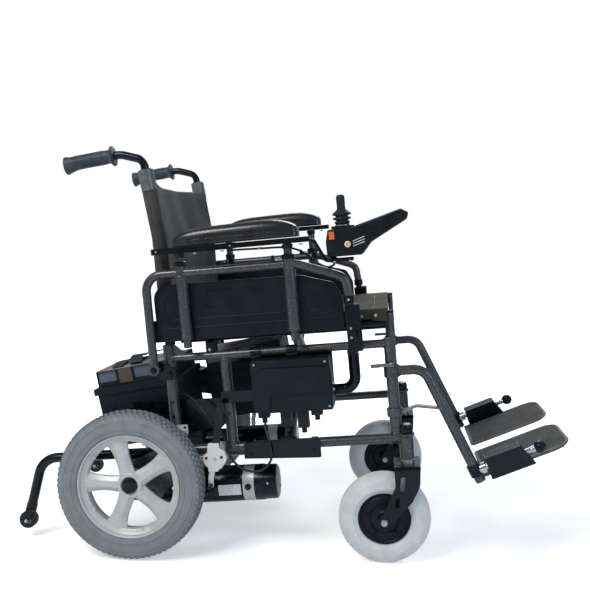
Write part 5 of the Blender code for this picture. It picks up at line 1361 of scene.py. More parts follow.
def reach(outline, centre, angle):
    """Where a ray from the centre leaves the outline."""
    ray = Vector((math.cos(angle), math.sin(angle)))
    best = None
    for a, b in zip(outline, outline[1:] + outline[:1]):
        start = Vector(a) - centre
        side = Vector(b) - Vector(a)
        cross = ray.x * side.y - ray.y * side.x
        if abs(cross) < 1e-12:
            continue
        along = (start.x * side.y - start.y * side.x) / cross
        share = (start.x * ray.y - start.y * ray.x) / cross
        if along > 0 and -1e-6 <= share <= 1 + 1e-6 and (best is None or along > best):
            best = along
    return centre + ray * best


centre = Vector((-0.115, 0.590))
angles = sorted({round(math.atan2(p[1] - centre.y, p[0] - centre.x), 4) for p in edge_line + oval})
rings = []
for outline, y, shrink in (
    (edge_line, 0.2535, 0.0008),
    (edge_line, 0.2543, 0.0),
    (edge_line, PANEL_FACE - 0.0008, 0.0),
    (edge_line, PANEL_FACE, 0.0009),
    (oval, PANEL_FACE, -0.0006),
    (oval, PANEL_FACE - 0.0006, 0.0),
    (oval, PANEL_FACE - 0.0015, 0.0006),
):
    ring = []
    for angle in angles:
        spot = reach(outline, centre, angle)
        spot += (centre - spot).normalized() * shrink
        ring.append((spot.x, y, spot.y))
    rings.append(ring)
bm = bmesh.new()
skin(bm, rings, 0)
for s, size, _, _ in REST_POSTS:
    block(
        bm,
        (s - 0.006, PANEL_FACE - 0.001, 0.5115),
        (s + 0.006, ARM_Y - size / 2 - 0.0003, 0.5215),
        0,
        0.001,
    )
raised_lines = (
    [
        (-0.2444, 0.6185),
        (-0.2637, 0.6047),
        (-0.2744, 0.5880),
        (-0.2744, 0.5702),
        (-0.2690, 0.5565),
        (-0.2580, 0.5508),
        (0.0858, 0.5508),
    ],
    [
        (0.0185, 0.6167),
        (0.0606, 0.6068),
        (0.0880, 0.5905),
        (0.0960, 0.5720),
        (0.0940, 0.5600),
        (0.0858, 0.5508),
    ],
    [(0.0208, 0.5929), (0.0502, 0.5863), (0.0650, 0.5720), (0.0690, 0.5510)],
    [(0.0189, 0.5716), (0.0313, 0.5664), (0.0389, 0.5510)],
    [(-0.2800, 0.5325), (0.0980, 0.5325)],
)
for line in raised_lines:
    smooth = bent([(s, PANEL_FACE + 0.0002, n) for s, n in line], [0.006] * (len(line) - 2), 4)
    tube(bm, smooth, 0.0022, 0, 8)
screws(
    bm,
    [(-0.2985, PANEL_FACE + 0.0010, n) for n in (0.512, 0.541)],
    (0, 1, 0),
    0.0072,
    0.0024,
    1,
    20,
)
two_sides("side_panel", bm, [nylon, gloss_black], "arm", "arm_panel")


# Arm rests
# A flat steel bar that slides up and down on two inner posts, with a crowned vinyl pad screwed to it
# from below. The left one stands raised, and the right one carries the hand control.
for word, hand, rise in (("left", 1, 0.028), ("right", -1, 0.0)):
    low = 0.695 + rise
    bm = bmesh.new()
    block(bm, (-0.2770, 0.2680, low + 0.0008), (0.0580, 0.2950, low + 0.0122), 0, 0.0016)
    block(bm, (-0.2810, 0.2665, low), (-0.1030, 0.2965, low + 0.0130), 0, 0.0018)
    for s, size, _, _ in REST_POSTS:
        tube(bm, [(s, ARM_Y, 0.4905 + rise), (s, ARM_Y, low + 0.006)], 0.018, 3)
        rod(bm, (s, ARM_Y, 0.4900 + rise), (s, ARM_Y, 0.4935 + rise), 0.0176, 2)
        collar = [
            (0.0088, -0.0100),
            (0.0102, -0.0100),
            (0.0110, -0.0090),
            (0.0118, -0.0004),
            (0.0088, -0.0004),
        ]
        turned(bm, (s, ARM_Y, low), (0, 0, 1), collar, 28, 0)
    screws(
        bm,
        [(s, 0.2815, low - 0.0012) for s in (-0.190, -0.130, -0.050, 0.038)],
        (0, 0, -1),
        0.0090,
        0.0032,
        1,
        20,
    )
    screws(
        bm,
        [(s, 0.2972, low + 0.0066) for s in (-0.2700, -0.1100)],
        (0, 1, 0),
        0.0056,
        0.0018,
        1,
        16,
    )
    if hand < 0:
        arm = bent(
            [
                (0.054, 0.2895, 0.700),
                (0.066, 0.2895, 0.697),
                (0.088, 0.2895, 0.6530),
                (0.146, 0.2895, 0.6530),
            ],
            (0.006, 0.010),
            6,
        )
        tube(bm, arm, 0.008, 0)
        block(bm, (0.098, 0.2785, 0.6515), (0.146, 0.3005, 0.6548), 0, 0.0010)
        screws(bm, [(s, 0.2895, 0.6508) for s in (0.106, 0.138)], (0, 0, -1), 0.0075, 0.0028, 1, 20)
    piece(
        f"rest_bar_{word}",
        bm,
        [gloss_black, zinc, nylon, enamel],
        f"arm_rest_{word}",
        [f"arm_bar_{word}"],
        hand < 0,
    )

# Black upholstery vinyl over foam: an embossed leather grain of 1.2 mm, drawn at 1.8 mm so that it
# shows, and polished along the top where forearms rest
upholstery, tree, shader, place = new_finish("black_upholstery_vinyl")
hide = add(tree, "ShaderNodeTexVoronoi", {"Vector": place, "Scale": 1 / 0.0018, "Randomness": 1.0})
rubbed = noise(tree, place, 0.040, 4.0)
colour_by(tree, shader, rubbed, 0.35, 0.7, "#08090a", "#131517")
roughen(tree, shader, rubbed, 0.24, 0.38)
shader.inputs["Coat Weight"].default_value = 0.3
dent(tree, shader, hide.outputs["Distance"], 0.22, 0.0004)

for word, hand, rise in (("left", 1, 0.028), ("right", -1, 0.0)):
    base = 0.7084 + rise
    bm = bmesh.new()
    rings = []
    for i in range(57):
        share = i / 56
        ends = max(0.0, 1 - abs(2 * share - 1) ** 5)
        tip = math.sqrt(max(0.0, 1 - max(0.0, abs(2 * share - 1) - 0.94) ** 2 / 0.0036))
        width = 0.034 * (0.66 + 0.34 * ends) * (0.90 + 0.10 * tip)
        crown = 0.042 * (0.52 + 0.48 * ends) * (0.86 + 0.14 * share) * (0.84 + 0.16 * tip)
        s = -0.2298 + 0.2656 * share
        pull = 0.0005 * math.sin(2 * math.pi * s / 0.031)
        ring = []
        for k in range(48):
            angle = 2 * math.pi * k / 48
            wide, up = math.cos(angle), math.sin(angle)
            wide = math.copysign(abs(wide) ** 0.52, wide)
            if up >= 0:
                height = 0.30 + 0.70 * up ** 0.72
            else:
                height = 0.30 - 0.30 * (-up) ** 0.30
            # The cover is drawn in where the crown is sewn to the band, and puckers a little there
            seam = math.exp(-(((height - 0.33) / 0.045) ** 2)) * (0.0016 + pull)
            swell = 0.0007 * math.sin(math.pi * min(1.0, max(0.0, height / 0.30)))
            y = 0.290 + (width - seam + swell - 0.0004) * wide
            ring.append((s, y, base + height * crown))
        rings.append(ring)
    skin(bm, rings, 0)
    pad = piece(
        f"pad_{word}",
        bm,
        [upholstery],
        f"arm_rest_{word}",
        [f"arm_pad_{word}"],
        hand < 0,
        60,
    )
    bm = bmesh.new()
    for side in (-1, 1):
        route = []
        for i in range(2, 55):
            share = i / 56
            ends = max(0.0, 1 - abs(2 * share - 1) ** 5)
            width = 0.034 * (0.66 + 0.34 * ends)
            crown = 0.042 * (0.52 + 0.48 * ends) * (0.86 + 0.14 * share)
            route.append(
                (-0.2298 + 0.2656 * share, 0.290 + side * (width - 0.0022), base + 0.335 * crown)
            )
        tube(bm, route, 0.0024, 0, 10)
    piece(f"pad_piping_{word}", bm, [upholstery], f"arm_rest_{word}", [], hand < 0)


# Hand control
# A nylon case, split along its side, that hangs on a bent rod from the right arm's bar. The stick
# stands in a gimbal under a three-fold rubber boot; a rocker and a horn button are on the outer side.
POD_Y = 0.2895
STICK = (0.1285, 0.7225)
ROCKER = (0.1060, 0.7040)
HORN = (0.1374, 0.6839)
POD_FACE = POD_Y + 0.030
bm = bmesh.new()
case = rounded(
    [
        (0.0935, 0.6600),
        (0.1655, 0.6600),
        (0.1860, 0.6843),
        (0.2600, 0.7240),
        (0.2650, 0.7380),
        (0.2490, 0.7470),
        (0.1983, 0.7325),
        (0.1500, 0.7190),
        (0.0985, 0.7165),
        (0.0925, 0.6920),
    ],
    [0.006, 0.010, 0.020, 0.006, 0.006, 0.006, 0.030, 0.020, 0.005, 0.010],
    6,
)
# A well in the case's top gives the gimbal room to tilt under the boot
WELL = (STICK[0] - 0.0172, STICK[0] + 0.0172)
rim = [k for k, spot in enumerate(case) if spot[0] > WELL[1] and spot[1] > 0.710][-1]
for s in (WELL[1], WELL[1] - 0.0004, WELL[0] + 0.0004, WELL[0]):
    rim += 1
    case.insert(rim, (s, 0.7190 - 0.0025 * (0.1500 - s) / 0.0515))
rings = []
for y, inset, well in (
    (-0.0300, 0.0052, 0),
    (-0.0287, 0.0022, 0),
    (-0.0255, 0.0003, 0),
    (-0.0156, 0.0, 0),
    (-0.0152, 0.0, 0.0085),
    (-0.0008, 0.0, 0.0085),
    (-0.0004, 0.0009, 0.0085),
    (0.0004, 0.0009, 0.0085),
    (0.0008, 0.0, 0.0085),
    (0.0152, 0.0, 0.0085),
    (0.0156, 0.0, 0),
    (0.0255, 0.0003, 0),
    (0.0287, 0.0022, 0),
    (0.0300, 0.0052, 0),
):
    ring = []
    for i, spot in enumerate(case):
        before, after = Vector(case[i - 1]), Vector(case[(i + 1) % len(case)])
        way = (after - before).normalized()
        inward = Vector((-way.y, way.x))
        place_2d = Vector(spot) + inward * inset
        sunk = well if WELL[0] < spot[0] < WELL[1] and spot[1] > 0.710 else 0
        ring.append((place_2d.x, POD_Y + y, place_2d.y - sunk))
    rings.append(ring)
skin(bm, rings, 0)
collar = [
    (0.0178, -0.0140),
    (0.0178, -0.0016),
    (0.0187, -0.0006),
    (0.0192, 0),
    (0.0225, 0),
    (0.0236, -0.0004),
    (0.0240, -0.0012),
    (0.0240, -0.0140),
]
turned(bm, (STICK[0], POD_Y, STICK[1]), (0, 0, 1), collar, 40, 0, True)
turned(
    bm,
    (0.104, POD_Y - 0.018, 0.6560),
    (0, 0, 1),
    [(0.0030, 0.0), (0.0052, 0.0), (0.0060, 0.0012), (0.0060, 0.0050), (0.0030, 0.0052)],
    24,
    0,
)
frame_low = (ROCKER[0] - 0.0083, ROCKER[1] - 0.0110)
bezel = rounded(
    [
        frame_low,
        (ROCKER[0] + 0.0083, frame_low[1]),
        (ROCKER[0] + 0.0083, ROCKER[1] + 0.0110),
        (frame_low[0], ROCKER[1] + 0.0110),
    ],
    0.002,
    3,
)
hole = rounded(
    [
        (ROCKER[0] - 0.0061, ROCKER[1] - 0.0088),
        (ROCKER[0] + 0.0061, ROCKER[1] - 0.0088),
        (ROCKER[0] + 0.0061, ROCKER[1] + 0.0088),
        (ROCKER[0] - 0.0061, ROCKER[1] + 0.0088),
    ],
    0.0006,
    3,
)
skin(
    bm,
    [
        [(a, POD_FACE - 0.001, b) for a, b in bezel],
        [(a, POD_FACE + 0.0009, b) for a, b in bezel],
        [(a, POD_FACE + 0.0009, b) for a, b in hole],
        [(a, POD_FACE - 0.001, b) for a, b in hole],
    ],
    0,
    True,
)
ring_profile = [
    (0.0067, -0.001),
    (0.0067, 0.0010),
    (0.0073, 0.0013),
    (0.0088, 0.0013),
    (0.0094, 0.0006),
    (0.0094, -0.001),
]
turned(bm, (HORN[0], POD_FACE, HORN[1]), (0, 1, 0), ring_profile, 36, 0, True)
screws(
    bm,
    [(0.100, POD_FACE + 0.0006, 0.6680), (0.1830, POD_FACE + 0.0002, 0.6910)],
    (0, 1, 0),
    0.0056,
    0.0014,
    0,
    16,
)
# Three raised lines beside the horn button
for k in range(3):
    start = Vector((0.1480, POD_FACE + 0.0002, 0.6892 - 0.0052 * k))
    rod(bm, start, start + Vector((0.0248, 0, 0.0078)), 0.0015, 2, 10)
cream, tree, shader, place = new_finish("white_printed_ink")
wear = noise(tree, place, 0.003, 3.0)
colour_by(tree, shader, wear, 0.35, 0.7, "#cfcfc6", "#e4e4dc")
shader.inputs["Roughness"].default_value = 0.48
piece(
    "hand_control_case",
    bm,
    [nylon, zinc, cream],
    "arm_rest_right",
    ["joystick_pod"],
    True,
)

bm = bmesh.new()
turned(
    bm,
    (STICK[0], POD_Y, STICK[1]),
    (0, 0, 1),
    [
        (0.0076, -0.0018),
        (0.0148, -0.0018),
        (0.0150, -0.0016),
        (0.0150, 0.0016),
        (0.0148, 0.0018),
        (0.0076, 0.0018),
    ],
    36,
    0,
    True,
)
for turn_way in (-1, 1):
    rod(
        bm,
        (STICK[0], POD_Y + turn_way * 0.0130, STICK[1]),
        (STICK[0], POD_Y + turn_way * 0.0176, STICK[1]),
        0.003,
        0,
        14,
    )
piece("gimbal_ring", bm, [zinc], "joystick_gimbal", ["joystick_gimbal"], True)

bm = bmesh.new()
boot = [
    (0.0030, -0.0040),
    (0.0039, -0.0036),
    (0.0039, 0.0004),
    (0.0120, 0.0008),
    (0.0148, 0.0016),
    (0.0150, 0.0030),
    (0.0136, 0.0042),
    (0.0160, 0.0056),
    (0.0166, 0.0070),
    (0.0158, 0.0084),
    (0.0128, 0.0098),
    (0.0126, 0.0112),
    (0.0184, 0.0134),
    (0.0194, 0.0152),
    (0.0186, 0.0168),
    (0.0130, 0.0184),
    (0.0128, 0.0200),
    (0.0188, 0.0222),
    (0.0200, 0.0242),
    (0.0192, 0.0256),
    (0.0150, 0.0288),
    (0.0112, 0.0320),
    (0.0090, 0.0344),
    (0.0086, 0.0390),
    (0.0088, 0.0480),
    (0.0090, 0.0560),
    (0.0086, 0.0600),
    (0.0072, 0.0626),
    (0.0048, 0.0638),
    (0.0024, 0.0640),
]
turned(bm, (STICK[0], POD_Y, STICK[1]), (0, 0, 1), boot, 40, 0)
rod(bm, (STICK[0] - 0.0066, POD_Y, STICK[1]), (STICK[0] + 0.0066, POD_Y, STICK[1]), 0.003, 1, 14)
# Moulded black rubber: matt, with a faint grey bloom in its folds
rubber, tree, shader, place = new_finish("moulded_black_rubber")
deep_black(shader)
bloom = noise(tree, place, 0.009, 5.0)
colour_by(tree, shader, bloom, 0.38, 0.74, "#1a1b1d", "#2a2b2e")
roughen(tree, shader, bloom, 0.48, 0.66)
shader.inputs["Sheen Weight"].default_value = 0.08
piece(
    "stick_and_boot",
    bm,
    [rubber, zinc],
    "joystick_stick",
    ["joystick_stick"],
    True,
)

# The rocker is moulded in orange and dished, and the horn button in cream
bm = bmesh.new()
wave = []
for k in range(13):
    share = k / 12
    n = ROCKER[1] - 0.0079 + 0.0158 * share
    wave.append((POD_FACE + 0.0004 + 0.0042 * abs(share - 0.46) ** 1.3, n))
outline = wave + [
    (POD_FACE - 0.0010, ROCKER[1] + 0.0079),
    (POD_FACE - 0.0052, ROCKER[1]),
    (POD_FACE - 0.0010, ROCKER[1] - 0.0079),
]
slab(bm, outline, "s", ROCKER[0] - 0.0056, ROCKER[0] + 0.0056, 0, 0.0006, 2)
orange, tree, shader, place = new_finish("orange_moulded_abs")
handled = noise(tree, place, 0.004, 3.0)
colour_by(tree, shader, handled, 0.35, 0.7, "#d9541b", "#ef7433")
roughen(tree, shader, handled, 0.26, 0.42)
piece("rocker", bm, [orange], "rocker_switch", ["rocker_switch"], True)

bm = bmesh.new()
turned(
    bm,
    (HORN[0], POD_FACE, HORN[1]),
    (0, 1, 0),
    [
        (0.0030, -0.0022),
        (0.0062, -0.0020),
        (0.0064, -0.0016),
        (0.0064, 0.0008),
        (0.0060, 0.0013),
        (0.0050, 0.0018),
        (0.0020, 0.0015),
    ],
    36,
    0,
)
for k in (-1, 0, 1):
    middle = Vector((HORN[0], POD_FACE + 0.0017, HORN[1] + 0.0023 * k))
    half = Vector((0.0036 - 0.0008 * abs(k), 0, 0.0012))
    rod(bm, middle - half, middle + half, 0.0007, 1, 8)
cream_abs, tree, shader, place = new_finish("cream_moulded_abs")
aged = noise(tree, place, 0.005, 4.0)
colour_by(tree, shader, aged, 0.35, 0.7, "#dccf93", "#efe5b4")
roughen(tree, shader, aged, 0.30, 0.44)
piece("horn", bm, [cream_abs, nylon], "horn_button", ["horn_button"], True)


# Drive wheels
# Five-spoke rims moulded in silver nylon with a black cap, and solid grey tyres with block treads that
# stand against each other across the tyre's crown.
DRIVE_Y = 0.288
RIM_R = 0.1145
bm = bmesh.new()
hub_centre = (AXLE[0], DRIVE_Y, AXLE[2])
down = (-math.sin(tilt), 0, -math.cos(tilt))
# Inside the bead the rim dishes in to a broad cone, and the windows between the spokes end on its edge
ring = [
    (0.1030, -0.0215),
    (0.1085, -0.0235),
    (RIM_R - 0.0006, -0.0240),
    (RIM_R, -0.0232),
    (RIM_R, 0.0232),
    (RIM_R - 0.0006, 0.0240),
    (0.1118, 0.0240),
    (0.1102, 0.0228),
    (0.1088, 0.0176),
    (0.1072, 0.0158),
    (0.1008, 0.0126),
    (0.0984, 0.0116),
    (0.0974, 0.0104),
    (0.0966, 0.0010),
    (0.0978, -0.0014),
    (0.1010, -0.0040),
    (0.1030, -0.0110),
]
turned(bm, hub_centre, (0, 1, 0), ring, 96, 0, True, down)
hub = [
    (0.0094, -0.0260),
    (0.0265, -0.0260),
    (0.0278, -0.0248),
    (0.0278, 0.0060),
    (0.0280, 0.0120),
    (0.0262, 0.0137),
    (0.0200, 0.0140),
    (0.0196, 0.0122),
    (0.0180, 0.0118),
    (0.0094, 0.0116),
]
turned(bm, hub_centre, (0, 1, 0), hub, 64, 0, True, down)
for k in range(5):
    angle = math.radians(101.4) + 2 * math.pi * k / 5
    ahead = Vector((math.cos(angle), math.sin(angle)))
    aside = Vector((-ahead.y, ahead.x))
    middle = Vector((AXLE[0], AXLE[2]))
    rings = []
    for i in range(15):
        share = i / 14
        radius = 0.0215 + (0.1020 - 0.0215) * share
        # Each spoke is waisted in the middle and flares into the hub and the rim
        wide = 0.0158 + 0.0030 * (1 - share) ** 4 + 0.0125 * share**4
        thick = 0.0068 + 0.0006 * math.cos(math.pi * share)
        outer = 0.0128 - 0.0008 * math.sin(math.pi * share)
        ring_points = []
        for a, b in (
            (-1, -0.6), (-1, -0.1), (-0.94, 0.14), (-0.84, 0.28), (-0.44, 0.90), (-0.36, 0.98),
            (-0.28, 1.0), (0.28, 1.0), (0.36, 0.98), (0.44, 0.90), (0.84, 0.28), (0.94, 0.14),
            (1, -0.1), (1, -0.6),
            (0.80, -0.90), (0.60, -1.0), (-0.60, -1.0), (-0.80, -0.90),
        ):
            spot = middle + ahead * radius + aside * wide * a
            ring_points.append((spot.x, DRIVE_Y + outer - thick + thick * b, spot.y))
        rings.append(ring_points)
    skin(bm, rings, 0)
    # The rim's valve side has a shallow boss between spokes
    boss = middle + Vector((math.cos(angle + 0.63), math.sin(angle + 0.63))) * 0.0990
    turned(
        bm,
        (boss.x, DRIVE_Y + 0.0100, boss.y),
        (0, 1, 0),
        [(0.0020, 0), (0.0042, 0), (0.0042, 0.0032), (0.0036, 0.0040), (0.0020, 0.0040)],
        16,
        0,
    )
cap = [
    (0.0080, 0.0112),
    (0.0166, 0.0112),
    (0.0170, 0.0122),
    (0.0170, 0.0160),
    (0.0158, 0.0186),
    (0.0120, 0.0196),
    (0.0050, 0.0200),
]
turned(bm, hub_centre, (0, 1, 0), cap, 48, 1, False, down)
rod(
    bm,
    (AXLE[0], DRIVE_Y + 0.0112, AXLE[2]),
    (AXLE[0], DRIVE_Y + 0.0118, AXLE[2]),
    0.036,
    1,
    40,
    0.0001,
)

# Silver glass-filled nylon: metallic flake in the moulding gives a pale satin with little mirror in it
silver_nylon, tree, shader, place = new_finish("silver_flake_nylon")
flake = noise(tree, place, 0.0022, 2.0)
flow = noise(tree, place, 0.030, 4.0)
share = add(
    tree,
    "ShaderNodeMath",
    {
        0: spread(tree, flow.outputs[0], 0.3, 0.7, 0, 0.7),
        1: spread(tree, flake.outputs[0], 0.35, 0.7, 0, 0.3),
    },
    operation="ADD",
)
tree.links.new(blended(tree, share.outputs[0], "#b9bab8", "#d0d1cf"), shader.inputs["Base Color"])
shader.inputs["Metallic"].default_value = 0.25
roughen(tree, shader, flow, 0.34, 0.48)
two_sides(
    "drive_rim_shell",
    bm,
    [silver_nylon, gloss_black],
    "drive_wheel",
    "drive_rim",
    40,
)

bm = bmesh.new()
wall = [
    (0.1148, -0.0230),
    (0.1175, -0.0268),
    (0.1230, -0.0284),
    (0.1290, -0.0292),
    (0.1400, -0.0294),
    (0.1500, -0.0288),
    (0.1545, -0.0262),
    (0.1580, -0.0210),
    (0.1596, -0.0120),
    (0.1600, 0.0),
]
profile = wall + [(r, -y) for r, y in reversed(wall[:-1])]
turned(bm, hub_centre, (0, 1, 0), profile, 128, 0, True, down)
for side in (-1, 1):
    for radius in (0.1268, 0.1440):
        line = [
            (radius - 0.0008, side * 0.0286),
            (radius - 0.0004, side * 0.0298),
            (radius + 0.0004, side * 0.0298),
            (radius + 0.0008, side * 0.0286),
        ]
        turned(bm, hub_centre, (0, 1, 0), line, 128, 0, True, down)

# Tread blocks, bevelled and slanted, are copied round the crown by one tree
lugs = bpy.data.node_groups.new("tread_blocks", "GeometryNodeTree")
for title, kind in (
    ("Block", "NodeSocketGeometry"),
    ("Count", "NodeSocketInt"),
    ("Radius", "NodeSocketFloat"),
    ("Finish", "NodeSocketMaterial"),
):
    lugs.interface.new_socket(title, in_out="INPUT", socket_type=kind)
lugs.interface.new_socket("Tread", in_out="OUTPUT", socket_type="NodeSocketGeometry")
given = add(lugs, "NodeGroupInput").outputs
circle = add(
    lugs, "GeometryNodeMeshCircle", {"Vertices": given["Count"], "Radius": given["Radius"]}
)
spin_index = add(lugs, "GeometryNodeInputIndex")
step = add(lugs, "ShaderNodeMath", {0: 2 * math.pi, 1: given["Count"]}, operation="DIVIDE")
angle = add(
    lugs, "ShaderNodeMath", {0: spin_index.outputs[0], 1: step.outputs[0]}, operation="MULTIPLY"
)
twist = add(lugs, "ShaderNodeCombineXYZ", {"Z": angle.outputs[0]})
copies = add(
    lugs,
    "GeometryNodeInstanceOnPoints",
    {"Points": circle.outputs[0], "Instance": given["Block"], "Rotation": twist.outputs[0]},
)
real = add(lugs, "GeometryNodeRealizeInstances", {0: copies.outputs[0]})
dressed = add(
    lugs, "GeometryNodeSetMaterial", {"Geometry": real.outputs[0], "Material": given["Finish"]}
)
add(lugs, "NodeGroupOutput", {0: dressed.outputs[0]})


def tread(bm, centre, outline, height, radius, count, start_angle, look):
    """Blocks round a tyre: the outline is (round the tyre, across it), and the block rises by its height."""
    carrier = bpy.data.meshes.new("block")
    one = bmesh.new()
    low = [one.verts.new((-0.0015, a, b)) for a, b in outline]
    middle_a = sum(a for a, _ in outline) / len(outline)
    middle_b = sum(b for _, b in outline) / len(outline)
    high = [
        one.verts.new((height, middle_a + (a - middle_a) * 0.82, middle_b + (b - middle_b) * 0.90))
        for a, b in outline
    ]
    for i in range(len(outline)):
        j = (i + 1) % len(outline)
        one.faces.new((low[i], low[j], high[j], high[i]))
    one.faces.new(low)
    one.faces.new(high)
    bmesh.ops.recalc_face_normals(one, faces=one.faces)
    one.to_mesh(carrier)
    one.free()
    mesh = grown(lugs, carrier, {"Count": count, "Radius": radius, "Finish": nylon})
    mesh.transform(Matrix.Rotation(start_angle, 4, "Z"))
    mesh.transform(Matrix.Rotation(math.pi / 2, 4, "X"))
    mesh.transform(Matrix.Translation(centre))
    gather(bm, mesh, look)


# Rows of blocks: a chain of slanted ones on each side of the crown, and notched ones on the shoulders
for side in (-1, 1):
    crown_block = [
        (-0.0052, side * 0.0016),
        (0.0034, side * 0.0016),
        (0.0060, side * 0.0112),
        (-0.0026, side * 0.0112),
    ]
    tread(bm, hub_centre, crown_block, 0.0046, 0.1588, 76, 0.02 * side, 0)
    shoulder = [
        (-0.0030, side * 0.0130),
        (0.0050, side * 0.0130),
        (0.0042, side * 0.0206),
        (-0.0038, side * 0.0206),
    ]
    tread(bm, hub_centre, shoulder, 0.0044, 0.1568, 76, 0.02 * side + math.pi / 76, 0)
    edge_block = [
        (-0.0034, side * 0.0216),
        (0.0034, side * 0.0216),
        (0.0030, side * 0.0268),
        (-0.0030, side * 0.0268),
    ]
    tread(bm, hub_centre, edge_block, 0.0040, 0.1535, 76, 0.02 * side, 0)

# Grey non-marking polyurethane: matt, mottled by use, and darker where it picks up dirt low down
grey_tyre, tree, shader, place = new_finish("grey_foam_filled_tyre")
mottle = noise(tree, place, 0.028, 6.0, 0.6)
pits = noise(tree, place, 0.0018, 2.0)
share = add(
    tree,
    "ShaderNodeMath",
    {
        0: spread(tree, mottle.outputs[0], 0.3, 0.72, 0, 0.8),
        1: spread(tree, pits.outputs[0], 0.35, 0.7, 0, 0.2),
    },
    operation="ADD",
)
tree.links.new(blended(tree, share.outputs[0], "#74787b", "#8b8f92"), shader.inputs["Base Color"])
roughen(tree, shader, mottle, 0.60, 0.78)
dent(tree, shader, pits.outputs[0], 0.22, 0.0003)
two_sides("drive_tyre_tread", bm, [grey_tyre], "drive_wheel", "drive_tyre", 30)


# Front casters
# A fork bent from one strip of steel turns on a stem in its housing, and carries a two-part nylon hub
# bolted together through a pale solid tyre.
bm = bmesh.new()
HOUSING_LOW = 0.2123
CROWN_TOP = HOUSING_LOW - 0.0095
for side in (-1, 1):
    leg = rounded(
        [
            (STEM_S - 0.030, CROWN_TOP),
            (STEM_S + 0.026, CROWN_TOP),
            (STEM_S + 0.022, 0.160),
            (STEM_S + 0.004, 0.1274),
            (CASTER_AXLE[0] + 0.012, CASTER_AXLE[2] - 0.009),
            (CASTER_AXLE[0] + 0.003, CASTER_AXLE[2] - 0.012),
            (CASTER_AXLE[0] - 0.009, CASTER_AXLE[2] - 0.006),
            (CASTER_AXLE[0] - 0.010, CASTER_AXLE[2] + 0.006),
            (CASTER_AXLE[0] + 0.006, 0.1150),
            (STEM_S - 0.030, 0.160),
        ],
        [0.002, 0.002, 0.030, 0.020, 0.004, 0.004, 0.004, 0.004, 0.030, 0.020],
        6,
    )
    slots = []
    for s, n, length in ((STEM_S - 0.0135, 0.165, 0.033), (STEM_S - 0.0275, 0.1263, 0.022)):
        slots.append(
            rounded(
                [
                    (s - 0.0082, n - length / 2),
                    (s + 0.0014, n - length / 2),
                    (s + 0.0062, n + length / 2),
                    (s - 0.0034, n + length / 2),
                ],
                0.0042,
                4,
            )
        )
    low = FRAME_Y + (0.034 if side > 0 else -0.040)
    face_low = [bm.verts.new((a, low, b)) for a, b in leg]
    edges = [bm.edges.new((face_low[i - 1], face_low[i])) for i in range(len(face_low))]
    for slot_line in slots:
        spots = [bm.verts.new((a, low, b)) for a, b in slot_line]
        edges += [bm.edges.new((spots[i - 1], spots[i])) for i in range(len(spots))]
    filled = bmesh.ops.triangle_fill(
        bm, use_beauty=True, use_dissolve=False, edges=edges, normal=(0, 1, 0)
    )
    faces = [g for g in filled["geom"] if isinstance(g, bmesh.types.BMFace)]
    raised = bmesh.ops.extrude_face_region(bm, geom=faces, use_keep_orig=True)
    lifted = [g for g in raised["geom"] if isinstance(g, bmesh.types.BMVert)]
    bmesh.ops.translate(bm, verts=lifted, vec=(0, 0.006, 0))
block(
    bm,
    (STEM_S - 0.0300, FRAME_Y - 0.0400, CROWN_TOP - 0.0070),
    (STEM_S + 0.0260, FRAME_Y + 0.0400, CROWN_TOP),
    0,
    0.0028,
    3,
)
rod(bm, (STEM_S, FRAME_Y, CROWN_TOP - 0.004), (STEM_S, FRAME_Y, HOUSING_LOW - 0.0006), 0.028, 2, 32)
rod(bm, (STEM_S, FRAME_Y, CROWN_TOP), (STEM_S, FRAME_Y, 0.262), 0.0158, 2)
screws(bm, [(STEM_S, FRAME_Y, CROWN_TOP - 0.0110)], (0, 0, -1), 0.019, 0.008, 2)
rod(
    bm,
    (CASTER_AXLE[0], FRAME_Y - 0.0430, CASTER_AXLE[2]),
    (CASTER_AXLE[0], FRAME_Y + 0.0430, CASTER_AXLE[2]),
    0.010,
    2,
)
for side in (-1, 1):
    screws(
        bm,
        [(CASTER_AXLE[0], FRAME_Y + side * 0.0418, CASTER_AXLE[2])],
        (0, side, 0),
        0.0160,
        0.0044,
        2,
        24,
    )
two_sides(
    "caster_fork_shell",
    bm,
    [gloss_black, gloss_black, zinc],
    "caster_fork",
    "caster_fork",
    40,
)

bm = bmesh.new()
caster_centre = (CASTER_AXLE[0], FRAME_Y, CASTER_AXLE[2])
half_hub = [
    (0.0053, 0.0336),
    (0.0110, 0.0336),
    (0.0118, 0.0328),
    (0.0122, 0.0250),
    (0.0150, 0.0165),
    (0.0210, 0.0120),
    (0.0300, 0.0112),
    (0.0318, 0.0122),
    (0.0330, 0.0140),
    (0.0460, 0.0146),
    (0.0480, 0.0130),
    (0.0510, 0.0128),
    (0.0532, 0.0148),
    (0.0562, 0.0150),
    (0.0569, 0.0142),
]
turned(
    bm,
    caster_centre,
    (0, 1, 0),
    half_hub + [(r, -y) for r, y in reversed(half_hub)],
    80,
    0,
    True,
    down,
)
for k in range(5):
    angle = 2 * math.pi * k / 5 + math.pi / 2
    spot = Vector(
        (CASTER_AXLE[0] + 0.0395 * math.cos(angle), 0, CASTER_AXLE[2] + 0.0395 * math.sin(angle))
    )
    for side in (-1, 1):
        base = FRAME_Y + side * 0.0138
        turned(
            bm,
            (spot.x, base, spot.z),
            (0, side, 0),
            [
                (0.0040, 0),
                (0.0058, 0.0002),
                (0.0062, 0.0014),
                (0.0055, 0.0020),
                (0.0044, 0.0020),
                (0.0042, 0.0008),
                (0.0020, 0.0008),
            ],
            20,
            0,
        )
        screws(bm, [(spot.x, base + side * 0.0018, spot.z)], (0, side, 0), 0.0070, 0.0022, 1)
two_sides(
    "caster_hub_shell", bm, [nylon, gloss_black], "caster_wheel", "caster_hub", 34
)

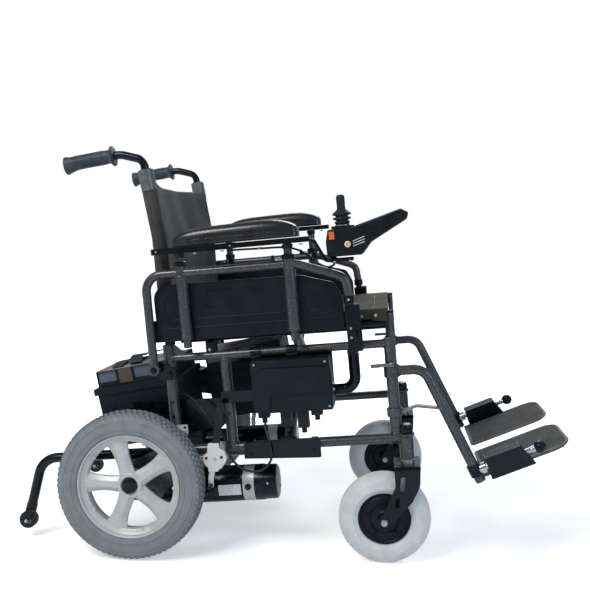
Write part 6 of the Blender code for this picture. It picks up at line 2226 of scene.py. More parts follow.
bm = bmesh.new()
half_tyre = [
    (0.0573, 0.0175),
    (0.0580, 0.0192),
    (0.0600, 0.0205),
    (0.0670, 0.0247),
    (0.0700, 0.0250),
    (0.0760, 0.0249),
    (0.0792, 0.0243),
    (0.0800, 0.0236),
    (0.0808, 0.0241),
    (0.0842, 0.0228),
    (0.0851, 0.0219),
    (0.0859, 0.0223),
    (0.0889, 0.0204),
    (0.0897, 0.0194),
    (0.0905, 0.0196),
    (0.0930, 0.0174),
    (0.0938, 0.0163),
    (0.0946, 0.0164),
    (0.0968, 0.0138),
    (0.0973, 0.0128),
    (0.0981, 0.0126),
    (0.0992, 0.0092),
    (0.0991, 0.0082),
    (0.0997, 0.0076),
    (0.0999, 0.0030),
]
turned(
    bm,
    caster_centre,
    (0, 1, 0),
    half_tyre + [(r, -y) for r, y in reversed(half_tyre)],
    128,
    0,
    True,
    down,
)
# Pale grey rubber: soft satin, rubbed duller round the tread
pale_tyre, tree, shader, place = new_finish("pale_grey_rubber")
wear = noise(tree, place, 0.024, 6.0, 0.6)
colour_by(tree, shader, wear, 0.35, 0.7, "#cbcecd", "#dde0df")
roughen(tree, shader, wear, 0.50, 0.66)
two_sides("caster_tyre_ribbed", bm, [pale_tyre], "caster_wheel", "caster_tyre", 24)


# Motors
# A geared motor lies along the frame on each side: a cast gearbox that the wheel's shaft comes out of,
# a rolled steel case with a plain band, and an end bell with its brake lever and plugs.
bm = bmesh.new()
gearbox = rounded(
    [(-0.425, 0.1496), (-0.325, 0.1396), (-0.325, 0.2346), (-0.425, 0.2346)], 0.018, 8
)
slab(bm, gearbox, "y", 0.150, 0.2320, 1, 0.0030, 3)
for n in (0.165, 0.186, 0.207):
    block(bm, (-0.4245, 0.1480, n), (-0.3255, 0.1515, n + 0.004), 1, 0.001)
screws(
    bm,
    [(s, 0.1485, n) for s in (-0.415, -0.335) for n in (0.158, 0.224)],
    (0, -1, 0),
    0.0088,
    0.0032,
    2,
)
turned(
    bm,
    (AXLE[0], 0.2310, AXLE[2]),
    (0, 1, 0),
    [(0.0086, 0), (0.0240, 0), (0.0236, 0.0016), (0.0150, 0.0024), (0.0086, 0.0026)],
    36,
    1,
)
rod(bm, (AXLE[0], 0.2200, AXLE[2]), (AXLE[0], 0.2985, AXLE[2]), 0.017, 2, 32)
motor_case = [
    (0.0200, -0.3460),
    (0.0355, -0.3450),
    (0.0360, -0.3430),
    (0.0360, -0.2650),
    (0.0396, -0.2612),
    (0.0400, -0.2590),
    (0.0400, -0.1560),
    (0.0396, -0.1545),
    (0.0392, -0.1540),
    (0.0396, -0.1535),
    (0.0400, -0.1500),
    (0.0400, -0.1005),
    (0.0386, -0.0990),
    (0.0384, -0.0740),
    (0.0372, -0.0712),
    (0.0345, -0.0697),
    (0.0120, -0.0695),
]
turned(bm, (0, 0.190, 0.1617), (1, 0, 0), motor_case, 72, 0)
band = [
    (0.0398, -0.1460),
    (0.0401, -0.1457),
    (0.0401, -0.1203),
    (0.0398, -0.1200),
    (0.0390, -0.1200),
    (0.0390, -0.1460),
]
turned(bm, (0, 0.190, 0.1617), (1, 0, 0), band, 72, 3, True)
for angle in (0.6, 2.2, 3.8, 5.4):
    spot = (-0.0712, 0.190 + 0.030 * math.cos(angle), 0.1617 + 0.030 * math.sin(angle))
    screws(bm, [spot], (1, 0, 0), 0.0070, 0.0028, 2)
brush_cap = [
    (0.0030, 0), (0.0066, 0), (0.0070, 0.0006), (0.0070, 0.0050), (0.0062, 0.0058), (0.0030, 0.0058)
]
turned(bm, (-0.1330, 0.2298, 0.1640), (0, 1, 0), brush_cap, 28, 4)
block(bm, (-0.1010, 0.2200, 0.1480), (-0.0760, 0.2310, 0.1740), 4, 0.0016)
screws(bm, [(-0.0885, 0.2316, 0.1700)], (0, 1, 0), 0.0062, 0.0022, 2, 16)
# A bare paper label is wrapped on the case's outer side
around = [math.radians(a) for a in (-24, -18, -12, -6, 0, 6, 12)]
sheets = []
for s in (-0.2010, -0.1500):
    outer = [(s, 0.190 + 0.0404 * math.cos(a), 0.1617 + 0.0404 * math.sin(a)) for a in around]
    inner = [
        (s, 0.190 + 0.0399 * math.cos(a), 0.1617 + 0.0399 * math.sin(a)) for a in reversed(around)
    ]
    sheets.append(outer + inner)
skin(bm, sheets, 5)
# White coated paper, a little grey at its rubbed places
paper_label, tree, shader, place = new_finish("white_coated_paper")
rubbed = noise(tree, place, 0.006, 5.0)
colour_by(tree, shader, rubbed, 0.4, 0.75, "#e6e6e3", "#cfcfcb")
roughen(tree, shader, rubbed, 0.40, 0.55)
# Sand-cast aluminium, painted black: the paint rounds over the casting's grain
cast_black, tree, shader, place = new_finish("black_painted_casting")
deep_black(shader)
sand = noise(tree, place, 0.0030, 3.0)
film = noise(tree, place, 0.030, 5.0)
colour_by(tree, shader, film, 0.35, 0.7, "#1b1d1f", "#2e3134")
roughen(tree, shader, film, 0.40, 0.58)
dent(tree, shader, sand.outputs[0], 0.45, 0.0005)
two_sides(
    "motor",
    bm,
    [gloss_black, cast_black, zinc, silver_nylon, nylon, paper_label],
    "frame",
    "gear_motor",
    34,
)


# Anti-tippers
# A gloss black tube on each side, clamped in the frame's socket and bent down behind the gearbox, with
# a small wheel between two pressed cheeks at its foot.
ANTI_Y = 0.215
foot_hub = Vector((-0.6615, ANTI_Y, 0.1091))
knee = Vector((-0.612, ANTI_Y, 0.250))
drop = (foot_hub - knee).normalized()
bm = bmesh.new()
route = bent([(-0.290, ANTI_Y, 0.250), knee, foot_hub - drop * 0.0235], (0.050,), 12)
tube(bm, route, 0.022, 0)
turned(
    bm,
    foot_hub - drop * 0.0400,
    drop,
    [
        (0.0108, 0),
        (0.0118, 0.0004),
        (0.0122, 0.0014),
        (0.0122, 0.0150),
        (0.0116, 0.0160),
        (0.0050, 0.0162),
    ],
    32,
    2,
)
down_2d = Vector((drop.x, drop.z))
beside = Vector((-down_2d.y, down_2d.x))
hub_2d = Vector((foot_hub.x, foot_hub.z))
base_2d = hub_2d - down_2d * 0.030
tip_2d = hub_2d + down_2d * 0.007
cheek_line = [
    base_2d + beside * 0.008,
    base_2d - beside * 0.008,
    tip_2d - beside * 0.007,
    tip_2d + beside * 0.007,
]
cheek = rounded([(p.x, p.y) for p in cheek_line], [0.002, 0.002, 0.0064, 0.0064], 6)
for low in (ANTI_Y - 0.0138, ANTI_Y + 0.0113):
    slab(bm, cheek, "y", low, low + 0.0025, 0, 0.0005)
bridge = [
    base_2d + beside * 0.008,
    base_2d - beside * 0.008,
    base_2d - beside * 0.008 + down_2d * 0.0085,
    base_2d + beside * 0.008 + down_2d * 0.0085,
]
slab(bm, [(p.x, p.y) for p in bridge], "y", ANTI_Y - 0.0128, ANTI_Y + 0.0128, 0)
for side in (-1, 1):
    screws(bm, [foot_hub + Vector((0, side * 0.0148, 0))], (0, side, 0), 0.0100, 0.0034, 1, 20)
two_sides(
    "anti_tipper_tube", bm, [gloss_black, zinc, rubber], "frame", "anti_tip_tube"
)

bm = bmesh.new()
small_tyre = [
    (0.0090, -0.0100),
    (0.0118, -0.0108),
    (0.0172, -0.0110),
    (0.0192, -0.0098),
    (0.0200, -0.0070),
    (0.0200, 0.0070),
    (0.0192, 0.0098),
    (0.0172, 0.0110),
    (0.0118, 0.0108),
    (0.0090, 0.0100),
]
turned(bm, foot_hub, (0, 1, 0), small_tyre, 48, 0, True)
small_hub = [
    (0.0034, -0.0109),
    (0.0076, -0.0109),
    (0.0084, -0.0102),
    (0.0092, -0.0090),
    (0.0092, 0.0090),
    (0.0084, 0.0102),
    (0.0076, 0.0109),
    (0.0034, 0.0109),
]
turned(bm, foot_hub, (0, 1, 0), small_hub, 36, 1, True)
two_sides(
    "anti_tipper_wheel",
    bm,
    [rubber, silver_nylon],
    "anti_tip_wheel",
    "anti_tip_wheel",
)


# Batteries
# Two plastic boxes under the seat, one behind the other so that they pass when the chair folds. Each
# has a lift-off lid with a low ridged roof and pockets for fingers; webbing lies on the right one.
# Coarse-textured black polypropylene: greyer than the nylon, with scuffs from being carried
textured_black, tree, shader, place = new_finish("textured_black_polypropylene")
deep_black(shader)
leathery = noise(tree, place, 0.0028, 3.0)
scuffs = noise(tree, place, 0.045, 7.0, 0.66)
colour_by(tree, shader, scuffs, 0.38, 0.72, "#0f1216", "#1a1e23")
roughen(tree, shader, scuffs, 0.42, 0.60)
dent(tree, shader, leathery.outputs[0], 0.35, 0.0004)

# Black polypropylene webbing, woven flat: its ribs run across the strap 2 mm apart
webbing, tree, shader, place = new_finish("black_polypropylene_webbing")
deep_black(shader)
picks = add(
    tree, "ShaderNodeTexWave", {
        "Vector": place, "Scale": 1 / 0.0128, "Distortion": 0.4
    }, bands_direction="Z"
)
fuzz = noise(tree, place, 0.006, 4.0)
colour_by(tree, shader, fuzz, 0.35, 0.7, "#0b0c0e", "#17191b")
shader.inputs["Roughness"].default_value = 0.72
shader.inputs["Sheen Weight"].default_value = 0.2
dent(tree, shader, picks.outputs["Fac"], 0.5, 0.0004)

# Slate blue-grey, satin, on plates in the finger pockets: a painted reflection of the bluish room light on
# these faces
pocket_reflection_paint, tree, shader, place = new_finish("painted_reflection_pocket")
reflection_mottle = noise(tree, place, 0.020, 5.0)
colour_by(tree, shader, reflection_mottle, 0.35, 0.7, "#4c5a66", "#5c6b78")
roughen(tree, shader, reflection_mottle, 0.40, 0.55)

# Brown card label, left bare: matt paper with a faint fibre
brown_label, tree, shader, place = new_finish("brown_card_label")
fibre = noise(tree, place, 0.003, 6.0)
colour_by(tree, shader, fibre, 0.35, 0.7, "#4a3f36", "#5a4e44")
roughen(tree, shader, fibre, 0.62, 0.80)

# The lid's roof is painted a pale mottled grey, as painted light where the light past the seat falls on its
# top
painted_lit_roof, tree, shader, place = new_finish("painted_lit_lid_roof")
roof_light_mottle = noise(tree, place, 0.050, 6.0)
colour_by(tree, shader, roof_light_mottle, 0.35, 0.7, "#6c6a6b", "#a09da0")
roughen(tree, shader, roof_light_mottle, 0.45, 0.65)

BOX_H, LIP = 0.116, 0.016
BOX_FOOT = BOX_H + 0.0003
for word, hand, rear in (("left", 1, (-0.2495, 0.2660)), ("right", -1, (-0.4625, 0.2660))):
    lean = BOX_LEAN

    def on_box(a, b, rear=rear, lean=lean):
        """A place on the leaning box: a forward from its rear foot, b up its wall."""
        return (
            rear[0] + a * math.cos(lean) - b * math.sin(lean),
            rear[1] + a * math.sin(lean) + b * math.cos(lean),
        )

    def on_box_slab(bm, outline, low, high, look=0, ease=0.0012, segments=2):
        slab(bm, [on_box(a, b) for a, b in outline], "y", low, high, look, ease, segments)

    bm = bmesh.new()
    on_box_slab(
        bm,
        rounded(
            [(0, 0), (0.196, 0), (0.200, BOX_H), (-0.004, BOX_H)], [0.008, 0.008, 0.002, 0.002], 4
        ),
        0.018,
        0.178,
        0,
        0.0040,
        3,
    )
    for a in (0.030, 0.066, 0.102, 0.138):
        on_box_slab(
            bm,
            [(a, 0.018), (a + 0.004, 0.018), (a + 0.004, 0.100), (a, 0.100)],
            0.1765,
            0.1790,
            0,
            0.0009,
        )
    plug_s, plug_n = on_box(0.170, 0.095)
    block(
        bm,
        (plug_s - 0.014, 0.1760, plug_n - 0.010),
        (plug_s + 0.014, 0.1840, plug_n + 0.010),
        0,
        0.0014,
    )
    block(
        bm,
        (plug_s - 0.011, 0.1835, plug_n - 0.007),
        (plug_s + 0.011, 0.1858, plug_n + 0.007),
        0,
        0.0008,
    )
    for k in (-1, 1):
        block(
            bm,
            (plug_s + k * 0.005 - 0.0022, 0.1852, plug_n - 0.004),
            (plug_s + k * 0.005 + 0.0022, 0.1860, plug_n + 0.004),
            1,
            0.0004,
        )
    piece(
        f"battery_case_{word}",
        bm,
        [textured_black, zinc],
        f"frame_{word}",
        [f"battery_box_{word}"],
        hand < 0,
    )

    bm = bmesh.new()
    lip = [(-0.010, BOX_FOOT), (0.206, BOX_FOOT), (0.206, BOX_FOOT + LIP), (-0.010, BOX_FOOT + LIP)]
    on_box_slab(bm, rounded(lip, 0.003, 3), 0.012, 0.184, 0, 0.0022, 3)
    wall_top = BOX_FOOT + 0.0552
    # The lid's wall stands back in each finger pocket; between them is a bare brown label
    pockets = ((0.0010, 0.0470), (0.0880, 0.1340))
    label = (0.0535, 0.0850)
    core = [
        (0.0, BOX_FOOT + LIP - 0.002),
        (0.196, BOX_FOOT + LIP - 0.002),
        (0.196, wall_top),
        (0.0, wall_top - 0.002),
    ]
    on_box_slab(bm, core, 0.0285, 0.1675, 0, 0.0010, 1)
    for low, high in ((0.022, 0.030), (0.166, 0.174)):
        sill = [
            (0.0, BOX_FOOT + LIP - 0.002),
            (0.196, BOX_FOOT + LIP - 0.002),
            (0.196, BOX_FOOT + 0.0262),
            (0.0, BOX_FOOT + 0.0262),
        ]
        on_box_slab(bm, sill, low, high, 0, 0.0008, 1)
        cornice = [
            (0.0, wall_top - 0.0036),
            (0.196, wall_top - 0.0016),
            (0.196, wall_top),
            (0.0, wall_top - 0.002),
        ]
        on_box_slab(bm, cornice, low, high, 0, 0.0008, 1)
        for start, end in ((0.0, 0.0020), (0.0465, 0.0885), (0.1335, 0.1960)):
            pier = [
                (start, BOX_FOOT + 0.0240),
                (end, BOX_FOOT + 0.0240),
                (end, wall_top - 0.0015),
                (start, wall_top - 0.0020),
            ]
            on_box_slab(bm, pier, low, high, 0, 0.0008, 1)
    # The plates in the pockets take finish 2, the slate blue-grey painted reflection
    for low, high in ((0.0266, 0.0288), (0.1672, 0.1694)):
        for start, end in pockets:
            plate = [
                (start, BOX_FOOT + 0.0255),
                (end, BOX_FOOT + 0.0255),
                (end, wall_top - 0.003),
                (start, wall_top - 0.0035),
            ]
            on_box_slab(bm, plate, low, high, 2, 0.0004, 1)
    for low in (0.0214, 0.1738):
        paper = [
            (label[0], BOX_FOOT + 0.0200),
            (label[1], BOX_FOOT + 0.0200),
            (label[1], wall_top - 0.002),
            (label[0], wall_top - 0.002),
        ]
        on_box_slab(bm, paper, low, low + 0.0008, 3, 0.0002, 1)
    # Its roof rises a little from every side, with ridges along it
    # Finish 4 on the roof and its ridges is the pale painted light
    roof_rings = []
    for inset, rise in ((0.0, -0.0012), (0.0012, 0.0), (0.0200, 0.0028), (0.0220, 0.0028)):
        corners = [
            (0.0 + inset, 0.022 + inset),
            (0.196 - inset, 0.022 + inset),
            (0.196 - inset, 0.174 - inset),
            (0.0 + inset, 0.174 - inset),
        ]
        ring = []
        for a, y in rounded(corners, 0.005, 3):
            s, n = on_box(a, wall_top - 0.0005 + rise)
            ring.append((s, y, n))
        roof_rings.append(ring)
    skin(bm, roof_rings, 4)
    for k in range(8):
        y = 0.050 + 0.0137 * k
        ridge = [
            (0.026, wall_top + 0.0018),
            (0.170, wall_top + 0.0018),
            (0.170, wall_top + 0.0034),
            (0.026, wall_top + 0.0034),
        ]
        on_box_slab(bm, ridge, y - 0.0022, y + 0.0022, 4, 0.0006, 1)
    # Carrying straps of webbing lie across the roof in loose folds
    if hand < 0:
        for start, wide, lift, phase in ((0.050, 0.026, 0.0, 0.4), (0.086, 0.030, 0.004, 1.7)):
            rows = []
            for i in range(41):
                y = 0.024 + 0.148 * i / 40
                share = i / 40
                heap = wall_top + 0.0040 + lift + (
                    0.0080 + 0.0040 * math.sin(9 * share + phase)
                ) * math.sin(math.pi * share)
                drift = 0.010 * math.sin(4.2 * share + phase)
                rows.append(
                    [
                        (a, y, heap + 0.0012 * math.sin(30 * (a - start) + 5 * share))
                        for a in (
                            start + drift,
                            start + drift + wide * 0.33,
                            start + drift + wide * 0.66,
                            start + drift + wide,
                        )
                    ]
                )
            loops = []
            for line in rows:
                upper = [(*on_box(a, b), y) for a, y, b in line]
                lower = [(*on_box(a, b - 0.0016), y) for a, y, b in reversed(line)]
                loops.append([(s, y, n) for s, n, y in upper + lower])
            skin(bm, loops, 1)
    piece(
        f"battery_lid_shell_{word}",
        bm,
        [textured_black, webbing, pocket_reflection_paint, brown_label, painted_lit_roof],
        f"battery_lid_{word}",
        [f"battery_lid_{word}"],
        hand < 0,
    )


# Leg hangers
# A bent tube that hooks over the front post in two sleeves, with a flat bright strut below, a chrome
# latch on top and the boss that the footplate's pin is pressed into.
KNEE = (0.2735, 0.404)
TOE = Vector((0.3757, FRAME_Y, 0.1531))
PIN_0 = (0.3774, 0.1800)
PIN_TILT = math.radians(18.0)
bm = bmesh.new()
post = (FRONT_POST[0], FRAME_Y)
route = bent([(post[0] + 0.010, FRAME_Y, KNEE[1]), (KNEE[0], FRAME_Y, KNEE[1]), TOE], (0.036,), 10)
tube(bm, route, 0.0224, 0)
shin = (TOE - Vector((KNEE[0], FRAME_Y, KNEE[1]))).normalized()
for n, half in ((KNEE[1], 0.013), (0.3145, 0.009)):
    wall = [
        (0.0136, -half),
        (0.0162, -half),
        (0.0168, -half + 0.0008),
        (0.0168, half - 0.0008),
        (0.0162, half),
        (0.0136, half),
    ]
    turned(bm, (*post, n), (0, 0, 1), wall, 40, 0, True)
    weld(bm, (post[0] + 0.0165, FRAME_Y, n), (1, 0, 0), 0.0224 if n > 0.35 else 0.010)
strut = [
    (post[0] + 0.014, 0.3115),
    (0.2520, 0.3225),
    (0.3080, 0.3135),
    (0.3080, 0.3185),
    (0.2520, 0.3275),
    (post[0] + 0.014, 0.3165),
]
slab(bm, strut, "y", FRAME_Y - 0.008, FRAME_Y + 0.008, 4, 0.0012, 2)
turned(
    bm,
    TOE - shin * 0.040,
    shin,
    [
        (0.0113, 0),
        (0.0140, 0),
        (0.0146, 0.0008),
        (0.0146, 0.0252),
        (0.0140, 0.026),
        (0.0113, 0.026),
    ],
    36,
    3,
    True,
)
rod(bm, TOE - shin * 0.0135, TOE - shin * 0.0002, 0.0212, 3, 32, 0.002)


def by_pin(a, b):
    """A place beside the footplate's pin: a along it from its start, b square to it and up."""
    return (
        PIN_0[0] + a * math.cos(PIN_TILT) - b * math.sin(PIN_TILT),
        PIN_0[1] + a * math.sin(PIN_TILT) + b * math.cos(PIN_TILT),
    )


along_pin = Vector((math.cos(PIN_TILT), 0, math.sin(PIN_TILT)))
boss_start = by_pin(-0.016, 0)
turned(
    bm,
    (boss_start[0], FRAME_Y, boss_start[1]),
    along_pin,
    [
        (0.0064, 0),
        (0.0112, 0),
        (0.0120, 0.0008),
        (0.0120, 0.0268),
        (0.0112, 0.0278),
        (0.0064, 0.0278),
    ],
    32,
    1,
    True,
)
lug = (post[0], FRAME_Y + 0.0203)
block(
    bm,
    (lug[0] - 0.006, FRAME_Y + 0.0140, 0.4070),
    (lug[0] + 0.006, lug[1] + 0.005, 0.4170),
    0,
    0.001,
)
rod(bm, (*lug, 0.4130), (*lug, 0.4235), 0.005, 2)
screws(bm, [(*lug, 0.4222)], (0, 0, 1), 0.0100, 0.0026, 2, 20)
# Chrome plate on steel: a bright mirror, a little clouded by handling
chrome, tree, shader, place = new_finish("bright_chrome_plate")
haze = noise(tree, place, 0.018, 5.0)
colour_by(tree, shader, haze, 0.35, 0.7, "#c2c4c5", "#dcdddd")
shader.inputs["Metallic"].default_value = 1.0
roughen(tree, shader, haze, 0.10, 0.22)
# Brushed steel strap, clear-coated: streaked grey, so that it stays darker than a mirror would
brushed, tree, shader, place = new_finish("brushed_steel_strap")
streaks = noise(tree, place, 0.006, 6.0)
colour_by(tree, shader, streaks, 0.35, 0.7, "#6f6d68", "#94928c")
shader.inputs["Metallic"].default_value = 0.6
roughen(tree, shader, streaks, 0.30, 0.46)
two_sides(
    "hanger_tube", bm, [enamel, chrome, zinc, nylon, brushed], "hanger", "hanger"
)

bm = bmesh.new()
blade = rounded(
    [
        (lug[0] + 0.007, lug[1] - 0.006),
        (lug[0] + 0.007, lug[1] + 0.006),
        (lug[0] - 0.012, lug[1] + 0.006),
        (lug[0] - 0.040, lug[1] + 0.012),
        (lug[0] - 0.044, lug[1] + 0.000),
        (lug[0] - 0.020, lug[1] - 0.004),
    ],
    0.003,
    5,
)
slab(bm, blade, "n", 0.4173, 0.4212, 0, 0.0010)
slab(bm, blade, "n", 0.4205, 0.4236, 0, 0.0012)
turned(
    bm,
    (*lug, 0.4204),
    (0, 0, 1),
    [(0.0030, 0), (0.0062, 0), (0.0064, 0.0004), (0.0060, 0.0009), (0.0030, 0.0009)],
    28,
    0,
)
two_sides("latch_blade", bm, [brushed], "hanger_latch", "hanger_latch")


# Footplates
# A ribbed nylon plate on a hinge block that turns up round a chrome pin with a black ball on its end.
bm = bmesh.new()
first, last = by_pin(-0.018, 0), by_pin(0.1235, 0)
rod(bm, (first[0], FRAME_Y, first[1]), (last[0], FRAME_Y, last[1]), 0.012, 0, 28)
for a in (0.1138, 0.1182):
    ring_at = by_pin(a, 0)
    turned(
        bm,
        (ring_at[0], FRAME_Y, ring_at[1]),
        along_pin,
        [(0.0058, 0), (0.0074, 0.0004), (0.0078, 0.0018), (0.0074, 0.0034), (0.0058, 0.0038)],
        28,
        0,
    )
ball_at = by_pin(0.132, 0)
ball = [
    (0.0135 * math.sin(math.pi * k / 20), -0.0135 * math.cos(math.pi * k / 20))
    for k in range(1, 20)
]
turned(bm, (ball_at[0], FRAME_Y, ball_at[1]), along_pin, ball, 36, 1)
two_sides("footplate_rod", bm, [chrome, nylon], "hanger", "footplate_pin")

bm = bmesh.new()
PLATE_TOP, PLATE_LOW = -0.021, -0.030
# The plate is drawn in plan, with its free corners rounded, and then leaned along its pin
plan = rounded(
    [(-0.002, 0.034), (0.1995, 0.034), (0.1995, 0.215), (-0.002, 0.215)],
    [0.010, 0.036, 0.040, 0.004],
    9,
)
middle_plan = Vector((0.100, 0.125))
rings = []
for level, inset in (
    (PLATE_LOW + 0.0020, 0.0030),
    (PLATE_LOW + 0.0034, 0.0004),
    (PLATE_TOP - 0.0012, 0.0),
    (PLATE_TOP, 0.0013),
):
    ring = []
    for a, y in plan:
        spot = Vector((a, y))
        spot += (middle_plan - spot).normalized() * inset
        # Its toe end is turned up a little, and thins
        lift_up = 0.0020 * max(0.0, (spot.x - 0.170) / 0.030) ** 2
        s, n = by_pin(spot.x, level + lift_up if level < PLATE_TOP - 0.003 else level)
        ring.append((s, spot.y, n))
    rings.append(ring)
skin(bm, rings, 0)
for k in range(26):
    y = 0.0400 + 0.0066 * k
    inner = min(1.0, max(0.0, (y - 0.034) / 0.036)), min(1.0, max(0.0, (0.215 - y) / 0.040))
    pull_in = 0.036 * (
        1 - math.sqrt(1 - (1 - inner[0]) ** 2)
    ) + 0.040 * (1 - math.sqrt(1 - (1 - inner[1]) ** 2))
    start, end = 0.006, 0.194 - pull_in
    low = by_pin(start, PLATE_TOP + 0.0004), by_pin(end, PLATE_TOP + 0.0004)
    rod(bm, (low[0][0], y, low[0][1]), (low[1][0], y, low[1][1]), 0.0024, 0, 8, 0.0006)
for a, b in ((0.020, PLATE_LOW + 0.001), (0.100, PLATE_LOW + 0.001), (0.178, PLATE_LOW + 0.001)):
    near = by_pin(a, b), by_pin(a + 0.004, b + 0.002)
    block(
        bm, (near[0][0], 0.050, near[0][1]), (near[1][0], 0.205, near[1][1] + 0.001), 0, 0.0006, 1
    )
hinge = rounded(
    [(0.014, -0.028), (0.112, -0.028), (0.096, 0.019), (0.016, 0.019)],
    [0.003, 0.003, 0.005, 0.005],
    5,
)
for low, high in ((0.1985, 0.2287), (0.2433, 0.2462)):
    slab(bm, [by_pin(a, b) for a, b in hinge], "y", low, high, 1, 0.0016, 3)
for over in (True, False):
    b0, b1 = (0.0074, 0.019) if over else (-0.028, -0.0074)
    share_0, share_1 = (b0 + 0.028) / 0.047, (b1 + 0.028) / 0.047
    part = [
        (0.014 + 0.002 * share_0, b0),
        (0.112 - 0.016 * share_0, b0),
        (0.112 - 0.016 * share_1, b1),
        (0.014 + 0.002 * share_1, b1),
    ]
    slab(bm, [by_pin(a, b) for a, b in part], "y", 0.2270, 0.2450, 1, 0.0010, 2)
# A raised border on the block's outer face, and two screws through it from below
border = rounded([(0.024, -0.020), (0.100, -0.020), (0.088, 0.012), (0.025, 0.012)], 0.003, 4)
outer_ring = [by_pin(a, b) for a, b in border]
for start, end in zip(outer_ring, outer_ring[1:] + outer_ring[:1]):
    rod(bm, (start[0], 0.2463, start[1]), (end[0], 0.2463, end[1]), 0.0012, 1, 6, 0.0002)
under = [by_pin(a, -0.0292) for a in (0.034, 0.092)]
screws(bm, [(s, 0.216, n) for s, n in under], (0, 0, -1), 0.0086, 0.0030, 2, 20)
# Grey moulded nylon of the tread, matt and dusty, with a check of raised squares 3 mm apart
tread_grey, tree, shader, place = new_finish("grey_moulded_tread")
dust = noise(tree, place, 0.040, 6.0)
check = add(tree, "ShaderNodeTexChecker", {"Vector": place, "Scale": 1 / 0.003})
tone = add(
    tree,
    "ShaderNodeMath",
    {
        0: spread(tree, dust.outputs[0], 0.3, 0.7, 0.2, 0.75),
        1: spread(tree, check.outputs[1], 0, 1, 0, 0.25),
    },
    operation="ADD",
)
tree.links.new(blended(tree, tone.outputs[0], "#2c2c2b", "#6a6a67"), shader.inputs["Base Color"])
roughen(tree, shader, dust, 0.42, 0.6)
dent(tree, shader, check.outputs[1], 0.4, 0.0003)
two_sides(
    "footplate_board",
    bm,
    [tread_grey, gloss_black, zinc],
    "footplate",
    "footplate",
    30,
)


# Controller
# A black ribbed plastic box with four plugs in round ribbed sleeves below, hung from a plate that is
# clamped under the upper rail; a tube runs from the plate forward and up to a clasp.
# Black ABS of the controller: a fine matt grain that takes a blue light from the room
matt_abs, tree, shader, place = new_finish("matt_moulded_abs")
deep_black(shader)
grain = noise(tree, place, 0.0016, 3.0)
dull = noise(tree, place, 0.060, 6.0)
colour_by(tree, shader, dull, 0.35, 0.7, "#101216", "#1a1d21")
roughen(tree, shader, dull, 0.36, 0.5)
dent(tree, shader, grain.outputs[0], 0.2, 0.0002)

bm = bmesh.new()
s0, s1, n0, n1 = -0.0944, 0.0770, 0.3370, 0.4514
body_line = [
    (s0, n0 + 0.008),
    (s0 + 0.034, n0),
    (s1, n0),
    (s1 + 0.0012, 0.409),
    (s1 - 0.003, n1 - 0.002),
    (s0, n1),
]
body = rounded(body_line, 0.005, 5)
slab(bm, body, "y", 0.2125, 0.2787, 0, 0.0034, 3)
# A raised band runs back along the case and turns down over the first plug in a wide bend
relief_line = [
    (0.0752, 0.4312),
    (-0.0906, 0.4345),
    (-0.0931, 0.3452),
    (-0.0597, 0.3402),
    (-0.0560, 0.3797),
    (0.0740, 0.3768),
]
relief = rounded(relief_line, [0.003, 0.036, 0.003, 0.003, 0.010, 0.003], 9)
slab(bm, relief, "y", 0.2770, 0.2846, 0, 0.0036, 4)
# Fins under the band, and two screws in the case's front end
for k in range(4):
    n = n0 + 0.0060 + 0.0078 * k
    block(bm, (s0 + 0.046, 0.2780, n), (s1 - 0.050, 0.2796, n + 0.0026), 0, 0.0006, 1)
for n in (0.3790, 0.3930):
    screws(bm, [(s1 + 0.0012, 0.2660, n)], (1, 0, 0), 0.0080, 0.0040, 1, 16)
# The joint between the case's halves, and the screws along the flange
seam = rounded(
    [
        (p[0] + (0.0007 if p[0] > 0 else -0.0007), p[1] + (0.0007 if p[1] > 0.39 else -0.0007))
        for p in body_line
    ],
    0.005,
    5,
)
slab(bm, seam, "y", 0.2440, 0.2452, 0, 0.0004, 1)
screws(
    bm,
    [
        (s0 + 0.008, 0.2786, n1 - 0.008),
        (s1 - 0.011, 0.2786, n1 - 0.010),
        (s1 - 0.008, 0.2786, n0 + 0.008),
    ],
    (0, 1, 0),
    0.0058,
    0.0018,
    1,
    16,
)
for s, low in ((-0.0769, 0.3120), (-0.0287, 0.2912), (0.0079, 0.2856), (0.0386, 0.3117)):
    block(bm, (s - 0.012, 0.2440, low + 0.012), (s + 0.012, 0.2640, n0 + 0.010), 2, 0.0022, 3)
    for n in (low + 0.0160, low + 0.0195):
        block(bm, (s - 0.0124, 0.2436, n), (s + 0.0124, 0.2644, n + 0.0014), 2, 0.0005, 1)
    collar = [(0.0046, 0), (0.0056, 0.0003), (0.0060, 0.0012)]
    for k in range(3):
        low_ring = 0.0030 + 0.0030 * k
        collar += [
            (0.0060, low_ring),
            (0.0051, low_ring + 0.0006),
            (0.0051, low_ring + 0.0016),
            (0.0060, low_ring + 0.0022),
        ]
    collar += [(0.0060, 0.0130), (0.0050, 0.0140)]
    turned(bm, (s, 0.254, low), (0, 0, 1), collar, 24, 2)
piece(
    "controller_case",
    bm,
    [matt_abs, zinc, rubber],
    "frame_right",
    ["controller_module"],
    True,
)

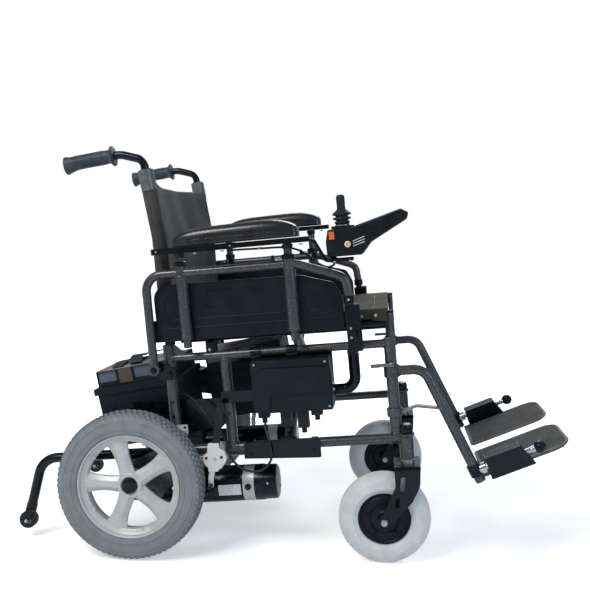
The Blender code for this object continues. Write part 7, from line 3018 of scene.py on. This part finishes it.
bm = bmesh.new()
low_s, high_s = -0.0976, 0.0780
plate = rounded([(low_s, 0.3400), (high_s, 0.3400), (high_s, 0.4560), (low_s, 0.4560)], 0.005, 4)
slab(bm, plate, "y", 0.2087, 0.2122, 0, 0.0010, 2)
for s in (-0.0856, -0.0062):
    block(bm, (s - 0.012, 0.2095, 0.4550), (s + 0.012, FRAME_Y + 0.0130, 0.4600), 0, 0.0012, 2)
    grip_wall = [
        (TOP_RAIL_D / 2 + 0.0002, -0.012),
        (TOP_RAIL_D / 2 + 0.0022, -0.012),
        (TOP_RAIL_D / 2 + 0.0026, -0.0114),
        (TOP_RAIL_D / 2 + 0.0026, 0.0114),
        (TOP_RAIL_D / 2 + 0.0022, 0.012),
        (TOP_RAIL_D / 2 + 0.0002, 0.012),
    ]
    turned(bm, (s, FRAME_Y, TOP_RAIL_N), (1, 0, 0), grip_wall, 36, 0, True)
    screws(bm, [(s, FRAME_Y + 0.0080, 0.4553)], (0, 0, -1), 0.0080, 0.0024, 1)
inner_y = 0.1997
arm = bent(
    [(0.045, inner_y, 0.364), (0.1236, inner_y, 0.364), (0.1236, inner_y, 0.450)], (0.028,), 12
)
tube(bm, arm, 0.025, 2, 32)
clasp = rounded([(0.1126, 0.4435), (0.1346, 0.4435), (0.1346, 0.4587), (0.1126, 0.4587)], 0.003, 4)
slab(bm, clasp, "y", inner_y, 0.2365, 0, 0.0012, 2)
piece(
    "controller_hanger",
    bm,
    [gloss_black, nylon, gloss_black],
    "frame_right",
    ["controller_bracket"],
    True,
)


# Wheel locks
# A die-cast body clamped on the lower rail ahead of each tyre; a black lever with a rubber tip turns on
# it and pushes a short round shoe at the tyre.
# Bright die-cast zinc alloy: pale, a little rough, with soft light along its edges
die_cast, tree, shader, place = new_finish("pale_zinc_die_casting")
cast = noise(tree, place, 0.0035, 5.0)
colour_by(tree, shader, cast, 0.3, 0.75, "#d2d2cd", "#e9e9e4")
shader.inputs["Metallic"].default_value = 0.35
roughen(tree, shader, cast, 0.34, 0.5)
dent(tree, shader, cast.outputs[0], 0.25, 0.0003)

LOCK_S, LOCK_N, LOCK_Y = -0.1900, 0.2430, 0.2620
lock_line = [
    (-0.0079, 0.2776),
    (0.0144, 0.2795),
    (0.0170, 0.2580),
    (0.0272, 0.2461),
    (0.0220, 0.2360),
    (0.0100, 0.2190),
    (-0.0030, 0.2190),
    (-0.0160, 0.2340),
    (-0.0235, 0.2480),
    (-0.0140, 0.2560),
]
bm = bmesh.new()
casting = rounded([(LOCK_S + s, n) for s, n in lock_line], 0.003, 4)
slab(bm, casting, "y", LOCK_Y, 0.2696, 0, 0.0012, 2)
inner_casting = rounded(
    [(LOCK_S + s * 0.72 + 0.0008, 0.247 + (n - 0.247) * 0.72) for s, n in lock_line], 0.003, 4
)
slab(bm, inner_casting, "y", 0.2690, 0.2706, 0, 0.0006, 2)
saddle = rounded(
    [(FRAME_Y + 0.006, 0.2440), (0.2635, 0.2440), (0.2635, 0.2720), (FRAME_Y + 0.006, 0.2720)],
    0.003,
    4,
)
slab(bm, saddle, "s", LOCK_S - 0.016, LOCK_S + 0.018, 0, 0.0010, 2)
band = [
    (RAIL_D / 2 + 0.0002, -0.015),
    (RAIL_D / 2 + 0.0020, -0.015),
    (RAIL_D / 2 + 0.0024, -0.0144),
    (RAIL_D / 2 + 0.0024, 0.0154),
    (RAIL_D / 2 + 0.0020, 0.016),
    (RAIL_D / 2 + 0.0002, 0.016),
]
turned(bm, (LOCK_S, FRAME_Y, RAIL_N), (1, 0, 0), band, 36, 0, True)
rod(bm, (LOCK_S, 0.2640, LOCK_N), (LOCK_S, 0.2782, LOCK_N), 0.0070, 1, 24)
rod(bm, (LOCK_S, 0.2700, LOCK_N), (LOCK_S, 0.2718, LOCK_N), 0.0126, 1, 28, 0.0004)
# A second casting closes the lock from outside, so that the lever turns between the two
cover = [
    (-0.0126, 0.2792),
    (0.0111, 0.2785),
    (0.0118, 0.2674),
    (0.0224, 0.2602),
    (0.0249, 0.2445),
    (0.0224, 0.2347),
    (0.0118, 0.2253),
    (0.0035, 0.2161),
    (-0.0170, 0.2161),
    (-0.0170, 0.2246),
    (-0.0262, 0.2374),
    (-0.0256, 0.2531),
    (-0.0164, 0.2583),
]
slab(bm, rounded([(LOCK_S + s, n) for s, n in cover], 0.0018, 4), "y", 0.2767, 0.2784, 0, 0.0007, 2)
inner_cover = [(LOCK_S + s * 0.66, 0.2475 + (n - 0.2475) * 0.66) for s, n in cover]
slab(bm, rounded(inner_cover, 0.0014, 4), "y", 0.2780, 0.2794, 0, 0.0005, 2)
screws(bm, [(LOCK_S, 0.2792, LOCK_N)], (0, 1, 0), 0.0080, 0.0018, 1, 24)
for s, n in ((-0.0191, 0.2469), (0.0143, 0.2473)):
    rod(bm, (LOCK_S + s, 0.2700, n), (LOCK_S + s, 0.2770, n), 0.0052, 1, 16)
    screws(bm, [(LOCK_S + s, 0.2782, n)], (0, 1, 0), 0.0078, 0.0022, 2)
two_sides(
    "wheel_lock_casting", bm, [die_cast, zinc, gloss_black], "frame", "wheel_lock_body"
)

bm = bmesh.new()
handle = [
    (LOCK_S - 0.0075, LOCK_N - 0.010),
    (LOCK_S + 0.0075, LOCK_N - 0.010),
    (LOCK_S + 0.0130, 0.2800),
    (LOCK_S + 0.0310, 0.3580),
    (LOCK_S + 0.0290, 0.3660),
    (LOCK_S + 0.0170, 0.3660),
    (LOCK_S + 0.0140, 0.3580),
    (LOCK_S - 0.0040, 0.2800),
]
slab(
    bm,
    rounded(handle, [0.006, 0.006, 0.004, 0.004, 0.004, 0.004, 0.004, 0.004], 5),
    "y",
    0.2722,
    0.2760,
    0,
    0.0009,
    2,
)
shoe = [
    (LOCK_S - 0.006, LOCK_N + 0.004),
    (LOCK_S - 0.020, 0.2010),
    (LOCK_S - 0.0205, 0.1800),
    (LOCK_S - 0.0105, 0.1800),
    (LOCK_S - 0.008, 0.2010),
    (LOCK_S + 0.006, LOCK_N + 0.004),
]
slab(
    bm,
    rounded(shoe, [0.002, 0.004, 0.004, 0.004, 0.004, 0.002], 5),
    "y",
    0.2724,
    0.2758,
    2,
    0.0008,
    2,
)
# The tip's sleeve of soft vinyl, and the pressed stiffening line down the handle
tip = [
    (LOCK_S + 0.0225, 0.3270),
    (LOCK_S + 0.0310, 0.3580),
    (LOCK_S + 0.0290, 0.3660),
    (LOCK_S + 0.0170, 0.3660),
    (LOCK_S + 0.0142, 0.3585),
    (LOCK_S + 0.0072, 0.3280),
]
slab(
    bm,
    rounded(tip, [0.001, 0.004, 0.004, 0.004, 0.004, 0.001], 5),
    "y",
    0.2721,
    0.2763,
    1,
    0.0014,
    3,
)
rod(bm, (LOCK_S + 0.0062, 0.2759, 0.2860), (LOCK_S + 0.0136, 0.2759, 0.3200), 0.0022, 0, 8, 0.0003)
turned(
    bm,
    (LOCK_S, 0.2760, LOCK_N),
    (0, 1, 0),
    [(0.0062, -0.0004), (0.0080, -0.0004), (0.0080, 0.0001), (0.0062, 0.0001)],
    28,
    0,
    True,
)
rod(bm, (LOCK_S - 0.0155, 0.2731, 0.1850), (LOCK_S - 0.0155, 0.2930, 0.1850), 0.0100, 1, 28, 0.0016)
two_sides(
    "wheel_lock_handle",
    bm,
    [gloss_black, rubber, die_cast],
    "wheel_lock_lever",
    "wheel_lock_lever",
)


# Sill plate
# A black steel plate bolted flat against the lower right rail, on two saddles.
SILL = (-0.1285, 0.0410, 0.2302, 0.2740)
bm = bmesh.new()
sill = rounded(
    [
        (SILL[0], SILL[2] + 0.006),
        (SILL[1] - 0.001, SILL[2]),
        (SILL[1], SILL[3]),
        (SILL[0] + 0.002, SILL[3] - 0.003),
    ],
    0.003,
    4,
)
slab(bm, sill, "y", 0.2586, 0.2618, 0, 0.0010, 3)
for s in (-0.1145, 0.0263):
    block(bm, (s - 0.007, FRAME_Y + 0.004, 0.2440), (s + 0.007, 0.2590, 0.2700), 0, 0.0012, 2)
    collar = [
        (r + RAIL_D / 2, h)
        for r, h in (
            (0.0002, -0.007),
            (0.0018, -0.007),
            (0.0022, -0.0064),
            (0.0022, 0.0064),
            (0.0018, 0.007),
            (0.0002, 0.007),
        )
    ]
    turned(bm, (s, FRAME_Y, RAIL_N), (1, 0, 0), collar, 36, 0, True)
    screws(bm, [(s, 0.2616, 0.2475)], (0, 1, 0), 0.0090, 0.0028, 1)
piece("sill_guard", bm, [gloss_black, nylon], "frame_right", ["sill_plate"], True)


# Clamps and straps on the posts
# A pale casting with two small screws stands against each rear post, with two black bolts in the post
# above it. On the right a flat black strap ties the controller to the middle post.
bm = bmesh.new()
casting = rounded(
    [
        (-0.2790, 0.2955),
        (-0.2560, 0.2905),
        (-0.2515, 0.3000),
        (-0.2520, 0.3165),
        (-0.2780, 0.3162),
    ], 0.003, 4
)
slab(bm, casting, "y", FRAME_Y + 0.0100, FRAME_Y + 0.0165, 0, 0.0012, 2)
slab(
    bm,
    [(-0.2785, 0.3035), (-0.2525, 0.3035), (-0.2525, 0.3065), (-0.2785, 0.3065)],
    "y",
    0.2515,
    0.2540,
    0,
    0.0006,
    1,
)
screws(bm, [(-0.2570, 0.2522, 0.2975), (-0.2575, 0.2522, 0.3115)], (0, 1, 0), 0.0062, 0.0024, 1)
screws(
    bm,
    [(REAR_POST[0], FRAME_Y + REAR_POST[1] / 2 - 0.0004, n) for n in (0.3683, 0.3362)],
    (0, 1, 0),
    0.0080,
    0.0030,
    1,
)
two_sides("post_clamp", bm, [die_cast, gloss_black], "frame", [])

bm = bmesh.new()
strap = rounded(
    [(-0.1700, 0.3595), (-0.0950, 0.3605), (-0.0950, 0.3850), (-0.1700, 0.3840)], 0.003, 4
)
slab(
    bm,
    strap,
    "y",
    FRAME_Y + MID_POST[1] / 2 - 0.0004,
    FRAME_Y + MID_POST[1] / 2 + 0.0024,
    0,
    0.0008,
    2,
)
screws(
    bm,
    [(MID_POST[0], FRAME_Y + MID_POST[1] / 2 + 0.0020, n) for n in (0.3679, 0.3360)],
    (0, 1, 0),
    0.0084,
    0.0028,
    0,
)
piece("controller_strap", bm, [gloss_black], "frame_right", [], True)


# Cables
# Round rubber leads: one from the controller's rear plug, round the wheel lock's casting and up to the
# plug of the right battery box, and one from the joystick pod, back along the armrest's bar.
# Matt black rubber jacket: dark, with a soft broad highlight and a dusty bloom
jacket, tree, shader, place = new_finish("rubber_cable_jacket")
dust = noise(tree, place, 0.012, 4.0)
colour_by(tree, shader, dust, 0.35, 0.7, "#0b0c0d", "#16181a")
roughen(tree, shader, dust, 0.42, 0.6)


def smooth_route(points, spacing):
    """A smooth curve through the points, which are given with y to the right."""
    places = [Vector((s, -y, n)) for s, y, n in points]
    route = [places[0]]
    for i in range(len(places) - 1):
        before, after = places[max(i - 1, 0)], places[min(i + 2, len(places) - 1)]
        start, end = places[i], places[i + 1]
        count = max(1, round((end - start).length / spacing))
        for k in range(1, count + 1):
            t = k / count
            pull = (end - before) * t + (2 * before - 5 * start + 4 * end - after) * t * t
            route.append(start + 0.5 * (pull + (3 * start - before - 3 * end + after) * t**3))
    return route


def cable(name, points, size, body, node):
    """A round lead along the route."""
    route = smooth_route(points, 0.004)
    mesh = bmesh.new()
    tube(mesh, route, size, 0, 16)
    lead = piece(name, mesh, [jacket], body, [node])


cable(
    "controller_lead",
    (
        (-0.0769, 0.2540, 0.3117),
        (-0.0769, 0.2540, 0.3035),
        (-0.0769, 0.2540, 0.2955),
        (-0.0690, 0.2680, 0.2700),
        (-0.0690, 0.2700, 0.2330),
        (-0.0959, 0.2700, 0.2104),
        (LOCK_S + 0.0574, 0.2690, 0.2160),
        (LOCK_S + 0.0315, 0.2660, 0.2440),
        (LOCK_S + 0.0210, 0.2600, 0.2850),
        (LOCK_S + 0.0010, 0.2560, 0.3090),
        (LOCK_S - 0.0223, 0.2480, 0.3430),
        (-0.2480, 0.2200, 0.3730),
        (-0.2830, 0.2110, 0.3790),
        (-0.3016, 0.2055, 0.3771),
        (-0.3016, 0.1960, 0.3771),
        (-0.3016, 0.1863, 0.3771),
    ),
    0.0052,
    "frame_right",
    "drive_cable",
)
cable(
    "joystick_lead",
    (
        (0.1040, 0.2715, 0.6557),
        (0.1040, 0.2715, 0.6500),
        (0.1040, 0.2715, 0.6440),
        (0.0900, 0.2700, 0.6390),
        (0.0700, 0.2655, 0.6480),
        (0.0544, 0.2580, 0.6620),
        (0.0300, 0.2560, 0.6790),
        (0.0000, 0.2550, 0.6880),
        (-0.0500, 0.2550, 0.6900),
        (-0.1000, 0.2580, 0.6915),
        (-0.1150, 0.2640, 0.6918),
    ),
    0.0046,
    "arm_rest_right",
    "joystick_cable",
)

corners = [[list(map(float, corner)) for corner in box] for box in (solids_box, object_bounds())]
